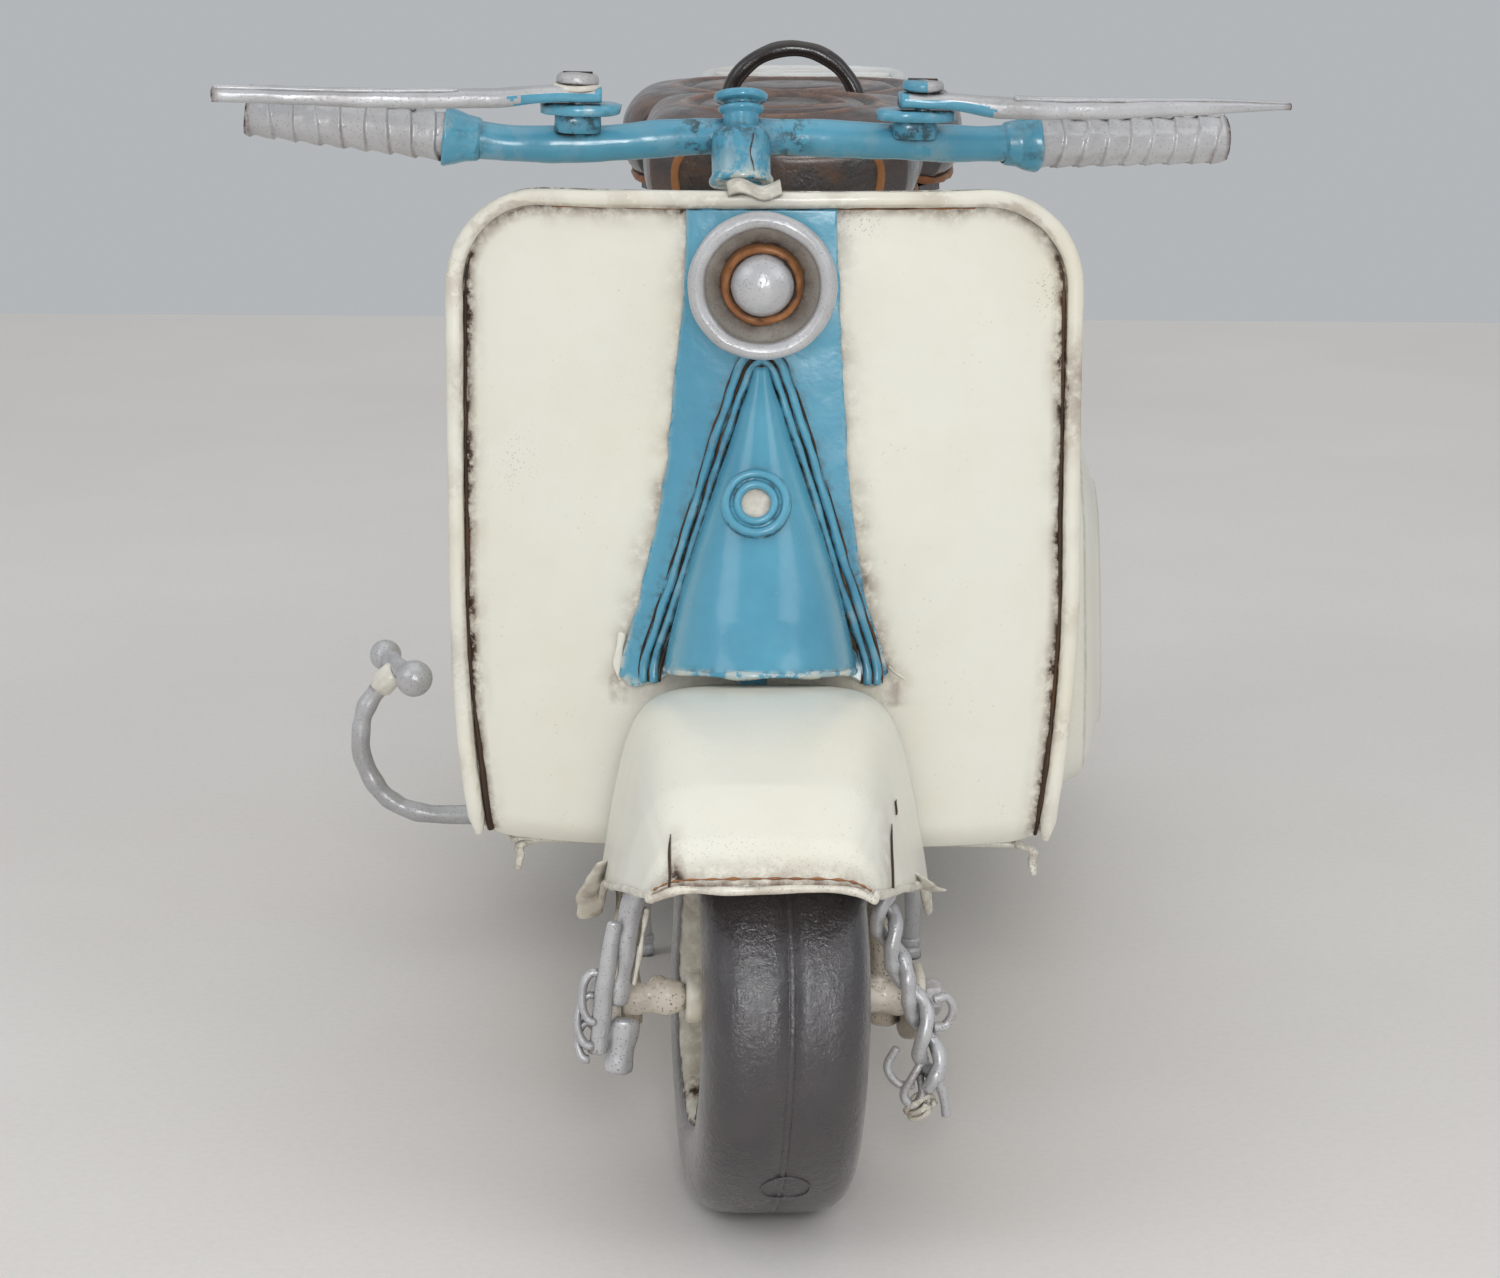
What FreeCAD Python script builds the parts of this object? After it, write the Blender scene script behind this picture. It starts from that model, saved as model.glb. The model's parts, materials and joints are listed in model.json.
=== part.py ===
import FreeCAD, Part
import os, math
from FreeCAD import Vector, Placement, Rotation

# Painted tinplate motor scooter, free rolling, about 26 cm long.
# Row frame: X across, the rider's right is -X; the scooter faces -Y; +Z up;
# origin under the middle of the bounding box, on the ground.
# "v" below is the distance behind the front axle; Y = v - y_origin.

os.makedirs("parts", exist_ok=True)
doc = FreeCAD.newDocument("tin_scooter")
sheet = doc.addObject("Spreadsheet::Sheet", "dims")
sheet.Label = "dims"

DIMS = [
    ("y_origin", 101.7, "distance from the front axle to the middle of the length"),
    ("tyre_radius", 26.5, "outer radius of both tyres"),
    ("tyre_halfwidth", 10.0, "half the tyre's width"),
    ("tyre_bead", 15.7, "inner radius of the tyre"),
    ("tyre_shoulder", 3.6, "size of the rounded shoulder"),
    ("rim_radius", 15.6, "radius where the rim meets the tyre"),
    ("hub_radius", 3.3, "radius of the wheel's hub tube"),
    ("hub_bore", 1.28, "bore of the hub tube"),
    ("pin_radius", 1.2, "radius of the axle pins"),
    ("tin", 0.8, "thickness of the tinplate covers"),
    ("wheel_base", 178.0, "distance between the axles"),
    ("rake_run", 38.0, "how far the column leans back"),
    ("rake_rise", 100.5, "over this height"),
    ("column_lean", 2.5, "sideways lean of the column at its top"),
    ("steer_rest", 9.0, "angle at which the front end is stored, degrees"),
    ("axis_v", 14.0, "steering axis behind the axle, at axle height"),
    ("shield_bottom", 36.0, "height of the leg shield's lower edge"),
    ("shield_top", 121.5, "height of the leg shield's upper edge"),
    ("shield_half", 41.0, "half width of the leg shield"),
    ("shield_half_low", 38.0, "half width at its lower edge"),
    ("shield_corner", 13.0, "radius of its upper corners"),
    ("shield_thick", 1.0, "thickness of the leg shield"),
    ("shield_v", 32.0, "its front face behind the axle, at the lower edge"),
    ("shield_lean", 0.07, "slope of the leg shield"),
    ("bead_radius", 1.05, "radius of the rolled bead"),
    ("stem_radius", 1.9, "radius of the steering stem"),
    ("stem_bore", 1.97, "bore of the head tube"),
    ("head_radius", 3.4, "outer radius of the head tube"),
    ("collar_radius", 3.85, "radius of the column collar"),
    ("cap_radius", 3.2, "radius of the column cap"),
    ("bar_radius", 2.45, "radius of the handlebar"),
    ("grip_radius", 3.25, "radius of the grips"),
    ("grip_length", 26.5, "length of the grips"),
    ("lamp_radius", 9.4, "outer radius of the headlight"),
    ("lamp_depth", 7.0, "depth of the headlight bowl"),
    ("lamp_lens", 3.95, "radius of the lens dome"),
    ("lamp_bezel", 5.1, "outer radius of the lens ring"),
    ("horn_radius", 4.4, "outer radius of the horn ring"),
    ("horn_hole", 1.85, "radius of the horn ring's hole"),
    ("bolt_radius", 2.6, "radius of the lever bolt heads"),
    ("bolt_pin", 1.0, "radius of the lever bolts"),
    ("lever_bore", 1.06, "bore of the levers"),
    ("kick_radius", 1.45, "radius of the kick-start rod"),
    ("kick_bore", 1.5, "bore of the kick-start boss"),
    ("stand_leg", 1.2, "radius of the stand legs"),
    ("stand_rod", 1.3, "radius of the stand's pivot rod"),
    ("stand_bore", 1.37, "bore of the stand brackets"),
    ("stand_half", 20.3, "half the distance between the stand legs"),
    ("foot_radius", 1.85, "radius of the stand feet"),
    ("foot_height", 3.1, "height of the stand feet"),
    ("hoop_radius", 10.15, "radius of the grab handle's bend"),
    ("hoop_wire", 1.25, "radius of the grab handle's wire"),
    ("floor_half", 34.0, "half width of the floorboard"),
    ("floor_length", 68.0, "length of the floorboard"),
    ("floor_thick", 1.2, "thickness of the floorboard"),
    ("arm_thick", 1.6, "thickness of the rear wheel brackets"),
    ("rack_half", 16.0, "half width of the rear rack"),
    ("rack_wire", 1.1, "radius of the rack's rods"),
    ("body_half", 22.0, "half width of the rear body"),
    ("cover_half", 47.5, "half width over the side covers"),
]
for i, (alias, value, note) in enumerate(DIMS):
    sheet.set("A%d" % (i + 1), note)
    sheet.set("B%d" % (i + 1), str(value))
    sheet.setAlias("B%d" % (i + 1), alias)
doc.recompute()


class E:
    """A size as a sheet expression and its present value."""

    def __init__(self, expr, value):
        self.expr = expr
        self.value = value

    def _other(self, o):
        if isinstance(o, E):
            return o.expr, o.value
        return ("(%r)" % float(o)), float(o)

    def __add__(self, o):
        e, v = self._other(o)
        return E("(%s + %s)" % (self.expr, e), self.value + v)

    def __sub__(self, o):
        e, v = self._other(o)
        return E("(%s - %s)" % (self.expr, e), self.value - v)

    def __mul__(self, o):
        e, v = self._other(o)
        return E("(%s * %s)" % (self.expr, e), self.value * v)

    def __neg__(self):
        return self * -1.0


def S(alias):
    return E("dims." + alias, float(getattr(sheet, alias)))


def N(number):
    return E("(%r)" % float(number), float(number))


def val(alias):
    return float(getattr(sheet, alias))


def num(x):
    return x.value if isinstance(x, E) else float(x)


Y0 = val("y_origin")


def P(x, v, z):
    """Row-frame point from x, distance behind the front axle, height."""
    return Vector(x, v - Y0, z)


nodes = []


def keep(obj, label):
    obj.Label = label
    nodes.append(obj)
    return obj


# ---------------------------------------------------------------- steering frame
A0 = P(0, val("axis_v"), val("tyre_radius"))
RAKE = math.atan2(val("rake_run"), val("rake_rise"))
AXIS_S = Vector(0, math.sin(RAKE), math.cos(RAKE))
LEAN = math.degrees(math.atan2(val("column_lean"), val("rake_rise")))


def about(point, rotation):
    return Placement(point, rotation).multiply(Placement(point.negative(), Rotation()))


STEER = about(A0, Rotation(Vector(0, 1, 0), -LEAN)).multiply(
    about(A0, Rotation(AXIS_S, val("steer_rest"))))
# the turned front wheel leans a little, so the whole front end is lifted back on to the ground
LIFT = 0.09
STEER = Placement(Vector(0, 0, LIFT), Rotation()).multiply(STEER)


def place(obj, base):
    obj.Placement = base.multiply(obj.Placement)
    return obj


def axis_point(z):
    """Point of the straight steering axis at height z."""
    k = (z - A0.z) / AXIS_S.z
    return A0 + AXIS_S * k


# ---------------------------------------------------------------- feature helpers
def plane_of(body, role):
    for f in body.Origin.OriginFeatures:
        if f.Role == role:
            return f
    raise RuntimeError("no plane " + role)


def polygon_sketch(body, name, pts, role="XY_Plane"):
    """Closed polygon whose corners are bound to the sheet; pts are (E or number) pairs."""
    import Sketcher
    sk = body.newObject("Sketcher::SketchObject", name)
    sk.AttachmentSupport = [(plane_of(body, role), "")]
    sk.MapMode = "FlatFace"
    n = len(pts)
    geo = []
    for i in range(n):
        a, b = pts[i], pts[(i + 1) % n]
        geo.append(Part.LineSegment(Vector(num(a[0]), num(a[1]), 0), Vector(num(b[0]), num(b[1]), 0)))
    sk.addGeometry(geo, False)
    for i in range(n):
        sk.addConstraint(Sketcher.Constraint("Coincident", i, 2, (i + 1) % n, 1))
    for i in range(n):
        for kind, c in (("DistanceX", pts[i][0]), ("DistanceY", pts[i][1])):
            k = sk.addConstraint(Sketcher.Constraint(kind, i, 1, num(c)))
            if isinstance(c, E):
                sk.setExpression("Constraints[%d]" % k, c.expr)
    return sk


def revolved(label, pts, placement, axis_role="H_Axis"):
    """Body turned about its own X axis from a closed (x, radius) profile."""
    body = doc.addObject("PartDesign::Body", label)
    sk = polygon_sketch(body, label + "_profile", pts)
    rev = body.newObject("PartDesign::Revolution", label + "_turned")
    rev.Profile = sk
    rev.ReferenceAxis = (sk, [axis_role])
    rev.Angle = 360.0
    body.Tip = rev
    sk.Visibility = False
    body.Placement = placement
    return body


def padded(label, pts, length, placement, role="XY_Plane"):
    """Body padded from a closed polygon."""
    body = doc.addObject("PartDesign::Body", label)
    sk = polygon_sketch(body, label + "_outline", pts, role)
    pad = body.newObject("PartDesign::Pad", label + "_pad")
    pad.Profile = sk
    pad.Length = num(length)
    if isinstance(length, E):
        pad.setExpression("Length", length.expr)
    body.Tip = pad
    body.Placement = placement
    return body


def towards(direction, from_axis=Vector(0, 0, 1)):
    return Rotation(from_axis, direction)


def rod(label, radius, p, q, bore=None):
    """Straight round rod from p to q, its radius bound to the sheet."""
    d = q.sub(p)
    c = doc.addObject("Part::Cylinder", label)
    c.Radius = num(radius)
    if isinstance(radius, E):
        c.setExpression("Radius", radius.expr)
    c.Height = d.Length
    c.Placement = Placement(p, towards(d))
    if bore is None:
        return c
    b = doc.addObject("Part::Cylinder", label + "_bore")
    b.Radius = num(bore)
    if isinstance(bore, E):
        b.setExpression("Radius", bore.expr)
    b.Height = d.Length + 2.0
    u = Vector(d)
    u.normalize()
    b.Placement = Placement(p - u, towards(d))
    cut = doc.addObject("Part::Cut", label + "_bored")
    cut.Base = c
    cut.Tool = b
    return cut


def block(label, lx, ly, lz, corner):
    b = doc.addObject("Part::Box", label)
    for prop, s in (("Length", lx), ("Width", ly), ("Height", lz)):
        setattr(b, prop, num(s))
        if isinstance(s, E):
            b.setExpression(prop, s.expr)
    b.Placement = Placement(corner, Rotation())
    return b


def ball(label, radius, centre):
    s = doc.addObject("Part::Sphere", label)
    s.Radius = radius
    s.Placement = Placement(centre, Rotation())
    return s


def fused(label, objs):
    f = doc.addObject("Part::MultiFuse", label)
    f.Shapes = objs
    return f


def grouped(label, shapes):
    """Separate solids that share one node."""
    f = doc.addObject("Part::Feature", label)
    f.Shape = Part.makeCompound(shapes)
    return f


def feature(label, shape):
    f = doc.addObject("Part::Feature", label)
    f.Shape = shape
    return f


def cut_by(label, base, tool):
    c = doc.addObject("Part::Cut", label)
    c.Base = base
    c.Tool = tool
    return c


def spline_edge(points):
    b = Part.BSplineCurve()
    b.interpolate(points)
    return b.toShape()


def closed_section(outer, inner):
    """Closed wire: outer curve, then back along the inner curve."""
    o = spline_edge(outer)
    n = spline_edge(list(reversed(inner)))
    return Part.Wire([o, Part.LineSegment(outer[-1], inner[-1]).toShape(), n,
                      Part.LineSegment(inner[0], outer[0]).toShape()])


def loft(wires):
    return Part.makeLoft(wires, True, False)


def pipe_solid(points, radius, steps=None, closed=False):
    """Round rod through the points; radius may be a list, one per point."""
    curve = Part.BSplineCurve()
    curve.interpolate(points)
    n = steps or (2 * len(points))
    first, last = curve.FirstParameter, curve.LastParameter
    rings = []
    for i in range(n + 1):
        u = first + (last - first) * i / float(n)
        p = curve.value(u)
        t = curve.tangent(u)[0]
        if isinstance(radius, (list, tuple)):
            k = (len(radius) - 1) * i / float(n)
            j = min(int(k), len(radius) - 2)
            rr = radius[j] + (radius[j + 1] - radius[j]) * (k - j)
        else:
            rr = radius
        rings.append(Part.Wire(Part.Circle(p, t, rr).toShape()))
    return Part.makeLoft(rings, True, False)


def cylinder_solid(radius, p, q):
    d = q.sub(p)
    return Part.makeCylinder(radius, d.Length, p, d)


# ---------------------------------------------------------------- wheels
def wheel(prefix, side_placement):
    R, W, B, sh = S("tyre_radius"), S("tyre_halfwidth"), S("tyre_bead"), S("tyre_shoulder")
    tyre = revolved(prefix + "_tyre", [
        (-(W - 1.2), B), (W - 1.2, B), (W - 0.2, B + 1.6), (W, R - sh - 1.2), (W - 0.7, R - sh + 1.0),
        (W - 2.0, R - 1.0), (W - sh - 0.4, R - 0.15), (W * 0.3, R), (-(W * 0.3), R),
        (-(W - sh - 0.4), R - 0.15), (-(W - 2.0), R - 1.0), (-(W - 0.7), R - sh + 1.0), (-W, R - sh - 1.2),
        (-(W - 0.2), B + 1.6)], side_placement)
    keep(tyre, prefix + "_tyre")
    halves = []
    for side, sx in (("left", 1.0), ("right", -1.0)):
        q = S("rim_radius")
        hub = S("hub_radius")
        prof = [(4.6, hub + 0.05), (6.2, hub + 0.05), (6.6, hub + 2.4), (4.4, hub + 5.2), (4.2, q - 3.2), (6.6, q - 1.2),
                (9.2, q - 0.9), (9.2, q - 0.05), (0.2, q - 0.05), (0.2, q - 0.85), (3.6, q - 0.85), (3.2, q - 3.4),
                (3.4, hub + 4.8), (5.4, hub + 2.0), (5.0, hub + 0.9), (4.6, hub + 0.9)]
        pts = [(N(sx * a), b) for a, b in prof]
        halves.append(revolved(prefix + "_rim_half_" + side, pts, Placement()))
    rims = doc.addObject("Part::Compound", prefix + "_rims")
    rims.Links = halves
    rims.Placement = side_placement
    keep(rims, prefix + "_rims")
    h = S("hub_radius")
    b = S("hub_bore")
    hub = revolved(prefix + "_hub", [(-9.6, b), (9.6, b), (9.6, h), (-9.6, h)], side_placement)
    keep(hub, prefix + "_hub")


FRONT = STEER.multiply(Placement(P(0, 0, val("tyre_radius")), Rotation()))
REAR = Placement(P(0, val("wheel_base"), val("tyre_radius")), Rotation())
wheel("front", FRONT)
wheel("rear", REAR)

# ---------------------------------------------------------------- leg shield
def shield_v(x, z):
    """Front face of the leg shield: leans back, is bowed forward and wraps back at the sides."""
    return (val("shield_v") + val("shield_lean") * (z - val("shield_bottom"))
            + 7.5 * (abs(x) / val("shield_half")) ** 2.6)


def slab(zs, half, front_gap, thick, shrink=0.0):
    wires = []
    for z in zs:
        xs = [half * k / 7.0 for k in range(-7, 8)]
        outer = [P(x, shield_v(x, z) + front_gap, z) for x in xs]
        inner = [P(x, shield_v(x, z) + front_gap + thick, z) for x in xs]
        wires.append(closed_section(outer, inner))
    return loft(wires)


def outline_prism(points, v_from, v_to):
    """Prism along Y over a closed outline of (x, z) points; a point may be ('arc', mid, end)."""
    edges = []
    start = P(points[0][0], v_from, points[0][1])
    last = start
    for p in points[1:]:
        if p[0] == "arc":
            mid = P(p[1][0], v_from, p[1][1])
            end = P(p[2][0], v_from, p[2][1])
            edges.append(Part.Arc(last, mid, end).toShape())
        elif p[0] == "spline":
            pts = [last] + [P(a, v_from, b) for a, b in p[1]]
            end = pts[-1]
            edges.append(spline_edge(pts))
        else:
            end = P(p[0], v_from, p[1])
            edges.append(Part.LineSegment(last, end).toShape())
        last = end
    if last.distanceToPoint(start) > 1e-6:
        edges.append(Part.LineSegment(last, start).toShape())
    face = Part.Face(Part.Wire(edges))
    return face.extrude(Vector(0, v_to - v_from, 0))


zb, zt = val("shield_bottom"), val("shield_top")
hw, hl, rc = val("shield_half"), val("shield_half_low"), val("shield_corner")
c45 = rc * (1 - math.cos(math.radians(45)))
shield_outline = [
    (-hl + 1.5, zb), (hl - 1.5, zb), ("arc", (hl - 0.4, zb + 0.5), (hl, zb + 2.0)),
    ("spline", [(hl + 1.4, zb + 16), (hw - 0.3, zb + 34), (hw, zb + 50), (hw, zt - rc)]),
    ("arc", (hw - c45, zt - c45), (hw - rc, zt)),
    (-hw + rc, zt), ("arc", (-hw + c45, zt - c45), (-hw, zt - rc)),
    ("spline", [(-hw, zb + 50), (-hw + 0.3, zb + 34), (-hl - 1.4, zb + 16), (-hl, zb + 2.0)]),
    ("arc", (-hl + 0.4, zb + 0.5), (-hl + 1.5, zb))]
slot_x = -1.3
slot = [(slot_x - 4.2, 61.0), (slot_x + 4.2, 61.0), (slot_x + 3.6, 85.0), (slot_x + 1.6, 92.5),
        (slot_x - 1.6, 92.5), (slot_x - 3.6, 85.0)]
slot_prism = outline_prism(slot, 20.0, 60.0)
zs_all = [30.0, 50.0, 75.0, 100.0, 126.0]
shield = slab(zs_all, hw + 4.0, 0.0, val("shield_thick")).common(outline_prism(shield_outline, 10.0, 70.0)).cut(slot_prism)
keep(feature("leg_shield", shield), "leg_shield")

# rolled bead round the sides and top, just in front of the shield's edge
br = val("bead_radius")
bead_pts = []
inset = 0.2


def edge_point(x, z, out):
    return P(x, shield_v(x, z) - br - 0.05 + out, z)


for z in (zb + 1.0, zb + 12, zb + 26, zb + 40, zb + 54, zb + 64):
    f = min(1.0, (z - zb) / 34.0)
    x = -(hl + (hw - hl) * (1 - (1 - f) ** 2)) + inset + 0.6
    bead_pts.append(edge_point(x, z, 0))
for k in range(0, 5):
    a = math.radians(180 - 22.5 * k)
    bead_pts.append(edge_point(-hw + rc + (rc - 0.8) * math.cos(a), zt - rc + (rc - 0.8) * math.sin(a), 0))
mid = [edge_point(x, zt - 0.8, 0) for x in (-18.0, -8.0, 0.0, 8.0, 18.0)]
right = [Vector(-p.x, p.y, p.z) for p in reversed(bead_pts)]
bead = pipe_solid(bead_pts + mid + right, br, steps=60)
keep(feature("shield_bead", bead), "shield_bead")

# blue centre cover plate on the front of the shield
tin = val("tin")
cover_outline = [
    (-18.3, 59.2), ("spline", [(-14.0, 58.2), (-11.0, 60.0)]), (11.0, 60.5), ("spline", [(13.4, 58.4), (16.2, 60.4)]),
    ("spline", [(13.6, 69.0), (11.4, 84.0), (10.6, 97.0), (9.8, 110.0), (9.6, 119.4)]),
    (-9.6, 119.4), ("spline", [(-9.9, 110.0), (-11.2, 97.0), (-12.6, 84.0), (-15.8, 69.0), (-18.3, 59.2)])]
cover = slab(zs_all, 26.0, -tin - 0.05, tin).common(outline_prism(cover_outline, 10.0, 70.0)).cut(slot_prism)
keep(feature("front_cover", cover), "front_cover")


# half-cone fork cover that swells forward from the plate
def plate_v(x, z):
    return shield_v(x, z) - tin - 0.1


CONE = [(0.0, 12.4, 17.5, 3.4), (0.18, 11.0, 13.6, 2.6), (0.40, 8.6, 10.2, 1.6), (0.65, 5.4, 6.8, 0.8), (0.86, 2.7, 3.8, 0.3),
        (1.0, 1.15, 1.6, 0.0)]
CONE_Z0, CONE_Z1 = 60.2, 99.5
wires = []
for f, w, p, rise in CONE:
    z0 = CONE_Z0 + (CONE_Z1 - CONE_Z0) * f
    outer, inner = [], []
    for k in range(0, 13):
        a = math.pi * (1 - k / 12.0)
        cx, cy = math.cos(a), math.sin(a) ** 0.85 if 0 < k < 12 else 0.0
        zz = z0 + rise * cy
        outer.append(P(w * cx, plate_v(0, z0) - p * cy - 0.02, zz))
        ti = min(tin, 0.45 * w)
        inner.append(P((w - ti) * cx, plate_v(0, z0) - (p - ti) * cy - 0.02, z0 + rise * cy * (p - ti) / p))
    wires.append(closed_section(outer, inner))
keep(feature("fork_cover", loft(wires)), "fork_cover")

# double wire piping round the arch
arch = []
for x, z in ((14.2, 60.8), (12.6, 66.0), (10.0, 74.0), (7.6, 82.0), (5.2, 90.0), (3.2, 96.0), (1.9, 99.6)):
    arch.append((x, z))
path = [P(-x, shield_v(x, z) - tin - 0.75, z) for x, z in arch] + [P(0.0, shield_v(0, 101.2) - tin - 0.75, 101.2)] + \
       [P(x, shield_v(x, z) - tin - 0.75, z) for x, z in reversed(arch)]
keep(feature("arch_piping", pipe_solid(path, 0.6, steps=44)), "arch_piping")

# horn ring lies on the cone's sloping front
cone_slope = math.atan2(16.0, 39.3)
horn_z = 83.4
horn_n = Vector(0, -math.cos(cone_slope), -math.sin(cone_slope) * -1.0)
horn_centre = P(-0.3, plate_v(0, horn_z) - 8.25, horn_z)
hr, hh = S("horn_radius"), S("horn_hole")
horn = revolved("horn_ring", [(0.0, hh), (0.9, hh), (1.2, hh + 0.5), (0.75, hh + 1.25), (1.15, hr - 0.8), (0.9, hr - 0.1), (0.0, hr)],
                Placement(horn_centre, Rotation(Vector(1, 0, 0), horn_n)))
keep(horn, "horn_ring")

# ---------------------------------------------------------------- headlight
lamp_at = Placement(P(0.4, 27.6, 111.0), Rotation(Vector(1, 0, 0), Vector(0, -1, 0)))
L, D = S("lamp_radius"), S("lamp_depth")
keep(revolved("headlight_bowl", [(-6.6, 0), (-6.6, 6.4), (-1.6, L - 0.9), (-0.1, L - 0.7), (-0.1, L - 1.5), (-1.2, L - 1.9), (-1.9, 5.4), (-1.9, 0)], lamp_at), "headlight_bowl")
keep(revolved("headlight_rim", [(0.0, L - 2.2), (0.9, L - 2.2), (1.6, L - 1.4), (1.5, L - 0.5), (0.8, L), (0.0, L - 0.1)], lamp_at), "headlight_rim")
zr, zl = S("lamp_bezel"), S("lamp_lens")
keep(revolved("headlight_bezel", [(-1.85, zl + 0.05), (0.2, zl + 0.05), (0.7, zl + 0.5), (0.3, zr), (-1.0, zr), (-1.85, zr)], lamp_at), "headlight_bezel")
keep(revolved("headlight_lens", [(-1.85, 0), (-1.85, zl), (0.1, zl - 0.05), (1.2, zl - 0.7), (2.1, zl - 2.0), (2.5, 0)], lamp_at), "headlight_lens")

# ---------------------------------------------------------------- front fender
FENDER = [(-28.5, 13.2, 48.2, 49.6), (-24.0, 14.6, 47.0, 54.0), (-16.0, 16.8, 45.2, 58.2), (-5.0, 18.6, 42.2, 61.4), (6.0, 19.9, 39.0, 62.6),
          (18.0, 21.2, 32.0, 61.9), (30.4, 21.6, 30.5, 59.0)]
PROFILE = [(0.0, 0.0), (0.22, 0.004), (0.42, 0.014), (0.60, 0.045), (0.73, 0.12), (0.82, 0.26), (0.89, 0.48), (0.95, 0.74), (1.0, 1.0)]
wires = []
for v, w, z_low, z_top in FENDER:
    H = z_top - z_low
    outer, inner = [], []
    for sgn in (-1, 1):
        prof = PROFILE if sgn > 0 else list(reversed(PROFILE))[:-1]
        for fx, fz in prof:
            x = sgn * fx * w
            outer.append(P(x, v, z_top - fz * H))
            inner.append(P(sgn * fx * (w - tin), v, z_top - fz * (H - tin) - tin if fz < 1 else z_low))
    wires.append(closed_section(outer, inner))
fender_shell = loft(wires)
stem_slot = outline_prism([(-5.2, 50.0), (3.6, 50.0), (3.6, 70.0), (-5.2, 70.0)], 22.0, 40.0)
fender = feature("front_fender", fender_shell.cut(stem_slot))
FENDER_YAW = about(P(0, 45, 40), Rotation(Vector(0, 0, 1), 2.0))
fender.Placement = FENDER_YAW
keep(fender, "front_fender")

# ---------------------------------------------------------------- head tube, floor and frame
LEANER = about(A0, Rotation(Vector(0, 1, 0), -LEAN))
ht = rod("_head", S("head_radius"), axis_point(97.5), axis_point(119.6), S("stem_bore"))
place(ht, LEANER)
hb_box = feature("_hb_box", Part.makeBox(7.0, 12.0, 6.0, P(-5.6, shield_v(0, 113.0) + 1.12, 107.0)))
hb_cut = doc.addObject("Part::Cylinder", "_hb_cut")
hb_cut.Radius = 3.45
hb_cut.setExpression("Radius", "dims.head_radius + 0.05")
hb_cut.Height = 40.0
hb_cut.Placement = LEANER.multiply(Placement(axis_point(92.0), towards(AXIS_S)))
hb_cut.setExpression("Radius", "dims.head_radius - 0.3")
keep(fused("_head_tube", [ht, cut_by("_head_bracket", hb_box, hb_cut)]), "head_tube")

F, FL = S("floor_half"), S("floor_length")
floor_pts = [(-(F - 3.0), 0.0), (F - 3.0, 0.0), (F, 4.0), (F, FL - 22.0), (F - 3.0, FL - 18.4), (F - 12.8, FL - 17.4), (F - 12.8, FL),
             (-(F - 12.8), FL), (-(F - 12.8), FL - 17.4), (-(F - 3.0), FL - 18.4), (-F, FL - 22.0), (-F, 4.0)]
floor = padded("floor_panel", floor_pts, S("floor_thick"), Placement(P(0, 38.6, 34.5), Rotation()))

tab_objs = []
for k, x in enumerate((-31.8, 36.2)):
    xx = x if x < 0 else 31.0
    tab_objs.append(block("_tab%d" % k, N(2.4), N(0.8), N(2.6), P(x - 1.2 if k == 0 else 31.4, 38.6, 32.0)))
keep(fused("_floorboard", [floor] + tab_objs), "floorboard")
spine = padded("frame_spine", [(-6.0, 0.0), (6.0, 0.0), (6.0, 3.2), (-6.0, 3.2)], N(106.0),
               Placement(P(0, 148.0, 31.2), Rotation(Vector(1, 0, 0), 90)))
keep(spine, "frame_spine")

# ---------------------------------------------------------------- rear body
B = val("body_half")
BODY = [(93.0, 15.0, 37.0, 84.0), (99.0, 19.0, 36.5, 93.0), (112.0, B - 0.6, 36.0, 98.5), (135.0, B, 36.0, 100.5), (165.0, B, 37.0, 99.5),
        (192.0, B - 1.5, 38.0, 91.0), (206.0, B - 5.0, 40.0, 82.0), (214.0, B - 10.0, 43.0, 70.0)]


def body_wire(v, w, z_low, z_top):
    H = z_top - z_low
    prof = [(1.0, 0.0), (1.0, 0.35), (0.99, 0.62), (0.93, 0.82), (0.74, 0.94), (0.42, 0.99), (0.0, 1.0)]
    pts = [P(-w * a, v, z_low + H * b) for a, b in prof] + [P(w * a, v, z_low + H * b) for a, b in list(reversed(prof))[1:]]
    return Part.Wire([spline_edge(pts), Part.LineSegment(pts[-1], pts[0]).toShape()])


outer = loft([body_wire(*s) for s in BODY])
inner = loft([body_wire(v + (1.0 if i == 0 else (-1.0 if i == len(BODY) - 1 else 0.0)), w - 1.0, a - 6.0, b - 1.0)
              for i, (v, w, a, b) in enumerate(BODY)])
keep(feature("rear_body", outer.cut(inner)), "rear_body")


def teardrop(x, k, dv=0.0):
    """Side cover outline at a distance x from the middle, k its scale."""
    cv, cz = 140.0, 46.0
    base = [(-50.5, -13.0), (-46.0, 4.0), (-30.0, 20.0), (-4.0, 27.5), (24.0, 26.0), (46.0, 15.0), (62.0, -1.0), (60.0, -13.0),
            (40.0, -20.5), (12.0, -23.5), (-22.0, -23.5), (-44.0, -21.0)]
    pts = [P(x, cv + dv + a * k, cz + b * k) for a, b in base]
    b = Part.BSplineCurve()
    b.interpolate(pts, True)
    return Part.Wire(b.toShape())


def side_cover(sign):
    steps = [(22.2, 1.0), (32.0, 0.985), (40.0, 0.93), (45.0, 0.83), (47.0, 0.68), (val("cover_half"), 0.5)]
    o = loft([teardrop(sign * x, k) for x, k in steps])
    i = loft([teardrop(sign * (x - 1.0), k * 0.965) for x, k in steps])
    s = o.cut(i)
    return s


keep(feature("side_cover_left", side_cover(1.0)), "side_cover_left")
kick_slot = Part.makeBox(10.8, 5.4, 20.0, P(-35.6, 111.0 - 2.7, 12.0))
keep(feature("side_cover_right", side_cover(-1.0).cut(kick_slot)), "side_cover_right")

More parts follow.
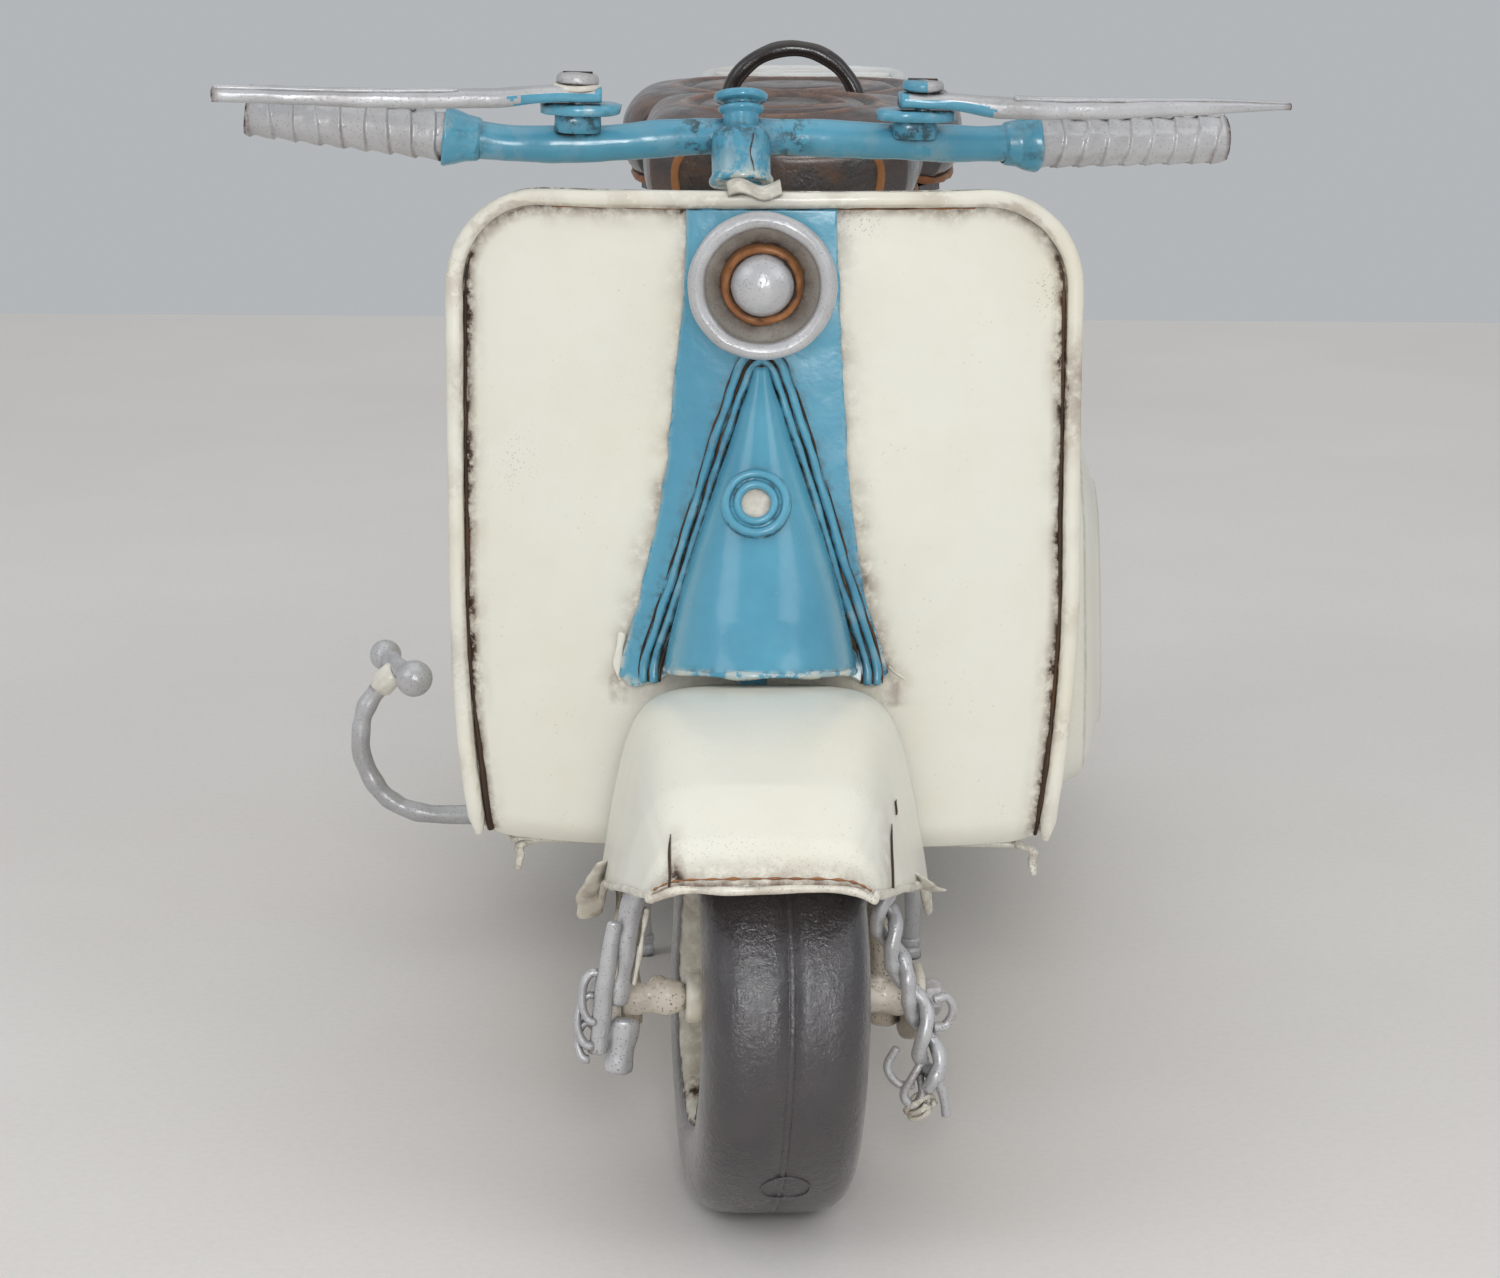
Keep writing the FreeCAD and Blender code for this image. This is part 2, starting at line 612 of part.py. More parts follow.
lamp_dir = Vector(0, 1, 0)
tail_at = Placement(P(0, 214.2, 58.0), Rotation(Vector(1, 0, 0), lamp_dir))
keep(revolved("tail_lamp_bezel", [(0.0, 3.0), (1.8, 3.0), (2.2, 3.6), (1.6, 4.4), (0.0, 4.6)], tail_at), "tail_lamp_bezel")
keep(revolved("tail_lamp_lens", [(0.05, 0.0), (0.05, 2.9), (2.0, 2.8), (3.4, 1.8), (3.9, 0.0)], tail_at), "tail_lamp_lens")

# rear wheel brackets, axle and case
arms = []
for s in (-1, 1):
    x0 = 12.6 if s > 0 else -12.6 - val("arm_thick")
    arm = outline_prism([(0, 0), (1, 0), (1, 1), (0, 1)], 0, 1)
    pts = [P(x0, 108.0, 30.0), P(x0, 108.0, 20.0), P(x0, 122.0, 20.0), P(x0, 176.0, 21.5), P(x0, 183.0, 24.0), P(x0, 183.0, 29.5), P(x0, 170.0, 33.0), P(x0, 124.0, 33.0)]
    w = Part.makePolygon(pts + [pts[0]])
    arm = Part.Face(w).extrude(Vector(val("arm_thick"), 0, 0))
    arm = arm.cut(cylinder_solid(val("pin_radius") + 0.02, P(-30, val("wheel_base"), val("tyre_radius")), P(30, val("wheel_base"), val("tyre_radius"))))
    arms.append(arm)
keep(grouped("rear_brackets", arms), "rear_brackets")
keep(rod("rear_axle", S("pin_radius"), P(-16.4, val("wheel_base"), val("tyre_radius")), P(16.4, val("wheel_base"), val("tyre_radius"))), "rear_axle")
case = padded("engine_case", [(-11.5, 14.0), (11.5, 14.0), (12.4, 18.0), (12.4, 30.8), (-12.4, 30.8), (-12.4, 18.0)], N(20.0),
              Placement(P(0, 122.0, 0), Rotation(Vector(1, 0, 0), 90)))
keep(case, "engine_case")

# ---------------------------------------------------------------- seats
def cushion(stations, top_crown=0.0):
    wires = []
    for v, w, z_low, z_top in stations:
        H = z_top - z_low
        prof = [(0.86, 0.0), (0.97, 0.18), (1.0, 0.5), (0.96, 0.8), (0.84, 0.955), (0.5, 1.0), (0.0, 1.0)]
        pts = [P(-w * a, v, z_low + H * b) for a, b in prof] + [P(w * a, v, z_low + H * b) for a, b in list(reversed(prof))[1:]]
        wires.append(Part.Wire([spline_edge(pts), Part.LineSegment(pts[-1], pts[0]).toShape()]))
    return loft(wires)


keep(feature("driver_seat", cushion([(97.0, 13.0, 111.8, 120.5), (99.5, 16.5, 110.9, 123.4), (106.0, 18.8, 110.8, 124.8), (116.0, 20.2, 110.8, 124.6),
                                     (127.0, 20.6, 110.8, 124.8), (131.5, 19.0, 110.9, 123.6), (133.5, 16.0, 111.8, 121.0)])), "driver_seat")
keep(padded("driver_seat_pan", [(-14.0, 0.0), (14.0, 0.0), (17.5, 8.0), (18.0, 30.0), (15.0, 34.0), (-15.0, 34.0), (-18.0, 30.0), (-17.5, 8.0)],
            N(1.2), Placement(P(0, 98.5, 109.5), Rotation())), "driver_seat_pan")
posts = [cylinder_solid(2.6, P(x, v, 92.0), P(x, v, 109.45)).cut(outer) for x, v in ((0, 105.0), (-11, 125.0), (11, 125.0))]
keep(grouped("seat_springs", posts), "seat_springs")
keep(feature("pillion_seat", cushion([(146.0, 19.0, 109.5, 117.5), (148.5, 23.5, 108.6, 120.4), (156.0, 26.0, 108.5, 121.8), (168.0, 26.4, 108.5, 122.0),
                                      (180.0, 25.4, 108.5, 121.6), (186.5, 22.5, 108.6, 120.0), (189.0, 18.0, 109.6, 117.0)])), "pillion_seat")
keep(padded("pillion_pan", [(-20.0, 0.0), (20.0, 0.0), (23.0, 6.0), (23.0, 30.0), (19.0, 40.0), (-19.0, 40.0), (-23.0, 30.0), (-23.0, 6.0)],
            N(1.2), Placement(P(0, 147.5, 107.2), Rotation())), "pillion_pan")
pil = [Part.makeBox(3.0, 3.0, 17.1, P(x - 1.5, v - 1.5, 90.0)).cut(outer) for x, v in ((-12, 156), (12, 156), (-12, 176), (12, 176))]
keep(grouped("pillion_struts", pil), "pillion_struts")

# grab handle between the seats: straight legs and a half-round bend, swept as one rod
import Sketcher
hoop = doc.addObject("PartDesign::Body", "grab_handle")
hp = hoop.newObject("Sketcher::SketchObject", "hoop_path")
hp.AttachmentSupport = [(plane_of(hoop, "XZ_Plane"), "")]
hp.MapMode = "FlatFace"
HR = val("hoop_radius")
H0, H1 = 100.9, 119.9
hp.addGeometry(Part.LineSegment(Vector(-HR, H0, 0), Vector(-HR, H1, 0)), False)
hp.addGeometry(Part.ArcOfCircle(Part.Circle(Vector(0, H1, 0), Vector(0, 0, 1), HR), 0, math.pi), False)
hp.addGeometry(Part.LineSegment(Vector(HR, H1, 0), Vector(HR, H0, 0)), False)
hp.addConstraint(Sketcher.Constraint("Radius", 1, HR))
hp.setExpression("Constraints[0]", "dims.hoop_radius")
hp.addConstraint(Sketcher.Constraint("Coincident", 0, 2, 1, 2))
hp.addConstraint(Sketcher.Constraint("Coincident", 1, 1, 2, 1))
hp.addConstraint(Sketcher.Constraint("Vertical", 0))
hp.addConstraint(Sketcher.Constraint("Vertical", 2))
hp.addConstraint(Sketcher.Constraint("DistanceX", 1, 3, 0.0))
hp.addConstraint(Sketcher.Constraint("DistanceY", 1, 3, H1))
hp.addConstraint(Sketcher.Constraint("DistanceY", 0, 2, H1))
hp.addConstraint(Sketcher.Constraint("DistanceY", 2, 1, H1))
hp.addConstraint(Sketcher.Constraint("DistanceY", 0, 1, H0))
hp.addConstraint(Sketcher.Constraint("DistanceY", 2, 2, H0))
hs = hoop.newObject("Sketcher::SketchObject", "hoop_section")
hs.AttachmentSupport = [(plane_of(hoop, "XY_Plane"), "")]
hs.MapMode = "FlatFace"
hs.AttachmentOffset = Placement(Vector(0, 0, H0), Rotation())
hs.addGeometry(Part.Circle(Vector(-HR, 0, 0), Vector(0, 0, 1), val("hoop_wire")), False)
hs.addConstraint(Sketcher.Constraint("Radius", 0, val("hoop_wire")))
hs.setExpression("Constraints[0]", "dims.hoop_wire")
hs.addConstraint(Sketcher.Constraint("DistanceX", 0, 3, -HR))
hs.setExpression("Constraints[1]", "-dims.hoop_radius")
hs.addConstraint(Sketcher.Constraint("DistanceY", 0, 3, 0.0))
doc.recompute()
pipe = hoop.newObject("PartDesign::AdditivePipe", "hoop_sweep")
pipe.Profile = hs
pipe.Spine = (hp, ["Edge1", "Edge2", "Edge3"])
hoop.Tip = pipe
hoop.Placement = Placement(P(0.7, 139.5, 0), Rotation())
keep(hoop, "grab_handle")

# rear rack: a ring of rod with slats, on two stays
rw = val("rack_wire")
rh = val("rack_half")
ring = []
zr_ = 117.2
rack_path = [P(-rh + 1.2, 199.0, zr_), P(-rh, 206.0, zr_), P(-rh, 216.0, zr_), P(-rh, 226.0, zr_), P(-rh + 4.5, 232.4, zr_), P(0, 234.0, zr_),
             P(rh - 4.5, 232.4, zr_), P(rh, 226.0, zr_), P(rh, 216.0, zr_), P(rh, 206.0, zr_), P(rh - 1.2, 199.0, zr_)]
rail = pipe_solid(rack_path, rw, steps=40)
slats = [cylinder_solid(0.9, P(-rh + 0.6, v, zr_), P(rh - 0.6, v, zr_)) for v in (203.0, 211.0, 219.0, 227.0)]
rack = rail
for s in slats:
    rack = rack.fuse(s)
stays = [pipe_solid([P(x * 0.75, 200.5, 86.0), P(x * 0.86, 204.0, 98.0), P(x, 210.0, 109.0), P(x, 211.0, 116.9)], 1.1, steps=8).cut(outer) for x in (-10.5, 10.5)]
for s in stays:
    rack = rack.fuse(s)
keep(feature("rear_rack", rack.removeSplitter()), "rear_rack")

# ---------------------------------------------------------------- centre stand
sh_ = val("stand_half")
pz, pv = 28.0, 96.0
fv = 100.5
fh = val("foot_height")
legs = []
for s in (-1, 1):
    top = P(s * sh_, pv, pz)
    low = P(s * sh_, fv, fh - 0.02)
    legs.append(cylinder_solid(val("stand_leg"), top, low).cut(
        Part.makeBox(20, 20, 20, P(s * sh_ - 10, fv - 10, fh - 20))).cut(
        cylinder_solid(val("stand_rod"), P(-22.0, pv, pz), P(22.0, pv, pz))))
legs = [s_ for g in legs for s_ in g.Solids if s_.Volume > 5.0]
keep(rod("stand_rod", S("stand_rod"), P(-sh_ - 1.3, pv, pz), P(sh_ + 1.3, pv, pz)), "stand_rod")
feet = [cylinder_solid(val("foot_radius"), P(s * sh_, fv, 0.0), P(s * sh_, fv, fh)) for s in (-1, 1)]
keep(grouped("stand_legs", legs + feet), "stand_legs")
lugs = []
for x in (-15.0, 13.0):
    lug = Part.makeBox(2.0, 7.0, 9.2, P(x, pv - 3.5, 25.2))
    lugs.append(lug.cut(cylinder_solid(val("stand_bore"), P(-30, pv, pz), P(30, pv, pz))))
keep(grouped("stand_brackets", lugs), "stand_brackets")

# ---------------------------------------------------------------- kick-start on the rider's right
kv, kz = 111.0, 18.2
kr = val("kick_radius")
arm_path = [P(-26.0, kv, kz), P(-36.0, kv, kz), P(-46.0, kv, kz), P(-52.5, kv, kz), P(-57.6, kv, kz + 1.5), P(-61.5, kv, kz + 5.6),
            P(-63.0, kv, kz + 11.2), P(-61.9, kv, kz + 16.6), P(-59.4, kv, kz + 20.4)]
arm = Part.makeCylinder(kr, 26.0, P(-52.0, kv, kz), Vector(1, 0, 0))
bend = pipe_solid([P(-52.0, kv, kz), P(-57.2, kv, kz + 1.3), P(-61.2, kv, kz + 5.4), P(-62.8, kv, kz + 11.0), P(-61.8, kv, kz + 16.4), P(-59.2, kv, kz + 20.4)], kr, steps=20)
keep(feature("kick_arm", arm.fuse(bend).removeSplitter()), "kick_arm")
pc = P(-56.6, 110.6, 41.0)
pd = Vector(-5.6, 12.0, 0.4)
pd.normalize()
pr = rod("_pedal_rod", N(1.35), pc - pd * 6.0, pc + pd * 6.4)
b1 = ball("_pedal_ball_front", 2.75, pc - pd * 6.8)
b2 = ball("_pedal_ball_back", 2.4, pc + pd * 7.0)
keep(fused("_pedal", [pr, b1, b2]), "kick_pedal")
boss = rod("_boss", N(3.4), P(-36.5, kv, kz), P(-24.2, kv, kz), S("kick_bore"))
strap = block("_kick_strap", N(10.4), N(5.0), N(17.6), P(-35.4, kv - 2.5, 20.9))
tongue = block("_kick_tongue", N(4.0), N(5.0), N(1.6), P(-26.2, kv - 2.5, 36.9))
keep(fused("_kick_boss", [boss, strap, tongue]), "kick_boss")

# ---------------------------------------------------------------- front fork (built straight, then turned)
def steer(obj):
    return place(obj, STEER)


az = axis_point
crown_z0, crown_z1 = 50.4, 53.4
ca = az(52.0)
crown = Part.makeBox(25.0, 7.0, crown_z1 - crown_z0, Vector(-12.5, ca.y - 3.5, crown_z0))
keep(steer(feature("fork_crown", crown)), "fork_crown")
stem_bottom = az(crown_z1 + 0.05)
stem_top = az(120.9)
stem = cylinder_solid(val("stem_radius"), az(46.0), stem_top).common(
    Part.makeBox(40, 200, 80, Vector(-20, -100, crown_z1 + 0.05)))
keep(steer(feature("fork_stem", stem)), "fork_stem")
leg_solids, plate_solids = [], []
for side, s in (("left", 1), ("right", -1)):
    top = Vector(s * 11.4, az(50.0).y, 50.0)
    knee = Vector(s * 15.6, az(43.0).y, 43.0)
    low = Vector(s * 16.4, az(20.5).y, 20.5)
    leg = cylinder_solid(1.7, knee, low).fuse(Part.makeSphere(1.7, knee)).fuse(cylinder_solid(1.7, top, knee))
    leg = leg.common(Part.makeBox(60, 60, 50.35, Vector(-30, top.y - 30, 0))).removeSplitter()
    leg_solids += leg.Solids
    # link plate from the leg's foot forward to the axle
    x0 = 18.25 if s > 0 else -19.45
    a_y, f_y = P(0, 0, 0).y, az(21.5).y
    outline = [Vector(x0, a_y - 3.2, 28.6), Vector(x0, a_y + 2.0, 30.2), Vector(x0, f_y + 2.6, 24.0), Vector(x0, f_y + 2.6, 18.6),
               Vector(x0, f_y - 3.0, 18.0), Vector(x0, a_y - 3.2, 22.4)]
    plate = Part.Face(Part.makePolygon(outline + [outline[0]])).extrude(Vector(1.2, 0, 0))
    plate = plate.cut(cylinder_solid(val("pin_radius") + 0.02, Vector(-40, a_y, val("tyre_radius")), Vector(40, a_y, val("tyre_radius"))))
    plate_solids.append(plate)
keep(steer(grouped("fork_legs", leg_solids)), "fork_legs")
keep(steer(grouped("fork_links", plate_solids)), "fork_links")
a_y = P(0, 0, 0).y
R0 = val("tyre_radius")
pin_ = rod("_front_pin", S("pin_radius"), Vector(-21.6, a_y, R0), Vector(21.6, a_y, R0))
sleeves = [rod("_sleeve%d" % k, N(2.05), Vector(min(s * 10.6, s * 18.2), a_y, R0), Vector(max(s * 10.6, s * 18.2), a_y, R0))
           for k, s in enumerate((-1, 1))]
keep(steer(fused("_front_axle", [pin_] + sleeves)), "front_axle")
nuts = []
for s in (-1, 1):
    x1 = 19.5 if s > 0 else -21.9
    hexa = Part.makePolygon([Vector(x1, a_y + 2.3 * math.cos(math.radians(60 * k)), R0 + 2.3 * math.sin(math.radians(60 * k))) for k in range(7)])
    nuts.append(Part.Face(hexa).extrude(Vector(2.4, 0, 0)).cut(cylinder_solid(val("pin_radius") + 0.02, Vector(-40, a_y, R0), Vector(40, a_y, R0))))
keep(steer(grouped("axle_nuts", nuts)), "axle_nuts")
# flat silver strut in front of the right leg and twisted wire strand in front of the left one
strip_l = pipe_solid([P(-17.6, -4.6, 41.0), P(-18.6, -4.6, 34.0), P(-19.8, -4.8, 27.0), P(-20.6, -5.0, 20.2)], 1.15, steps=8)
keep(steer(feature("fork_strut", strip_l)), "fork_strut")
strand = pipe_solid([P(13.6, -5.6, 40.6), P(15.4, -6.4, 34.0), P(18.2, -7.0, 26.0), P(20.2, -7.2, 17.4)], 1.45, steps=8)
keep(steer(feature("twisted_strand", strand)), "twisted_strand")

# ---------------------------------------------------------------- handlebar
bar_v, bar_z = 54.4, 126.4
bar_path = [P(-38.2, 56.2, 125.6), P(-30.0, 55.3, 125.0), P(-20.0, 54.5, 125.2), P(-8.0, 54.4, 126.3), P(0.0, bar_v, 126.6), P(8.0, 54.4, 126.5),
            P(20.0, 54.5, 126.2), P(30.0, 55.3, 126.0), P(38.2, 56.2, 126.2)]
bar = pipe_solid(bar_path, val("bar_radius"), steps=24)
keep(steer(feature("handlebar", bar)), "handlebar")
col_off = Vector(-0.8, 0, 0)
collar_solid = Part.makeCylinder(val("collar_radius"), 6.4, az(121.0) + col_off, AXIS_S).cut(bar)
collar_solid = max(collar_solid.Solids, key=lambda q: q.Volume)
keep(steer(feature("column_collar", collar_solid)), "column_collar")
neck0 = az(121.0) + AXIS_S * 6.45 + col_off
neck = Part.makeCylinder(2.3, 4.2, neck0, AXIS_S)
flange = Part.makeCylinder(2.8, 0.5, neck0 + AXIS_S * 3.3, AXIS_S)
capc = Part.makeCylinder(val("cap_radius"), 1.25, neck0 + AXIS_S * 4.2, AXIS_S)
cap = neck.fuse(flange).fuse(capc).cut(bar).removeSplitter()
cap = max(cap.Solids, key=lambda q: q.Volume)
keep(steer(feature("column_cap", cap)), "column_cap")

G, GL = S("grip_radius"), S("grip_length")
flanges = []
for side, s in (("left", 1), ("right", -1)):
    p0 = P(s * 38.4, 56.25, 126.2 if s > 0 else 125.6)
    p1 = P(s * 64.0, 59.0, 127.0 if s > 0 else 128.1)
    d_ = p1.sub(p0)
    d_.normalize()
    prof = [(N(0.0), G - 0.9)]
    n = 8
    prof.append((N(0.0), G - 0.1))
    for k in range(n):
        a = 26.5 * (k + 0.25) / n
        prof.append((GL * ((k + 0.30) / n), G - 0.15))
        prof.append((GL * ((k + 0.62) / n), G + 0.25))
        prof.append((GL * ((k + 0.82) / n), G - 0.05))
    prof.append((GL, G - 0.05))
    prof.append((GL, G - 0.9))
    grip = revolved("grip_" + side, prof, Placement(p0, Rotation(Vector(1, 0, 0), d_)))
    keep(steer(grip), "grip_" + side)
    # flared blue ferrule round the bar's end
    q1 = P(s * 38.2, 56.2, 126.2 if s > 0 else 125.6)
    q0 = q1 - d_ * 3.4
    cone = Part.makeCone(2.9, 3.9, 3.2, q0, d_)
    cone = cone.cut(bar)
    cone = max(cone.Solids, key=lambda q: q.Volume)
    flanges.append(cone)
keep(steer(grouped("grip_ferrules", flanges)), "grip_ferrules")

# lever brackets, bolts and levers
LEVER_Z = 131.0
brackets, bolts = [], []
piv = {}
for side, s in (("left", 1), ("right", -1)):
    px, pv_ = s * 22.4, 49.4
    c = P(px, pv_, 0)
    piv[side] = P(px, pv_, LEVER_Z)
    b_ = Part.makeBox(5.0, 7.0, 1.5, P(px - 2.5, pv_ - 2.5, LEVER_Z - 1.55)).fuse(
        Part.makeCylinder(3.0, 1.5, P(px, pv_, LEVER_Z - 1.55))).fuse(
        Part.makeBox(4.0, 3.4, 3.2, P(px - 2.0, pv_ + 2.0, LEVER_Z - 4.7)))
    b_ = b_.cut(bar).cut(Part.makeCylinder(val("bolt_pin") + 0.02, 10, P(px, pv_, LEVER_Z - 6)))
    b_ = max(b_.Solids, key=lambda q: q.Volume).removeSplitter()
    brackets.append(b_)
    bolts.append(Part.makeCylinder(val("bolt_pin"), 3.9, P(px, pv_, LEVER_Z - 1.5)).fuse(
        Part.makeCylinder(val("bolt_radius"), 1.4, P(px, pv_, LEVER_Z + 2.4))).removeSplitter())
keep(steer(grouped("lever_brackets", brackets)), "lever_brackets")
keep(steer(grouped("lever_bolts", bolts)), "lever_bolts")


def lever(side, s):
    px, pv_ = s * 22.4, 49.4

    def sect(x, v, z, w, t):
        pts = [P(s * x, v - w / 2, z - t / 2), P(s * x, v + w / 2, z - t / 2), P(s * x, v + w / 2, z + t / 2), P(s * x, v - w / 2, z + t / 2)]
        return Part.makePolygon(pts + [pts[0]])
    zc = LEVER_Z + 1.2
    if s > 0:
        st = [(19.6, 49.0, zc, 4.4, 2.1), (26.0, 48.6, zc, 5.0, 2.1), (32.0, 47.6, zc - 0.6, 4.6, 2.6), (46.0, 47.0, zc - 0.4, 3.8, 2.4), (60.0, 47.4, zc + 0.1, 3.0, 1.9),
              (70.8, 48.0, zc + 0.3, 2.0, 1.1)]
    else:
        st = [(19.6, 49.0, zc, 4.4, 2.1), (26.0, 48.6, zc, 5.0, 2.1), (34.0, 47.2, zc - 0.6, 4.2, 2.4), (48.0, 46.2, zc - 0.8, 3.6, 2.1), (60.0, 46.2, zc - 0.7, 3.2, 1.9),
              (69.0, 46.4, zc - 0.6, 2.8, 1.8)]
    sh_l = Part.makeLoft([sect(*a) for a in st], True, False)
    sh_l = sh_l.cut(Part.makeCylinder(val("lever_bore"), 10, P(px, pv_, LEVER_Z - 4)))
    return sh_l


keep(steer(feature("clutch_lever", lever("left", 1))), "clutch_lever")
keep(steer(feature("brake_lever", lever("right", -1))), "brake_lever")

# ---------------------------------------------------------------- check and write
doc.recompute()
bad = []
for o in doc.Objects:
    if "Invalid" in o.State or "Error" in o.State:
        bad.append(o.Name + " " + str(o.State))
for o in nodes:
    s_ = o.Shape
    if s_.isNull() or not s_.isValid() or len(s_.Solids) < 1:
        bad.append("%s shape null=%s valid=%s solids=%d" % (o.Label, s_.isNull(), s_.isValid() if not s_.isNull() else None,
                                                             0 if s_.isNull() else len(s_.Solids)))
if bad:
    raise RuntimeError("; ".join(bad))
total = None
for o in nodes:
    s_ = o.Shape
    s_.exportStep("parts/" + o.Label + ".step")
    bb = s_.BoundBox
    total = FreeCAD.BoundBox(bb) if total is None else total.united(bb)
    print("%-20s solids %d vol %9.1f  x %.1f..%.1f y %.1f..%.1f z %.1f..%.1f" % (o.Label, len(s_.Solids), s_.Volume, bb.XMin, bb.XMax, bb.YMin, bb.YMax, bb.ZMin, bb.ZMax))
print("nodes", len(nodes), "box", total)
print("axis", STEER.Rotation.multVec(AXIS_S), "A0", A0)
print("front wheel centre", FRONT.Base, "axle", STEER.Rotation.multVec(Vector(1, 0, 0)))
print("pivots", {k: STEER.multVec(p) for k, p in piv.items()}, STEER.Rotation.multVec(Vector(0, 0, 1)))
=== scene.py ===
import bpy, bmesh, math, json, random
from mathutils import Vector, Matrix, noise

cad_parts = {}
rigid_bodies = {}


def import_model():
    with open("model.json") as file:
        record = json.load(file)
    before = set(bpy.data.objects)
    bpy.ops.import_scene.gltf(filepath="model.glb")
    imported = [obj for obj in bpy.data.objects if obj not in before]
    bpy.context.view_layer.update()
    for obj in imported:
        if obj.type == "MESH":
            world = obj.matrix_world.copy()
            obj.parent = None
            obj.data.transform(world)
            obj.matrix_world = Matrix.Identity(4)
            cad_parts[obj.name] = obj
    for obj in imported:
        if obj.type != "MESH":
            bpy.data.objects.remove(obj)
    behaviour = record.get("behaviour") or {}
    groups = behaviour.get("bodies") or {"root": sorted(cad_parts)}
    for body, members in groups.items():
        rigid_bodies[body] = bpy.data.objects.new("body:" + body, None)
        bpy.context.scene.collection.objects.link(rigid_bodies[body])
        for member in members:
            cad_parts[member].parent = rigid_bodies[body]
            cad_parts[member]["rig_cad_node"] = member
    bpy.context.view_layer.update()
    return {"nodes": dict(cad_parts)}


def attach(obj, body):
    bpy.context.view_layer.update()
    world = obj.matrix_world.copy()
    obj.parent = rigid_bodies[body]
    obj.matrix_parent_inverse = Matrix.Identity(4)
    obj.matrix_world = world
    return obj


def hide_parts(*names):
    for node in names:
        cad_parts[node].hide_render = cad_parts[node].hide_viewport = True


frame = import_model()
NODES = frame["nodes"]
random.seed(4)
MM = 0.001
Y0 = 101.7
TAU = 2 * math.pi


# ------------------------------------------------------------------ frame helpers (millimetres, v behind the front axle)
def P(x, v, z):
    return Vector((x, v - Y0, z))


A0 = P(0, 14.0, 26.5)
RAKE = math.atan2(38.0, 100.5)
AXIS_S = Vector((0, math.sin(RAKE), math.cos(RAKE)))


def about(p, axis, deg):
    return Matrix.Translation(p) @ Matrix.Rotation(math.radians(deg), 4, axis) @ Matrix.Translation(-p)


LEANM = about(A0, Vector((0, 1, 0)), -math.degrees(math.atan2(2.5, 100.5)))
STEER = Matrix.Translation(Vector((0, 0, 0.09))) @ LEANM @ about(A0, AXIS_S, 9.0)
FENDER_YAW = about(P(0, 45, 40), Vector((0, 0, 1)), 2.0)
IDENT = Matrix.Identity(4)


def az(z):
    return A0 + AXIS_S * ((z - A0.z) / AXIS_S.z)


def shield_v(x, z):
    return 32.0 + 0.07 * (z - 36.0) + 7.5 * (abs(x) / 41.0) ** 2.6


def lerp(a, b, t):
    return a + (b - a) * t


def table(rows, u):
    """Smooth interpolation of rows (u, value, ...) at u."""
    if u <= rows[0][0]:
        return rows[0][1:]
    for i in range(len(rows) - 1):
        if u <= rows[i + 1][0]:
            t = (u - rows[i][0]) / (rows[i + 1][0] - rows[i][0])
            p0 = rows[max(i - 1, 0)][1:]
            p1, p2 = rows[i][1:], rows[i + 1][1:]
            p3 = rows[min(i + 2, len(rows) - 1)][1:]
            return tuple(catmull(a, b, c, d, t) for a, b, c, d in zip(p0, p1, p2, p3))
    return rows[-1][1:]


def catmull(a, b, c, d, t):
    return 0.5 * ((2 * b) + (c - a) * t + (2 * a - 5 * b + 4 * c - d) * t * t + (3 * b - a - 3 * c + d) * t ** 3)


def smooth_path(pts, n):
    """n + 1 points evenly spread by index along a Catmull-Rom curve."""
    out = []
    m = len(pts) - 1
    for i in range(n + 1):
        s = m * i / n
        k = min(int(s), m - 1)
        t = s - k
        p0, p1, p2, p3 = pts[max(k - 1, 0)], pts[k], pts[k + 1], pts[min(k + 2, m)]
        out.append(Vector(tuple(catmull(p0[j], p1[j], p2[j], p3[j], t) for j in range(3))))
    return out


def nz(p, scale, seed=0.0):
    return noise.noise(Vector((p[0] * scale + seed * 17.3, p[1] * scale - seed * 5.1, p[2] * scale + seed * 9.7)))


# ------------------------------------------------------------------ mesh helpers
PIECES = []


def make(name, verts, faces, mat, body, M=IDENT, attrs=None, smooth=True, mats=None, face_mats=None):
    me = bpy.data.meshes.new(name)
    me.from_pydata([tuple(((M @ Vector(v)) * MM)) for v in verts], [], faces)
    me.update()
    if attrs:
        for k, vals in attrs.items():
            a = me.attributes.new(k, "FLOAT", "POINT")
            a.data.foreach_set("value", [float(x) for x in vals])
    bm = bmesh.new()
    bm.from_mesh(me)
    bmesh.ops.recalc_face_normals(bm, faces=bm.faces)
    bm.to_mesh(me)
    bm.free()
    for p in me.polygons:
        p.use_smooth = smooth
    ob = bpy.data.objects.new(name, me)
    bpy.context.scene.collection.objects.link(ob)
    for m in (mats or [mat]):
        me.materials.append(m)
    if face_mats:
        for p, i in zip(me.polygons, face_mats):
            p.material_index = i
    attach(ob, body)
    PIECES.append(ob)
    return ob


class Builder:
    """Collects several closed surfaces into one mesh."""

    def __init__(self):
        self.v, self.f, self.m = [], [], []
        self.attr = {}

    def add(self, verts, faces, mi=0, **attrs):
        o = len(self.v)
        for k in set(list(self.attr) + list(attrs)):
            vals = self.attr.setdefault(k, [0.0] * o)
            vals += list(attrs.get(k, [0.0] * len(verts)))
        self.v += [tuple(p) for p in verts]
        self.f += [tuple(i + o for i in f) for f in faces]
        self.m += [mi] * len(faces)
        return self

    def build(self, name, mats, body, M=IDENT, smooth=True, slot=None):
        mats = mats if isinstance(mats, list) else [mats]
        return make(name, self.v, self.f, mats[0], body, M, self.attr or None, smooth, mats, self.m)


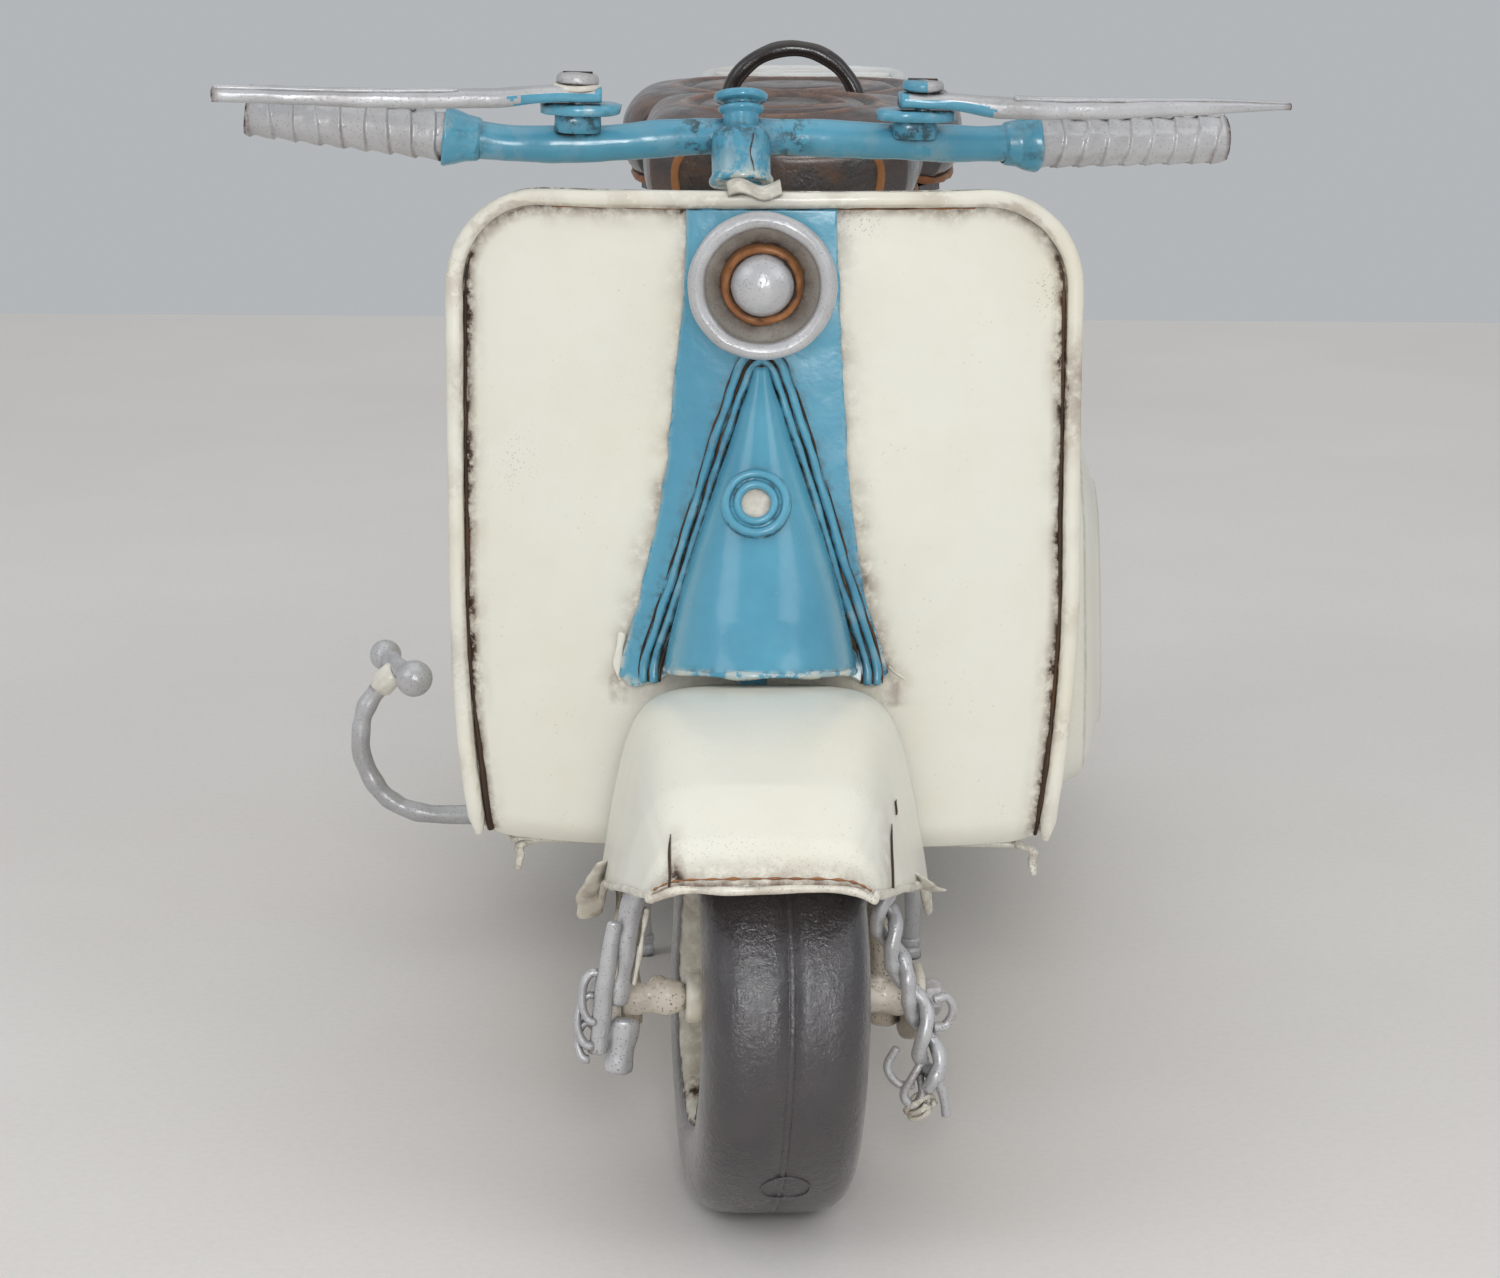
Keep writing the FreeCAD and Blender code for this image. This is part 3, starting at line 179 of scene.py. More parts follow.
def frames_along(pts):
    n = len(pts)
    tans = []
    for i in range(n):
        a, b = pts[max(i - 1, 0)], pts[min(i + 1, n - 1)]
        t = (b - a)
        tans.append(t.normalized() if t.length > 1e-9 else Vector((0, 0, 1)))
    ref = Vector((0, 0, 1)) if abs(tans[0].z) < 0.9 else Vector((0, 1, 0))
    u = tans[0].cross(ref).normalized()
    out = []
    for t in tans:
        u = (u - t * u.dot(t))
        u = u.normalized() if u.length > 1e-9 else t.orthogonal().normalized()
        out.append((t, u, t.cross(u)))
    return out


def tube_geo(pts, radius, segs=14, flat=1.0, wob=0.0, seed=0.0, cap=True, closed=False, section=None):
    """Rod along pts; radius is a number or a function of 0..1."""
    n = len(pts)
    fr = frames_along(pts)
    verts, faces = [], []
    for i, (p, (t, u, w)) in enumerate(zip(pts, fr)):
        s = i / (n - 1)
        r = radius(s) if callable(radius) else radius
        for k in range(segs):
            a = TAU * k / segs
            rr = r * (1 + wob * nz(p + u * math.cos(a) * r + w * math.sin(a) * r, 0.35, seed))
            if section:
                cx, cy = section(a)
            else:
                cx, cy = math.cos(a), math.sin(a) * flat
            verts.append(p + u * cx * rr + w * cy * rr)
    rings = n if closed else n - 1
    for i in range(rings):
        j = (i + 1) % n
        for k in range(segs):
            l = (k + 1) % segs
            faces.append((i * segs + k, i * segs + l, j * segs + l, j * segs + k))
    if cap and not closed:
        for i, sgn in ((0, -1), (n - 1, 1)):
            base = i * segs
            t = fr[i][0]
            r = radius(i / (n - 1)) if callable(radius) else radius
            # small domed end
            ring2 = len(verts)
            for k in range(segs):
                verts.append(pts[i].lerp(verts[base + k], 0.72) + t * sgn * r * 0.22)
            c = len(verts)
            verts.append(pts[i] + t * sgn * r * 0.32)
            for k in range(segs):
                l = (k + 1) % segs
                q = (base + k, base + l, ring2 + l, ring2 + k)
                faces.append(q if sgn > 0 else q[::-1])
                tr = (ring2 + k, ring2 + l, c)
                faces.append(tr if sgn > 0 else tr[::-1])
    return verts, faces


def lathe_geo(profile, origin, direction, segs=72, closed_profile=False, wob=0.0, seed=0.0, squash=None):
    """Turned surface: profile of (distance along direction, radius)."""
    d = Vector(direction).normalized()
    ref = Vector((0, 0, 1)) if abs(d.z) < 0.9 else Vector((0, 1, 0))
    u = d.cross(ref).normalized()
    w = d.cross(u)
    verts, faces = [], []
    n = len(profile)
    for (a, r) in profile:
        for k in range(segs):
            th = TAU * k / segs
            q = origin + d * a + (u * math.cos(th) + w * math.sin(th)) * r
            if wob and r > 1e-6:
                e = nz(q, 0.3, seed) * wob
                q = q + (u * math.cos(th) + w * math.sin(th)) * e + d * nz(q, 0.25, seed + 3) * wob
            verts.append(q)
    last = n if closed_profile else n - 1
    for i in range(last):
        j = (i + 1) % n
        for k in range(segs):
            l = (k + 1) % segs
            faces.append((i * segs + k, j * segs + k, j * segs + l, i * segs + l))
    return verts, faces


def round_profile(pts, r=0.25, steps=3):
    """Rounds the corners of an open (a, r) profile."""
    out = [pts[0]]
    for i in range(1, len(pts) - 1):
        a, b, c = Vector(pts[i - 1]), Vector(pts[i]), Vector(pts[i + 1])
        ab, cb = a - b, c - b
        if ab.length < 1e-6 or cb.length < 1e-6:
            out.append(tuple(b))
            continue
        k = min(r, ab.length * 0.45, cb.length * 0.45)
        p, q = b + ab.normalized() * k, b + cb.normalized() * k
        for s in range(steps + 1):
            t = s / steps
            out.append(tuple((1 - t) ** 2 * p + 2 * t * (1 - t) * b + t * t * q))
    out.append(pts[-1])
    return out


def shell_geo(front, nu, nv, back, attrs_fn=None, closed_u=False):
    """Closed sheet from two grids of points front[j][i], back[j][i] (nv rows, nu columns)."""
    verts, faces = [], []
    for g in (front, back):
        for row in g:
            verts += row
    N = nu * nv

    def idx(g, j, i):
        return g * N + j * nu + (i % nu if closed_u else i)
    cols = nu if closed_u else nu - 1
    for j in range(nv - 1):
        for i in range(cols):
            faces.append((idx(0, j, i), idx(0, j, i + 1), idx(0, j + 1, i + 1), idx(0, j + 1, i)))
            faces.append((idx(1, j, i), idx(1, j + 1, i), idx(1, j + 1, i + 1), idx(1, j, i + 1)))
    for i in range(cols):
        faces.append((idx(0, 0, i), idx(1, 0, i), idx(1, 0, i + 1), idx(0, 0, i + 1)))
        faces.append((idx(0, nv - 1, i), idx(0, nv - 1, i + 1), idx(1, nv - 1, i + 1), idx(1, nv - 1, i)))
    if not closed_u:
        for j in range(nv - 1):
            faces.append((idx(0, j, 0), idx(0, j + 1, 0), idx(1, j + 1, 0), idx(1, j, 0)))
            faces.append((idx(0, j, nu - 1), idx(1, j, nu - 1), idx(1, j + 1, nu - 1), idx(0, j + 1, nu - 1)))
    return verts, faces


# ------------------------------------------------------------------ materials
def lin(c):
    return tuple(((x / 255.0) / 12.92) if x <= 10 else (((x / 255.0) + 0.055) / 1.055) ** 2.4 for x in c) + (1.0,)


class Mat:
    def __init__(self, name):
        self.m = bpy.data.materials.new(name)
        self.m.use_nodes = True
        self.t = self.m.node_tree
        self.t.nodes.clear()
        self.out = self.t.nodes.new("ShaderNodeOutputMaterial")
        self.b = self.t.nodes.new("ShaderNodeBsdfPrincipled")
        self.t.links.new(self.b.outputs[0], self.out.inputs[0])
        tc = self.t.nodes.new("ShaderNodeTexCoord")
        self.co = tc.outputs["Object"]

    def link(self, a, b):
        self.t.links.new(a, b)

    def noise(self, scale, detail=3.0, rough=0.55, dist=0.0, seed=0.0, stretch=None):
        n = self.t.nodes.new("ShaderNodeTexNoise")
        n.inputs["Scale"].default_value = scale
        n.inputs["Detail"].default_value = detail
        n.inputs["Roughness"].default_value = rough
        n.inputs["Distortion"].default_value = dist
        mp = self.t.nodes.new("ShaderNodeMapping")
        mp.inputs["Location"].default_value = (seed, seed * 0.7, -seed)
        if stretch:
            mp.inputs["Scale"].default_value = stretch
        self.link(self.co, mp.inputs[0])
        self.link(mp.outputs[0], n.inputs["Vector"])
        return n.outputs["Fac"]

    def voronoi(self, scale, seed=0.0, out="Distance"):
        n = self.t.nodes.new("ShaderNodeTexVoronoi")
        n.inputs["Scale"].default_value = scale
        mp = self.t.nodes.new("ShaderNodeMapping")
        mp.inputs["Location"].default_value = (seed, seed, seed)
        self.link(self.co, mp.inputs[0])
        self.link(mp.outputs[0], n.inputs["Vector"])
        return n.outputs[out]

    def ramp(self, v, lo, hi, a=0.0, b=1.0):
        n = self.t.nodes.new("ShaderNodeMapRange")
        n.interpolation_type = "SMOOTHSTEP"
        n.inputs["From Min"].default_value = lo
        n.inputs["From Max"].default_value = hi
        n.inputs["To Min"].default_value = a
        n.inputs["To Max"].default_value = b
        self.link(v, n.inputs[0])
        return n.outputs[0]

    def math(self, op, a, b=None, clamp=False):
        n = self.t.nodes.new("ShaderNodeMath")
        n.operation = op
        n.use_clamp = clamp
        for i, x in enumerate((a, b)):
            if x is None:
                continue
            if isinstance(x, (int, float)):
                n.inputs[i].default_value = x
            else:
                self.link(x, n.inputs[i])
        return n.outputs[0]

    def mul(self, a, b):
        return self.math("MULTIPLY", a, b)

    def add(self, a, b, clamp=True):
        return self.math("ADD", a, b, clamp)

    def mix(self, f, a, b):
        n = self.t.nodes.new("ShaderNodeMix")
        n.data_type = "RGBA"
        if isinstance(f, (int, float)):
            n.inputs[0].default_value = f
        else:
            self.link(f, n.inputs[0])
        for s, x in ((6, a), (7, b)):
            if isinstance(x, tuple):
                n.inputs[s].default_value = x
            else:
                self.link(x, n.inputs[s])
        return n.outputs[2]

    def attr(self, name):
        n = self.t.nodes.new("ShaderNodeAttribute")
        n.attribute_name = name
        return n.outputs["Fac"]

    def ao(self, dist):
        n = self.t.nodes.new("ShaderNodeAmbientOcclusion")
        n.samples = 6
        n.inputs["Distance"].default_value = dist
        return n.outputs["AO"]

    def geo(self, out):
        n = self.t.nodes.new("ShaderNodeNewGeometry")
        return n.outputs[out]

    def bump(self, h, strength=0.3, dist=0.0002, base=None):
        n = self.t.nodes.new("ShaderNodeBump")
        n.inputs["Strength"].default_value = strength
        n.inputs["Distance"].default_value = dist
        self.link(h, n.inputs["Height"])
        if base is not None:
            self.link(base, n.inputs["Normal"])
        return n.outputs[0]

    def sep(self, v):
        n = self.t.nodes.new("ShaderNodeSeparateXYZ")
        self.link(v, n.inputs[0])
        return n.outputs


RUST = lin((98, 56, 22))
RUST_DK = lin((48, 30, 16))
# dark colour for dirt and for painted shade in hollows, grooves and joints
GRIME_AND_SHADE = lin((40, 38, 34))


def paint(name, base, tint, rough=0.28, shade_and_grime_amt=1.0, rust_amt=1.0, speck=0.35, speck_col=RUST, ao_d=0.0022, bare=None, bare_amt=0.0,
          orange=0.25, ao_lo=0.35, ao_hi=0.8, metallic=0.0, under=None):
    """Brushed gloss enamel on tinplate: uneven colour, pits, brown seams, hollows darkened by painted shade and dirt,
    chips.
    """
    k = Mat(name)
    big = k.noise(45.0, 4.0, 0.6)
    mid = k.noise(260.0, 4.0, 0.6, seed=3.1)
    fine = k.noise(1500.0, 3.0, 0.6, seed=7.7)
    col = k.mix(k.ramp(big, 0.35, 0.7), base, tint)
    col = k.mix(k.mul(k.ramp(mid, 0.5, 0.75), 0.35), col, tint)
    # seams: rust stain that the piece itself carries, and hollows found from the shape by ambient occlusion, darkened
    # as painted shade with dirt
    rust_a = k.attr("rust")
    hollow_shade_and_dirt = k.ramp(k.ao(ao_d), ao_hi, ao_lo)
    hollow_shade_and_dirt = k.mul(hollow_shade_and_dirt, k.ramp(k.noise(420.0, 4.0, 0.65, seed=1.7), 0.30, 0.62))
    stain = k.mul(rust_a, k.ramp(k.noise(520.0, 5.0, 0.7, seed=5.3), 0.25, 0.62))
    halo = k.mix(k.math("MINIMUM", k.mul(stain, 0.9 * rust_amt), 1.0), col, RUST)
    deep = k.mul(k.ramp(stain, 0.55, 0.95), rust_amt)
    col = k.mix(deep, halo, RUST_DK)
    # painted shade with dirt: the occlusion mask darkens hollows towards the dark colour
    col = k.mix(k.math("MINIMUM", k.mul(hollow_shade_and_dirt, shade_and_grime_amt), 1.0), col, GRIME_AND_SHADE)
    # small pits and specks, in patches
    vd = k.voronoi(900.0, 2.2)
    spots = k.mul(k.ramp(vd, 0.16, 0.05), k.ramp(k.noise(160.0, 3.0, 0.6, seed=9.1), 0.52, 0.66))
    vd2 = k.voronoi(2300.0, 4.4)
    spots2 = k.mul(k.ramp(vd2, 0.22, 0.10), k.ramp(k.noise(240.0, 3.0, 0.6, seed=12.1), 0.55, 0.7))
    spot = k.math("MAXIMUM", spots, k.mul(spots2, 0.8))
    spot = k.math("MINIMUM", k.add(k.mul(spot, speck), k.mul(k.mul(k.ramp(vd2, 0.30, 0.12), k.attr("speck")), 0.9)), 1.0)
    col = k.mix(spot, col, speck_col)
    if bare is not None:
        edge = k.attr("chip")
        worn = k.mul(edge, k.ramp(k.noise(380.0, 5.0, 0.7, seed=21.0), 0.42, 0.52))
        col = k.mix(worn, col, bare)
    # per-vertex mask: dirt, and painted shade that pieces set at joints, in grooves and under parts
    g = k.attr("grime")
    gm = k.mul(g, k.ramp(k.noise(650.0, 6.0, 0.75, seed=31.0), 0.47, 0.58))
    col = k.mix(k.math("MINIMUM", k.mul(gm, shade_and_grime_amt), 1.0), col, GRIME_AND_SHADE)
    k.link(col, k.b.inputs["Base Color"])
    r = k.add(k.mul(mid, 0.18), k.mul(k.math("MAXIMUM", k.math("MAXIMUM", stain, spot), gm), 0.45))
    r = k.add(r, rough - 0.09)
    k.link(r, k.b.inputs["Roughness"])
    k.b.inputs["Metallic"].default_value = metallic
    k.b.inputs["Coat Weight"].default_value = 0.25 if metallic == 0 else 0.0
    k.b.inputs["Coat Roughness"].default_value = 0.12
    h = k.add(k.mul(k.noise(700.0, 3.0, 0.5, seed=15.0), 0.6), k.mul(fine, 0.22), False)
    h = k.math("SUBTRACT", h, k.mul(k.math("MAXIMUM", spot, stain), 0.5))
    n1 = k.bump(k.noise(120.0, 2.0, 0.5, seed=40.0), 0.35, 0.0006)
    k.link(k.bump(h, orange, 0.00022, n1), k.b.inputs["Normal"])
    return k.m


CREAM = paint("cream_enamel", lin((233, 231, 219)), lin((230, 226, 209)), 0.36, 0.75, 1.0, 0.22, bare=lin((96, 62, 36)), ao_d=0.0016)
CREAM_BEAD = paint("cream_bead", lin((234, 231, 219)), lin((227, 221, 203)), 0.38, 0.8, 1.0, 0.35, bare=lin((120, 84, 44)), ao_d=0.0012)
BLUE = paint("blue_enamel", lin((92, 164, 190)), lin((78, 148, 176)), 0.24, 1.0, 0.6, 0.25, speck_col=lin((26, 44, 50)), bare=lin((222, 216, 198)),
             ao_d=0.0022, orange=0.3)
SILVER = paint("silver_paint", lin((200, 200, 202)), lin((177, 177, 179)), 0.36, 0.8, 1.0, 0.30, speck_col=lin((92, 78, 60)), metallic=0.35,
               bare=lin((128, 92, 52)), orange=0.7)
LAMP_FACE = paint("lamp_face_paint", lin((160, 156, 148)), lin((140, 136, 128)), 0.42, 0.6, 1.0, 0.35, speck_col=lin((96, 82, 66)), metallic=0.25, orange=0.5)
SPECKLED = paint("speckled_paint", lin((226, 218, 205)), lin((206, 194, 176)), 0.55, 0.9, 1.0, 1.0, speck_col=lin((74, 58, 48)), bare=lin((110, 78, 46)),
                 orange=1.0)
BLACK = paint("black_enamel", lin((50, 44, 43)), lin((38, 34, 34)), 0.24, 0.4, 0.4, 0.2, speck_col=lin((110, 100, 92)), orange=0.6)
WHITE = paint("white_enamel", lin((226, 227, 226)), lin((212, 212, 208)), 0.32, 0.7, 0.8, 0.3, orange=0.3)
DARK = paint("dark_paint", lin((70, 66, 62)), lin((54, 50, 47)), 0.45, 0.6, 1.0, 0.5, speck_col=lin((104, 70, 40)), metallic=0.2, orange=0.6)
RUSTY = paint("rusty_ring", lin((168, 112, 62)), lin((120, 66, 30)), 0.6, 0.9, 1.0, 0.9, speck_col=lin((62, 30, 16)), orange=1.0)
# dark brown fill laid into seams, splits, slots and open ends: painted shade in the gaps, with rust and grime
GAP = paint("seam_shade_and_grime", lin((46, 32, 20)), lin((86, 56, 26)), 0.8, 0.2, 1.0, 0.8, speck_col=lin((120, 88, 44)), orange=1.0)
RED = paint("red_lens_paint", lin((150, 24, 22)), lin((120, 14, 14)), 0.14, 0.4, 0.4, 0.1, orange=0.1)


def tyre_mat():
    k = Mat("tyre_rubber")
    a = k.noise(60.0, 4.0, 0.6)
    b = k.noise(900.0, 4.0, 0.65, seed=4.0)
    c = k.noise(3200.0, 3.0, 0.7, seed=8.0)
    col = k.mix(k.ramp(a, 0.35, 0.7), lin((56, 51, 54)), lin((46, 42, 45)))
    dust = k.mul(k.ramp(k.noise(190.0, 5.0, 0.7, seed=2.0), 0.5, 0.78), 0.16)
    col = k.mix(dust, col, lin((90, 84, 82)))
    k.link(col, k.b.inputs["Base Color"])
    # the tread is polished in patches and dull in others
    r = k.ramp(k.noise(140.0, 4.0, 0.6, seed=6.0), 0.35, 0.7, 0.20, 0.36)
    k.link(k.add(r, k.mul(c, 0.08)), k.b.inputs["Roughness"])
    k.b.inputs["Coat Weight"].default_value = 1.0
    k.b.inputs["Coat Roughness"].default_value = 0.13
    n1 = k.bump(k.noise(380.0, 3.0, 0.6, seed=1.0, stretch=(1.0, 0.35, 0.35)), 0.5, 0.0003)
    h = k.add(k.mul(b, 0.7), k.mul(c, 0.3), False)
    hn = k.bump(h, 0.8, 0.0003, n1)
    k.link(hn, k.b.inputs["Normal"])
    k.link(hn, k.b.inputs["Coat Normal"])
    return k.m


TYRE = tyre_mat()


def seat_mat():
    k = Mat("seat_enamel")
    big = k.noise(70.0, 4.0, 0.65)
    mid = k.noise(320.0, 5.0, 0.7, seed=3.0)
    top = k.ramp(k.sep(k.geo("Normal"))[2], 0.25, 0.8)
    brown = k.mix(k.ramp(mid, 0.42, 0.66), lin((74, 50, 43)), lin((50, 34, 30)))
    side = k.mix(k.ramp(big, 0.40, 0.66), lin((67, 59, 58)), lin((45, 42, 42)))
    side = k.mix(k.mul(k.ramp(mid, 0.56, 0.72), 0.8), side, lin((98, 61, 38)))
    col = k.mix(top, side, brown)
    # lighter copper on the raised ridges and in rubbed patches: painted highlight and wear
    rubbed_and_ridge_highlight = k.mul(k.attr("chip"), k.ramp(k.noise(420.0, 5.0, 0.7, seed=7.0), 0.35, 0.55))
    col = k.mix(rubbed_and_ridge_highlight, col, lin((141, 94, 59)))
    # dark in the grooves, along the lower edge and underneath: painted shade with dirt
    g = k.mul(k.attr("grime"), 0.85)
    col = k.mix(g, col, lin((27, 21, 19)))
    k.link(col, k.b.inputs["Base Color"])
    k.link(k.ramp(mid, 0.3, 0.7, 0.20, 0.42), k.b.inputs["Roughness"])
    k.b.inputs["Coat Weight"].default_value = 0.4
    k.b.inputs["Coat Roughness"].default_value = 0.15
    n1 = k.bump(k.noise(160.0, 3.0, 0.5, seed=1.0), 0.5, 0.0006)
    k.link(k.bump(k.noise(1100.0, 4.0, 0.6, seed=9.0), 0.45, 0.00025, n1), k.b.inputs["Normal"])
    return k.m


SEAT = seat_mat()


# ------------------------------------------------------------------ leg shield
def half_w(z):
    f = min(1.0, max(0.0, (z - 36.0) / 34.0))
    x = 38.0 + 3.0 * (1 - (1 - f) ** 2)
    if z > 108.5:
        x = 28.0 + math.sqrt(max(0.0, 169.0 - (z - 108.5) ** 2))
    return x


def panel_half(z):
    x = half_w(z) - 0.15
    if z < 39.4:
        x -= 6.5 * (1 - math.sqrt(max(0.0, 1 - ((39.4 - z) / 3.45) ** 2)))
    return x


LEFT_EDGE = [(57.5, -18.9), (59.2, -18.3), (69.0, -15.8), (84.0, -12.6), (97.0, -11.2), (110.0, -9.9), (119.4, -9.6)]
RIGHT_EDGE = [(57.5, 17.0), (60.4, 16.2), (69.0, 13.6), (84.0, 11.4), (97.0, 10.6), (110.0, 9.8), (119.4, 9.6)]


def panel_dent(x, z):
    d = 0.16 * nz((x, 0, z), 0.045, 1) + 0.05 * nz((x, 0, z), 0.16, 2)
    if z < 39.5:
        d += 0.16 * (39.5 - z) ** 2 * 0.9
    return d


def bump_at(x, z, cx, cz, rx, rz, h):
    return h * math.exp(-((x - cx) / rx) ** 2 - ((z - cz) / rz) ** 2)


def build_shield():
    zs = [36.0 + 3.4 * (1 - math.cos(math.pi / 2 * k / 16.0)) for k in range(16)]
    zs += [39.4 + (108.5 - 39.4) * k / 112.0 for k in range(112)]
    zs += [108.5 + 13.0 * math.sin(math.pi / 2 * k / 34.0) for k in range(35)]
    nu = 170
    F, Bk = [], []
    rust, speck, chip, grime = [], [], [], []
    for z in zs:
        h = panel_half(z)
        rf, rb = [], []
        for i in range(nu):
            u = 2 * i / (nu - 1) - 1
            u = math.sin(u * 1.35) / math.sin(1.35)
            x = u * h
            d = panel_dent(x, z)
            # shallow knocks near the right edge and on the left
            d += bump_at(x, z, 36.5, 103, 2.0, 2.5, -0.25) + bump_at(x, z, -30, 80, 7, 8, 0.15)
            rf.append(P(x, shield_v(x, z) + d, z))
            rb.append(P(x, shield_v(x, z) + d + 0.62, z))
            edge = min(half_w(z) - abs(x), 121.5 - z + 0.0)
            # distance to the corner arc
            if z > 108.5 and abs(x) > 28:
                edge = 13.0 - math.hypot(abs(x) - 28.0, z - 108.5)
            r = 0.0
            side = abs(x) > 20 and z > 37
            if edge < 5.5:
                s = max(0.0, 1 - abs(edge - 2.45) / (1.5 if side else 1.0))
                r = s * (0.95 if side and z < 113 else 0.62)
                r += 0.30 * max(0.0, 1 - abs(edge - 3.2) / 2.2) * max(0.0, 0.5 + 1.2 * nz((x, 0, z), 0.22, 5))
            # brown halo round the blue plate
            xl, xr = table(LEFT_EDGE, z)[0], table(RIGHT_EDGE, z)[0]
            if z > 55:
                dd = max(xl - x, x - xr)
                if dd > -1.5:
                    w = max(0.0, 1 - abs(dd - 0.4) / 3.8)
                    r += 0.58 * w * w * (1.0 if z < 85 else 0.55) * max(0.0, 0.7 + nz((x, 0, z), 0.3, 7))
                if 55 < z < 64 and dd < 1.0:
                    r += 0.3 * max(0.0, 1 - abs(z - 58.0) / 4.0)
            rust.append(min(1.0, r))
            sp = math.exp(-((x + 32) / 2.6) ** 2 - ((z - 86) / 3.6) ** 2) * 0.45 + 0.8 * math.exp(-((x - 36.5) / 1.6) ** 2 - ((z - 108) / 2.6) ** 2)
            sp += 0.55 * math.exp(-((x - 12.5) / 3.0) ** 2 - ((z - 117.5) / 2.0) ** 2)
            speck.append(min(1.0, sp))
            chip.append(max(0.0, 1 - edge / 0.8) * 0.9)
            grime.append(0.0)
        F.append(rf)
        Bk.append(rb)
    nv = len(zs)
    v, f = shell_geo(F, nu, nv, Bk)
    b = Builder()
    n = len(rust)
    b.add(v, f, rust=rust + [0.12] * n, speck=speck + [0.2] * n, chip=chip + [0.0] * n)
    ob = b.build("leg_shield_panel", CREAM, "chassis", slot="cream_paint")
    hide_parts("leg_shield")


build_shield()


def bead_path(inset, lift, wob=0.0, seed=0.0, z0=36.6, n=140):
    pts = []
    side = []
    zs = [lerp(z0, 108.5, k / 60.0) for k in range(61)]
    for z in zs:
        side.append((half_w(z) - inset, z))
    for k in range(1, 24):
        a = math.pi / 2 * k / 24.0
        side.append((28.0 + (13.0 - inset) * math.cos(a), 108.5 + (13.0 - inset) * math.sin(a)))
    top = [(lerp(28.0, 0.0, k / 24.0), 121.5 - inset) for k in range(24)]
    half = side + top
    full = [(-x, z) for x, z in half] + [(0.0, 121.5 - inset)] + [(x, z) for x, z in reversed(half)]
    for x, z in full:
        o = wob * nz((x, 3.0, z), 0.045, seed)
        pts.append(P(x + o * (1 if x > 0 else -1), shield_v(x, z) - lift + wob * 0.5 * nz((x, 1.0, z), 0.06, seed + 1), z + (o if abs(x) < 30 else 0)))
    return pts


bp = bead_path(0.95, 0.95, 0.20, 2.0)
v, f = tube_geo(bp, lambda s: (1.10 + 0.06 * math.sin(s * 31)) * min(1.0, 0.45 + min(s, 1 - s) * 60), 18, flat=0.92, wob=0.07, seed=3.0)
b = Builder()
rz = []
for p in v:
    t = max(0.0, nz(p, 0.08, 11) * 1.5)
    inner = 1.0 if abs(p[0]) < half_w(min(max(p[2], 36.1), 121.4)) - 1.75 and p[2] < 119.9 else 0.0
    rz.append(min(1.0, 0.55 * t + 0.35 * inner))
b.add(v, f, rust=rz, chip=[0.5 * max(0.0, nz(p, 0.15, 14)) for p in v])
ob = b.build("shield_rolled_bead", CREAM_BEAD, "chassis", slot="cream_paint")
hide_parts("shield_bead")

# the open seam behind the bead, brown-black, of uneven width, on both sides and faintly along the top; the side strips
# are painted shade in the gap, with rust
for nm, sgn in (("left", 1), ("right", -1)):
    pts, ws = [], []
    for k in range(150):
        z = lerp(37.0, 112.5, k / 149.0)
        edge = 2.35 + 0.25 * nz((sgn * 9, 0, z), 0.07, 4)
        if z > 108.5:
            a = math.asin(min(1.0, (z - 108.5) / (13.0 - edge)))
            x = 28 + (13 - edge) * math.cos(a)
        else:
            x = half_w(z) - edge
        x *= sgn
        w = 0.20 + 0.22 * max(0.0, nz((sgn * 4, 0, z), 0.13, 8) + 0.25)
        w *= 1.0 - 0.7 * max(0.0, (z - 104) / 9.0)
        w *= 1.0 + 0.5 * max(0.0, (56.0 - z) / 19.0)
        pts.append(P(x, shield_v(x, z) + panel_dent(x, z) - 0.10, z))
        ws.append(max(0.08, w))
    v, f = tube_geo(pts, lambda s, ws=ws: ws[min(int(s * 149), 149)], 8, wob=0.5, seed=6 + sgn, cap=False)
    ob = make("shield_seam_" + nm, v, f, GAP, "chassis")
v, f = tube_geo([P(x, shield_v(x, 119.2) - 0.02 + 0.0, 119.25 + 0.12 * nz((x, 0, 0), 0.3, 3)) for x in [lerp(-27, 27, k / 60.0) for k in range(61)]],
                lambda s: 0.13 + 0.05 * math.sin(s * 70), 6, wob=0.6, seed=2.5)
make("shield_seam_top", v, f, RUSTY, "chassis")

# small cream tongue where the column passes the top edge; the path of a curled chip beside the blue plate is laid out
# but not built
v, f = shell_geo([[P(lerp(-4.6, 2.2, i / 20.0) + 0.4 * (1 - j / 10.0), 34.9 + 3.4 * j / 10.0, 121.6 + 1.1 * math.sin(math.pi * j / 20.0) + 0.5 * math.sin(i * 0.35)) for i in range(21)] for j in range(11)],
                 21, 11, [[P(lerp(-4.6, 2.2, i / 20.0) + 0.4 * (1 - j / 10.0), 35.1 + 3.4 * j / 10.0, 121.1 + 1.1 * math.sin(math.pi * j / 20.0) + 0.5 * math.sin(i * 0.35)) for i in range(21)] for j in range(11)])
Builder().add(v, f, rust=[0.45] * len(v)).build("column_tongue", CREAM_BEAD, "chassis", slot="cream_paint")
pts = [P(12.2 + 1.35 * math.cos(a), shield_v(12, 117.6) - 0.12, 117.6 + 0.8 * math.sin(a)) for a in [math.radians(25 + 290 * k / 30.0) for k in range(31)]]
v, f = tube_geo(pts, lambda s: 0.10 + 0.09 * math.sin(s * math.pi), 6)


# ------------------------------------------------------------------ blue plate, cone and piping
def plate_bottom(u):
    return table([(-1.0, 59.0), (-0.86, 57.9), (-0.7, 58.7), (-0.55, 60.1), (0.0, 60.4), (0.6, 60.2), (0.74, 59.0), (0.88, 58.2), (1.0, 59.9)], u)[0] + 0.12 * nz((u * 30, 0, 0), 0.4, 3)


def plate_front(x, z):
    curl = 0.9 * max(0.0, 1 - (z - 58.0) / 4.0) ** 2 * min(1.0, abs(x) / 16.0)
    return shield_v(x, z) - 0.88 - curl - 0.10 * nz((x, 0, z), 0.2, 21)


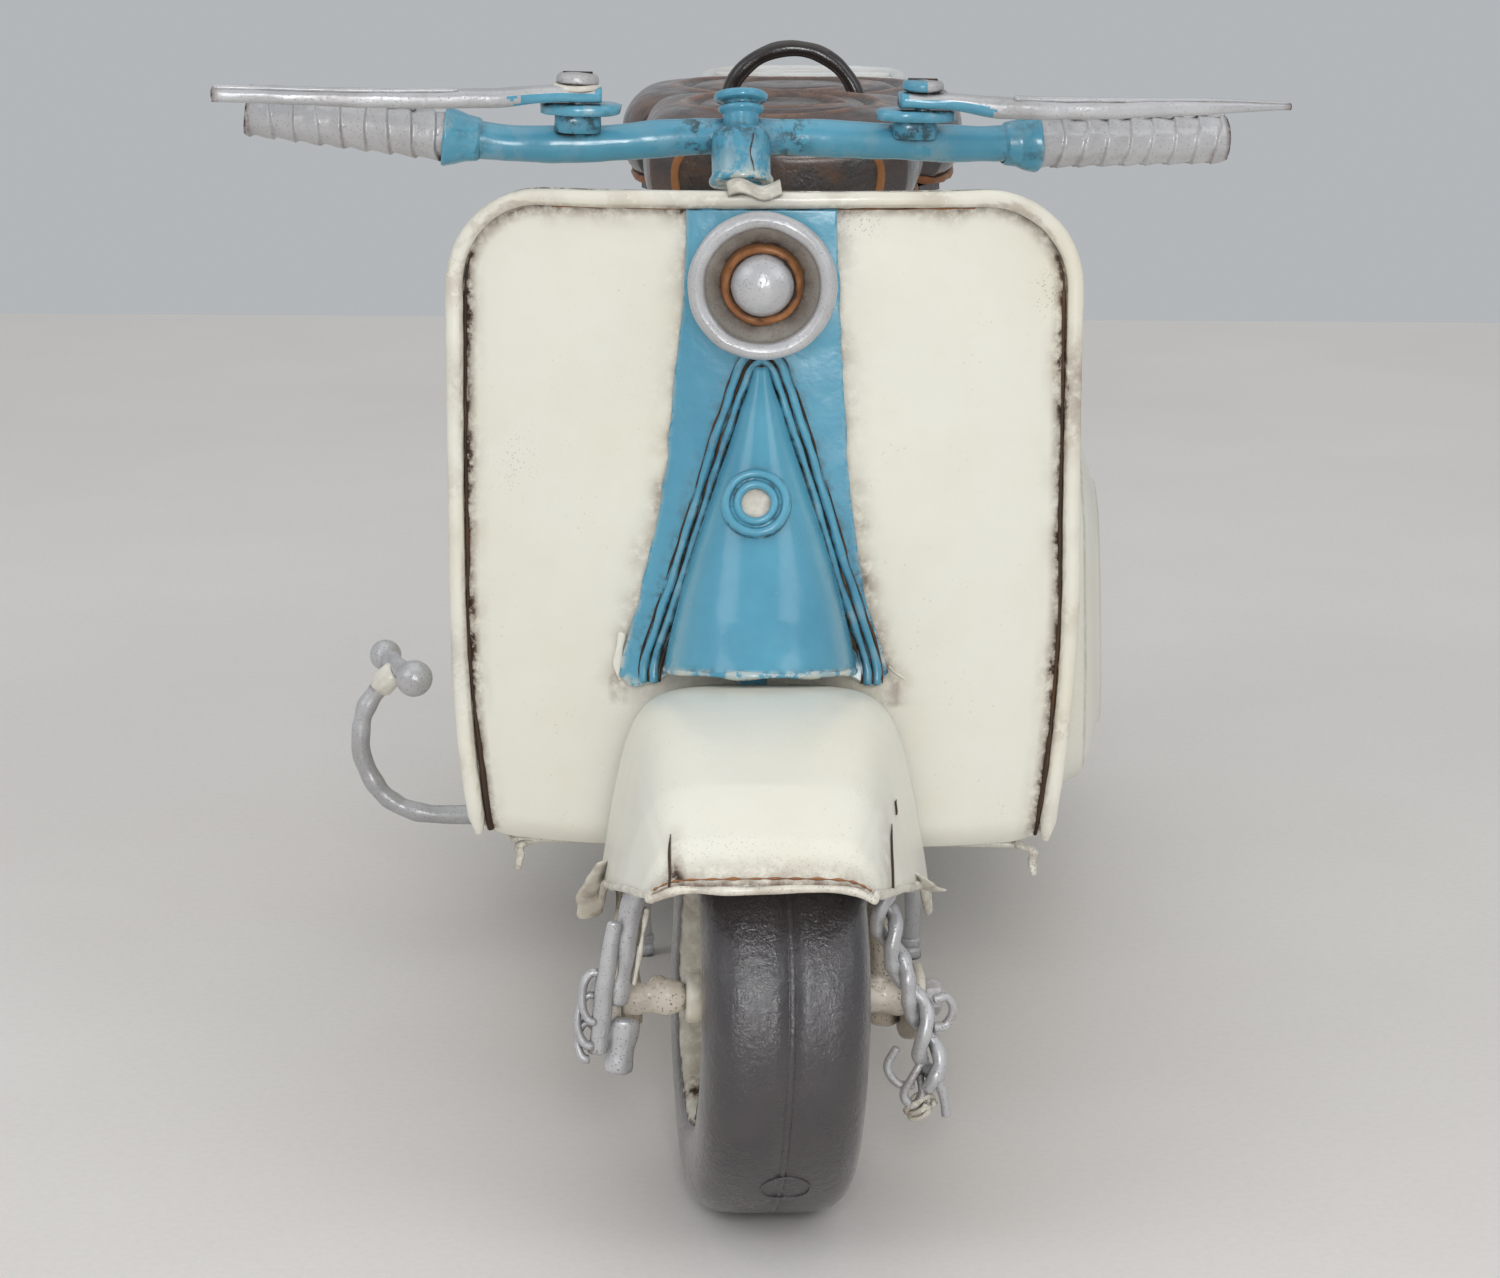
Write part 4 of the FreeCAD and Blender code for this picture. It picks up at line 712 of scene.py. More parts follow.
def build_plate():
    nu, nv = 74, 150
    F, Bk, chip, grime = [], [], [], []
    for j in range(nv):
        s = j / (nv - 1)
        rf, rb = [], []
        for i in range(nu):
            u = 2 * i / (nu - 1) - 1
            z = lerp(plate_bottom(u), 119.4, s)
            xl, xr = table(LEFT_EDGE, z)[0], table(RIGHT_EDGE, z)[0]
            e = 0.22 * nz((u * 40, 0, z), 0.35, 15) if abs(u) > 0.95 else 0.0
            x = lerp(xl, xr, (u + 1) / 2) + e
            rf.append(P(x, plate_front(x, z), z))
            rb.append(P(x, plate_front(x, z) + 0.55, z))
            near = min(1 - abs(u), 0.5)
            c = max(0.0, 1 - near / 0.035) * (0.35 + 0.65 * max(0.0, 1 - (z - 58) / 9.0))
            c = max(c, max(0.0, 1 - s / 0.02) * 0.8 * (abs(u) > 0.5))
            chip.append(min(1.0, c))
            ax = arch_x(z)
            dcone = abs(x) - ax
            # darker on the plate just beside the cone foot, more so lower down: painted shade where the cone meets the
            # plate; noisy dirt along the plate edges
            g = 0.0
            if z < 102:
                g = 0.80 * max(0.0, 1 - abs(dcone - 0.9) / 2.4) * (0.55 + 0.45 * max(0.0, (100 - z) / 40.0))
            g += 0.35 * max(0.0, 1 - near / 0.12) * max(0.0, nz((x, 0, z), 0.2, 18) + 0.35)
            grime.append(min(1.0, g))
        F.append(rf)
        Bk.append(rb)
    v, f = shell_geo(F, nu, nv, Bk)
    n = len(chip)
    ob = Builder().add(v, f, chip=chip + [1.0] * n, grime=grime + [0.2] * n).build("front_plate", BLUE, "chassis", slot="blue_paint")
    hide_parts("front_cover")


ARCH = [(60.0, 14.4), (66.0, 12.6), (74.0, 10.0), (82.0, 7.6), (90.0, 5.2), (96.0, 3.2), (99.6, 1.9), (101.2, 0.0)]


def arch_x(z):
    return table(ARCH, z)[0]


build_plate()

# cream sheet showing at the torn lower corners
for nm, pts, w in (("left", [(16.6, 60.6), (17.3, 59.9), (18.2, 59.3), (18.7, 58.9)], 0.42), ("right", [(-18.0, 64.6), (-18.35, 62.6), (-18.6, 60.4), (-18.2, 58.6)], 0.62)):
    path = smooth_path([P(x, shield_v(x, z) - 0.92, z) for x, z in pts], 30)
    v, f = tube_geo(path, lambda s, w=w: w * (0.55 + 0.45 * math.sin(math.pi * min(1, s + 0.1))), 10, flat=0.35, wob=0.7, seed=len(nm))
    Builder().add(v, f, rust=[0.7 * max(0.0, nz(p, 0.5, 2) + 0.2) for p in v]).build("torn_corner_" + nm, CREAM_BEAD, "chassis", slot="cream_paint")

CONE = [(0.0, 12.4, 17.5, 3.4), (0.18, 11.0, 13.6, 2.6), (0.40, 8.6, 10.2, 1.6), (0.65, 5.4, 6.8, 0.8), (0.86, 2.7, 3.8, 0.3), (1.0, 1.0, 1.5, 0.0)]


def cone_pt(f, a, off=0.0):
    w, p, rise = table(CONE, f)
    z0 = 60.2 + 39.3 * f
    pv = shield_v(0, z0) - 0.95
    cy = max(0.0, math.sin(a)) ** 0.85
    q = P((w - off) * math.cos(a), pv - (p - off) * cy, z0 + rise * cy)
    return q + Vector((0, 0.22 * nz(q, 0.12, 31) * cy, 0))


nu, nv = 66, 90
F = [[cone_pt(j / (nv - 1), math.pi * i / (nu - 1)) for i in range(nu)] for j in range(nv)]
Bk = [[cone_pt(j / (nv - 1), math.pi * i / (nu - 1), 0.55) for i in range(nu)] for j in range(nv)]
v, f = shell_geo(F, nu, nv, Bk)
g, c = [], []
for j in range(nv):
    for i in range(nu):
        a = i / (nu - 1)
        e = min(a, 1 - a)
        # darker along the cone's edges and foot and round the horn ring: painted shade where parts meet; the inside is
        # darkened too
        g.append(min(1.0, 0.75 * max(0.0, 1 - e / 0.09) + 0.6 * max(0.0, 1 - (j / nv) / 0.03) + 0.5 * max(0.0, 1 - abs((j / nv) - 0.57) / 0.12) * max(0.0, 1 - abs(a - 0.5) / 0.28)))
        c.append(max(0.0, 1 - (j / nv) / 0.022) * 0.7)
ob = Builder().add(v, f, grime=g + [0.6] * len(g), chip=c + [1.0] * len(c)).build("fork_cone", BLUE, "chassis", slot="blue_paint")
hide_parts("fork_cover")
lip = [cone_pt(0.004, math.pi * i / 60.0, 0.2) + Vector((0, 0, -0.1)) for i in range(61)]
v, f = tube_geo(lip, lambda s: 0.42 + 0.10 * math.sin(s * 26), 8, wob=0.4, seed=5)
Builder().add(v, f, chip=[0.6 + 0.4 * nz(p, 0.3, 1) for p in v]).build("cone_lip", BLUE, "chassis", slot="blue_paint")


def arch_path(off, lift, n=120, wob=0.16, seed=1.0):
    out = []
    zs = [lerp(58.6, 100.6, k / 60.0) for k in range(61)]
    prof = [(x_, z_) for z_, x_ in ((z, arch_x(z)) for z in zs)]
    top = [(1.2 * math.cos(a), 100.4 + 1.3 * math.sin(a)) for a in [math.pi * k / 12.0 for k in range(1, 12)]]
    full = [(x, z) for x, z in prof] + top + [(-x, z) for x, z in reversed(prof)]
    m = len(full)
    for i, (x, z) in enumerate(full):
        a, b_ = full[max(i - 1, 0)], full[min(i + 1, m - 1)]
        tx, tz = b_[0] - a[0], b_[1] - a[1]
        L = math.hypot(tx, tz) or 1.0
        nx, nz_ = tz / L, -tx / L
        o = off + wob * nz((x, off * 5, z), 0.22, seed)
        xx, zz = x + nx * o, z + nz_ * o
        out.append(P(xx, plate_front(xx, zz) - lift, zz))
    return out


first = None
for nm, off, r in (("outer", 0.72, 0.56), ("inner", -0.58, 0.60)):
    v, f = tube_geo(arch_path(off, 0.42, seed=off), r, 10, wob=0.28, seed=off)
    ob = Builder().add(v, f, grime=[0.45 * max(0.0, nz(p, 0.25, 9) + 0.3) for p in v], chip=[0.25 * max(0.0, nz(p, 0.4, 12)) for p in v]).build("arch_piping_" + nm, BLUE, "chassis", slot="blue_paint")
    if nm == "outer":
        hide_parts("arch_piping")
# thin dark lines between and beside the piping wires: painted shade with grime
for nm, off, r in (("mid", 0.06, 0.22), ("outside", 1.42, 0.13), ("inside", -1.32, 0.24)):
    v, f = tube_geo(arch_path(off, 0.12, seed=off + 2), lambda s, r=r: r * max(0.05, 0.75 + 0.5 * math.sin(s * 43 + r * 40) + 0.45 * math.sin(s * 97 + r * 60)), 6, wob=0.8, seed=off + 4)
    make("arch_shade_and_grime_" + nm, v, f, GAP, "chassis")

# horn ring on the cone
s_ = math.atan2(16.0, 39.3)
horn_n = Vector((0, -math.cos(s_), math.sin(s_)))
horn_c = P(-0.3, shield_v(-0.3, 83.4) - 0.9 - 8.25, 83.4)
prof = round_profile([(-0.6, 1.85), (0.85, 1.85), (1.25, 2.15), (1.15, 2.65), (0.62, 2.95), (0.6, 3.2), (1.05, 3.45), (1.15, 3.95), (0.75, 4.4), (-0.6, 4.5)], 0.25)
v, f = lathe_geo(prof + [(-0.6, 1.85)], horn_c, horn_n, 56, wob=0.10, seed=3)
rr = [(Vector(p) - horn_c - horn_n * (Vector(p) - horn_c).dot(horn_n)).length for p in v]
# dark in the groove between the rings and at the outer edge: painted shade
ob = Builder().add(v, f, grime=[max(0.0, 1 - abs(r - 3.07) / 0.35) * 0.8 + max(0.0, 1 - abs(r - 4.45) / 0.3) * 0.8 for r in rr]).build("horn_rings", BLUE, "chassis", slot="blue_paint")
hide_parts("horn_ring")
v, f = lathe_geo([(0.15, 1.95), (0.1, 1.2), (0.0, 0.0)], horn_c, horn_n, 30, wob=0.15, seed=8)
Builder().add(v, f, rust=[0.35] * len(v)).build("horn_hole", CREAM_BEAD, "chassis", slot="cream_paint")

# ------------------------------------------------------------------ headlight
lc, ld = P(0.4, 27.6, 111.0), Vector((0, -1, 0))
prof = round_profile([(-6.6, 0.0), (-6.6, 5.8), (-5.2, 7.2), (-1.6, 8.5), (-0.4, 8.75), (-0.3, 7.6), (-0.7, 7.2), (-1.55, 5.3), (-1.75, 4.6), (-1.8, 0.0)], 0.4)
v, f = lathe_geo(prof, lc, ld, 80, wob=0.10, seed=1)
rad = [math.hypot(p[0] - lc.x, p[2] - lc.z) for p in v]
fr = [1.0 if (lc.y - p[1]) > -2.2 else 0.0 for p in v]
ob = Builder().add(v, f, rust=[fr_ * (0.85 * max(0.0, 1 - abs(r - 5.3) / 0.8) + 0.22 * max(0.0, 1 - abs(r - 7.3) / 0.5)) for r, fr_ in zip(rad, fr)],
                   speck=[0.5 * fr_ for fr_ in fr]).build("headlight_shell", LAMP_FACE, "chassis", slot="silver_paint")
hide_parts("headlight_bowl")
ring = []
for k in range(15):
    a = TAU * k / 14
    ring.append((0.45 + 0.98 * math.cos(a), 8.32 + 1.08 * math.sin(a)))
v, f = lathe_geo(ring, lc, ld, 110, wob=0.16, seed=2)
ob = Builder().add(v, f, rust=[0.22 * max(0.0, nz(p, 0.2, 5)) for p in v], speck=[0.3] * len(v)).build("headlight_rolled_rim", SILVER, "chassis", slot="silver_paint")
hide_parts("headlight_rim")
prof = round_profile([(-1.9, 3.9), (0.0, 4.05), (0.42, 4.45), (0.3, 4.95), (-0.7, 5.25), (-1.9, 5.35)], 0.2)
v, f = lathe_geo(prof, lc, ld, 90, wob=0.26, seed=4)
ob = Builder().add(v, f, rust=[0.5 + 0.5 * nz(p, 0.8, 3) for p in v]).build("headlight_rusty_ring", RUSTY, "chassis", slot="rusty_ring")
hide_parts("headlight_bezel")
prof = round_profile([(-1.6, 4.15), (0.15, 4.0), (1.0, 3.35), (1.75, 2.35), (2.2, 1.2), (2.36, 0.0)], 0.5, 4)
v, f = lathe_geo(prof, lc, ld, 64, wob=0.08, seed=6)
ob = Builder().add(v, f, speck=[0.35] * len(v), rust=[0.35 * max(0.0, 1 - abs(math.hypot(p[0] - lc.x, p[2] - lc.z) - 3.9) / 0.5) for p in v]).build("headlight_dome", SILVER, "chassis", slot="silver_paint")
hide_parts("headlight_lens")

# ------------------------------------------------------------------ front fender
FENDER = [(-28.5, 13.2, 48.2, 49.6), (-24.0, 14.6, 47.0, 54.0), (-16.0, 16.8, 45.2, 58.2), (-5.0, 18.6, 42.2, 61.4), (6.0, 19.9, 39.0, 62.6),
          (18.0, 21.2, 32.0, 61.9), (30.4, 21.6, 30.5, 59.0)]
FPROF = [(0.0, 0.0, 0.0), (0.16, 0.22, 0.004), (0.30, 0.42, 0.014), (0.43, 0.60, 0.045), (0.54, 0.73, 0.12), (0.64, 0.82, 0.26), (0.76, 0.89, 0.48), (0.88, 0.95, 0.74), (1.0, 1.0, 1.0)]


def fender_pt(v, s, off=0.0):
    w, zl, zt = table(FENDER, v)
    sg = 1 if s >= 0 else -1
    fx, fz = table(FPROF, abs(s))
    zl = zl + 0.35 * nz((v, sg * 4, 0), 0.16, 3) * (1 if v > -27 else 0.3)
    x = sg * fx * (w - off)
    z = zt - off - fz * (zt - zl - off)
    x += 0.12 * nz((v, s * 20, 0), 0.12, 6)
    z += 0.15 * nz((v, s * 20, 5), 0.10, 7)
    # pressed creases between the nose and the flanks
    cr = 0.12 * math.exp(-((abs(s) - 0.62) / 0.03) ** 2) * max(0.0, min(1.0, (-6.0 - v) / 10.0))
    x -= sg * cr
    return P(x, v, z)


nu, nv = 120, 90
vs = [-28.5 + (30.4 + 28.5) * (j / (nv - 1)) ** 1.35 for j in range(nv)]
F = [[fender_pt(vv, 2 * i / (nu - 1) - 1) for i in range(nu)] for vv in vs]
Bk = [[fender_pt(vv, 2 * i / (nu - 1) - 1, 0.6) for i in range(nu)] for vv in vs]
# a slot for the steering stem at the back of the top
v, f = shell_geo(F, nu, nv, Bk)


def in_slot(face):
    c = sum((Vector(v[i]) for i in face), Vector((0, 0, 0))) / len(face)
    vv = c.y + Y0
    return vv > 22.6 and -4.6 < c.x < 3.2 and c.z > 52


f = [q for q in f if not in_slot(q)]
rust, speck, chip = [], [], []
for j, vv in enumerate(vs):
    for i in range(nu):
        s = 2 * i / (nu - 1) - 1
        r = 0.75 * max(0.0, 1 - (vv + 28.5) / 3.2)
        r += 0.55 * max(0.0, 1 - (1 - abs(s)) / 0.05)
        if vv < 2:
            xx_ = fender_pt(vv, s).x
            r += 0.80 * max(0.0, 1 - abs(xx_ + 10.2) / 1.6) * max(0.0, 1 - (vv + 28.5) / 8.0)
            r += 0.70 * max(0.0, 1 - abs(xx_ - 14.8) / 1.4) * max(0.0, 1 - (vv + 28.5) / 18.0)
        r += 0.18 * max(0.0, 1 - (30.4 - vv) / 4.0)
        rust.append(min(1.0, r))
        speck.append(min(1.0, 0.25 * max(0.0, nz((s * 12, vv, 0), 0.2, 4)) + 0.3 * max(0.0, 1 - (vv + 28.5) / 6)))
        chip.append(max(0.0, 1 - (vv + 28.5) / 0.8) * 0.6)
n = len(rust)
ob = Builder().add(v, f, rust=rust + [0.4] * n, speck=speck + [0.4] * n, chip=chip + [0.2] * n).build("front_fender_shell", CREAM, "chassis", FENDER_YAW, slot="cream_paint")
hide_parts("front_fender")
# wavy rolled lip round the front edge and down the flanks
lip = []
for k in range(141):
    s = 2 * k / 140.0 - 1
    q = fender_pt(-28.4, s, 0.2)
    lip.append(q + Vector((0, -0.45 + 0.15 * nz((s * 30, 0, 0), 0.15, 3), -0.30 + 0.42 * nz((s * 26, 2, 0), 0.10, 8))))
flank_l = [fender_pt(lerp(-27.6, 29.8, k / 70.0), -1.0, 0.2) + Vector((0, 0, 0.1)) for k in range(71)]
flank_r = [fender_pt(lerp(-27.6, 29.8, k / 70.0), 1.0, 0.2) + Vector((0, 0, 0.1)) for k in range(71)]
lipm = list(reversed(flank_l)) + lip + flank_r
v, f = tube_geo(lipm, lambda s: 0.56 + 0.05 * math.sin(s * 60), 12, flat=0.8, wob=0.14, seed=7)
Builder().add(v, f, rust=[min(1.0, 0.25 + 0.7 * max(0.0, nz(p, 0.3, 6))) for p in v], speck=[0.5] * len(v)).build("fender_rolled_lip", CREAM_BEAD, "chassis", FENDER_YAW, slot="cream_paint")
rl = [p + Vector((0, -0.05, 1.0)) for p in [fender_pt(-28.0, 2 * k / 100.0 - 1) for k in range(5, 96)]]
v, f = tube_geo([fender_pt(-27.7, 2 * k / 120.0 - 1) + Vector((0, -0.02, 0.02)) for k in range(8, 113)], lambda s: 0.13 + 0.07 * math.sin(s * 83), 6, wob=0.8, seed=9)
make("fender_lip_line", v, f, RUSTY, "chassis", FENDER_YAW)
# split folds at the corners of the nose


def fender_s(v, x):
    lo_, hi_ = (0.3, 0.99) if x > 0 else (-0.99, -0.3)
    for _ in range(40):
        m_ = (lo_ + hi_) / 2
        if fender_pt(v, m_).x < x:
            lo_ = m_
        else:
            hi_ = m_
    return (lo_ + hi_) / 2


# dark fill in the splits: painted shade in the cracks, with rust
for nm, x0, va, vb, r in (("right", -10.7, -28.2, -22.6, 0.16), ("left", 15.2, -22.0, -13.0, 0.17), ("left_short", 15.9, -9.0, -6.6, 0.13)):
    pts = []
    for k in range(31):
        vv = lerp(va, vb, k / 30.0)
        xx = x0 + 0.05 * math.sin(k * 0.25)
        q = fender_pt(vv, fender_s(vv, xx))
        pts.append(q + Vector((0.12 if x0 > 0 else -0.12, -0.10, 0.05)))
    v, f = tube_geo(pts, lambda s, r=r: r * (0.35 + 0.65 * math.sin(math.pi * min(1.0, s * 0.8 + 0.2))), 6, wob=0.3, seed=x0)
    make("fender_split_" + nm, v, f, GAP, "chassis", FENDER_YAW)
# bent corner tabs at the lower back of the nose
for nm, sgn, path, w in (("right", -1, [(-18.9, 5.0, 42.5), (-20.2, 8.0, 39.4), (-21.4, 11.0, 36.2), (-21.6, 13.5, 33.0)], 2.0),
                         ("left", 1, [(17.9, -3.0, 43.4), (19.2, 0.5, 41.4), (20.8, 4.0, 39.4), (21.6, 7.0, 38.4)], 1.5)):
    pp = smooth_path([P(*q) for q in path], 26)
    v, f = tube_geo(pp, lambda s, w=w: w * (0.45 + 0.55 * math.sin(math.pi * min(1.0, 0.25 + s * 0.6))), 16, flat=0.22, wob=0.35, seed=sgn + 3)
    Builder().add(v, f, rust=[min(1.0, 0.2 + 0.8 * max(0.0, nz(p, 0.35, 16 + sgn))) for p in v]).build("fender_tab_" + nm, CREAM_BEAD, "chassis", FENDER_YAW, slot="cream_paint")


# ------------------------------------------------------------------ wheels
def wheel(prefix, base, body):
    o = P(0, 0, 26.5) if prefix == "front" else P(0, 178.0, 26.5)
    M = base
    W, R = 10.0, 26.5
    pts = [(-8.9, 15.75), (-9.7, 16.9), (-10.0, 19.2), (-9.95, 21.6), (-9.55, 23.4), (-8.75, 24.85), (-7.5, 25.85), (-5.9, 26.35), (-3.0, 26.5), (-0.42, 26.5),
           (-0.20, 26.62), (0.0, 26.65), (0.20, 26.62), (0.42, 26.5), (3.0, 26.5), (5.9, 26.35), (7.5, 25.85), (8.75, 24.85), (9.55, 23.4), (9.95, 21.6), (10.0, 19.2),
           (9.7, 16.9), (8.9, 15.75)]
    prof = round_profile(pts, 0.9, 4)
    prof = [(a, r - (0.15 if r > 26.5 else 0.0)) for a, r in prof]
    segs = 150
    verts, faces = lathe_geo(prof + [(8.0, 15.4), (-8.0, 15.4)], o, (1, 0, 0), segs, closed_profile=True)
    out = []
    for p in verts:
        d = Vector(p) - o
        r = math.hypot(d.y, d.z)
        th = math.atan2(d.z, d.y)
        if r > 20:
            e = 0.10 * nz((d.x * 0.6, math.cos(th) * 26, math.sin(th) * 26), 0.10, 3) - 0.05
            # light flats and a pinched patch in the moulding
            e -= 0.14 * math.exp(-((th - 2.2) / 0.12) ** 2 - (d.x / 4) ** 2)
            k = (r + e) / r
            d = Vector((d.x + 0.05 * math.sin(th * 5), d.y * k, d.z * k))
        out.append(o + d)
    ob = Builder().add(out, faces).build(prefix + "_tyre_moulded", TYRE, body, M, slot="tyre_rubber")
    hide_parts(prefix + "_tyre")
    # moulded circle on the tread
    phi = math.radians(222.0)
    ring = []
    for k in range(41):
        a = TAU * k / 40
        xx, ss = 0.6 + 3.0 * math.cos(a), 2.6 * math.sin(a) / R
        ring.append(o + Vector((xx, 26.46 * math.cos(phi + ss), 26.46 * math.sin(phi + ss))))
    v, f = tube_geo(ring, 0.13, 6, cap=False)
    make(prefix + "_tyre_mould_mark", v, f, TYRE, body, M)
    # pressed rims, both sides
    B = Builder()
    for sx in (1, -1):
        prof = round_profile([(4.6, 3.4), (6.2, 3.4), (6.7, 5.6), (6.2, 6.8), (4.5, 8.6), (4.2, 10.6), (4.6, 12.2), (6.7, 13.6), (8.6, 14.0), (9.4, 14.9), (9.5, 15.6), (9.0, 15.75), (8.7, 15.3),
                              (8.0, 14.7), (6.2, 14.3), (3.8, 12.6), (3.5, 8.4), (5.3, 5.4), (4.6, 3.4)], 0.4, 3)
        prof = [(sx * a, r) for a, r in prof]
        v, f = lathe_geo(prof, o, (1, 0, 0), 96, wob=0.10, seed=2 + sx)
        rs = []
        for p in v:
            d = Vector(p) - o
            r = math.hypot(d.y, d.z)
            rs.append(min(1.0, 0.9 * max(0.0, 1 - abs(r - 15.4) / 0.7) + 0.75 * max(0.0, 1 - abs(r - 12.6) / 1.6) * max(0.0, nz(p, 0.22, 5) + 0.4) + 0.7 * max(0.0, 1 - abs(r - 4.4) / 1.0)
                          + 1.3 * max(0.0, nz(p, 0.16, 8) - 0.02) + 0.3))
        B.add(v, f, rust=rs, speck=[0.4 * max(0.0, nz(p, 0.2, 3) + 0.2) for p in v])
        for k in range(4):
            a = TAU * (k + 0.4) / 4
            c = o + Vector((sx * 5.2, 9.6 * math.cos(a), 9.6 * math.sin(a)))
            vv, ff = lathe_geo(round_profile([(-1.2, 1.0), (-0.1, 1.0), (0.35, 0.75), (0.45, 0.0)], 0.2), c, (sx, 0, 0), 12)
            B.add(vv, ff, rust=[0.5] * len(vv))
    ob = B.build(prefix + "_rim_pressings", CREAM, body, M, slot="cream_paint")
    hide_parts(prefix + "_rims")
    v, f = lathe_geo(round_profile([(-10.2, 1.3), (-10.2, 2.6), (-9.8, 3.1), (-8.6, 3.1), (-7.8, 2.7), (7.8, 2.7), (8.6, 3.1), (9.8, 3.1), (10.2, 2.6), (10.2, 1.3)], 0.2), o, (1, 0, 0), 40, wob=0.12, seed=4)
    ob = Builder().add(v, f, rust=[0.55 * max(0.0, nz(p, 0.5, 3) + 0.3) for p in v]).build(prefix + "_hub_turned", CREAM_BEAD, body, M, slot="cream_paint")
    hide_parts(prefix + "_hub")


wheel("front", STEER, "front_wheel")
wheel("rear", IDENT, "rear_wheel")

# ------------------------------------------------------------------ fork, in the straight frame
ay = -Y0


def azz(z):
    return az(z)


B = Builder()
for s in (1, -1):
    top = Vector((s * 11.4, azz(50.0).y, 50.2))
    knee = Vector((s * 15.6, azz(43.0).y, 43.0))
    mid = Vector((s * 16.1, azz(31.0).y, 31.0))
    low = Vector((s * 16.4, azz(20.5).y, 20.3))
    pts = smooth_path([top, knee, mid, low], 40)
    v, f = tube_geo(pts, lambda t: 1.75 + 0.10 * math.sin(t * 31), 16, flat=0.9, wob=0.18, seed=s + 2)
    B.add(v, f, rust=[0.35 * max(0.0, nz(p, 0.2, 3) + 0.2) for p in v], speck=[0.9] * len(v))
    v, f = tube_geo([low + Vector((0, 0, 2.6)), low + Vector((0, 0, -0.6))], 2.2, 16, wob=0.15, seed=9)
    B.add(v, f, rust=[0.3] * len(v), speck=[0.8] * len(v))
ob = B.build("fork_leg_tubes", SPECKLED, "steering", STEER, slot="speckled_paint")
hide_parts("fork_legs")

B = Builder()
for s in (1, -1):
    x0, x1 = (18.2, 19.5) if s > 0 else (-19.5, -18.2)
    fy = azz(21.5).y
    out = [(ay - 3.4, 25.4), (ay - 2.4, 28.6), (ay, 30.0), (ay + 3.0, 29.9), (fy - 2.0, 25.6), (fy + 2.4, 24.2), (fy + 3.2, 21.4), (fy + 1.6, 18.4), (fy - 2.4, 18.0), (ay + 1.0, 20.6), (ay - 2.6, 22.6)]
    sp = smooth_path([Vector((0, a, b_)) for a, b_ in out + [out[0]]], 66)[:-1]
    n = len(sp)
    rows = []
    for xx, k in ((x0, 0.93), (x0 + 0.18 , 1.0), (x1 - 0.18, 1.0), (x1, 0.93)):
        cy, cz = (ay + fy) / 2, 24.0
        rows.append([Vector((xx + 0.12 * nz(q, 0.3, 2), cy + (q.y - cy) * k, cz + (q.z - cz) * k)) for q in sp])
    vv, ff = [], []
    for r in rows:
        vv += r
    for j in range(3):
        for i in range(n):
            ff.append((j * n + i, j * n + (i + 1) % n, (j + 1) * n + (i + 1) % n, (j + 1) * n + i))
    ff.append(tuple(range(n)))
    ff.append(tuple(reversed(range(3 * n, 4 * n))))
    B.add(vv, ff, rust=[0.3 * max(0.0, nz(p, 0.3, 5) + 0.3) for p in vv], speck=[0.5] * len(vv))
ob = B.build("fork_link_plates", SPECKLED, "steering", STEER, slot="speckled_paint")
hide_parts("fork_links")

B = Builder()
R0 = 26.5
v, f = tube_geo([Vector((-21.6, ay, R0)), Vector((21.6, ay, R0))], 1.2, 14)
B.add(v, f, speck=[0.5] * len(v))
for s in (1, -1):
    pts = [Vector((s * lerp(10.5, 18.1, k / 16.0), ay, R0)) for k in range(17)]
    v, f = tube_geo(pts, lambda t: 2.05 + 0.18 * math.sin(t * 9 + s), 16, wob=0.28, seed=s)
    B.add(v, f, rust=[0.45 * max(0.0, nz(p, 0.35, 4) + 0.25) for p in v], speck=[0.6] * len(v))
    c = Vector((s * 13.6, ay - 0.2, R0 + 1.9))
    v, f = lathe_geo(round_profile([(-1.0, 1.5), (0.0, 1.45), (0.8, 1.0), (1.1, 0.0)], 0.4), c, (0, 0, 1), 14, wob=0.3, seed=2)
    B.add(v, f, rust=[0.4] * len(v), speck=[0.7] * len(v))
ob = B.build("front_axle_sleeves", SPECKLED, "steering", STEER, slot="cream_paint")
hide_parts("front_axle")

B = Builder()
for s in (1, -1):
    hexa = []
    for j, (xx, rr) in enumerate(((19.5, 1.9), (19.6, 2.35), (21.3, 2.35), (21.7, 1.9), (21.9, 0.9))):
        hexa.append([Vector((s * xx, ay + rr * math.cos(TAU * k / 6 + 0.3), R0 + rr * math.sin(TAU * k / 6 + 0.3))) for k in range(6)])
    vv, ff = [], []
    for r in hexa:
        vv += r
    for j in range(4):
        for i in range(6):
            ff.append((j * 6 + i, j * 6 + (i + 1) % 6, (j + 1) * 6 + (i + 1) % 6, (j + 1) * 6 + i))
    ff.append(tuple(range(6)))
    ff.append(tuple(reversed(range(24, 30))))
    B.add(vv, ff, rust=[0.35] * len(vv), speck=[0.5] * len(vv))
ob = B.build("axle_hex_nuts", SILVER, "steering", STEER, smooth=False, slot="silver_paint")
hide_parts("axle_nuts")


def strand(B, pts, r, turns, off, phase, n=150, wire=0.95, ends=(0.0, 0.0)):
    core = smooth_path(pts, n)
    fr = frames_along(core)
    for w in (0, 1):
        path = []
        for i, (c, (t, u, ww)) in enumerate(zip(core, fr)):
            s = i / n
            a = phase + TAU * turns * s + math.pi * w
            spread = off * (1 + 0.25 * math.sin(s * 9 + w))
            path.append(c + u * math.cos(a) * spread + ww * math.sin(a) * spread)
        v, f = tube_geo(path, lambda s: wire * (1 + 0.06 * math.sin(s * 70)), 10, wob=0.2, seed=w)
        B.add(v, f, rust=[0.30 * max(0.0, nz(p, 0.3, 6) + 0.1) for p in v], speck=[0.4] * len(v))


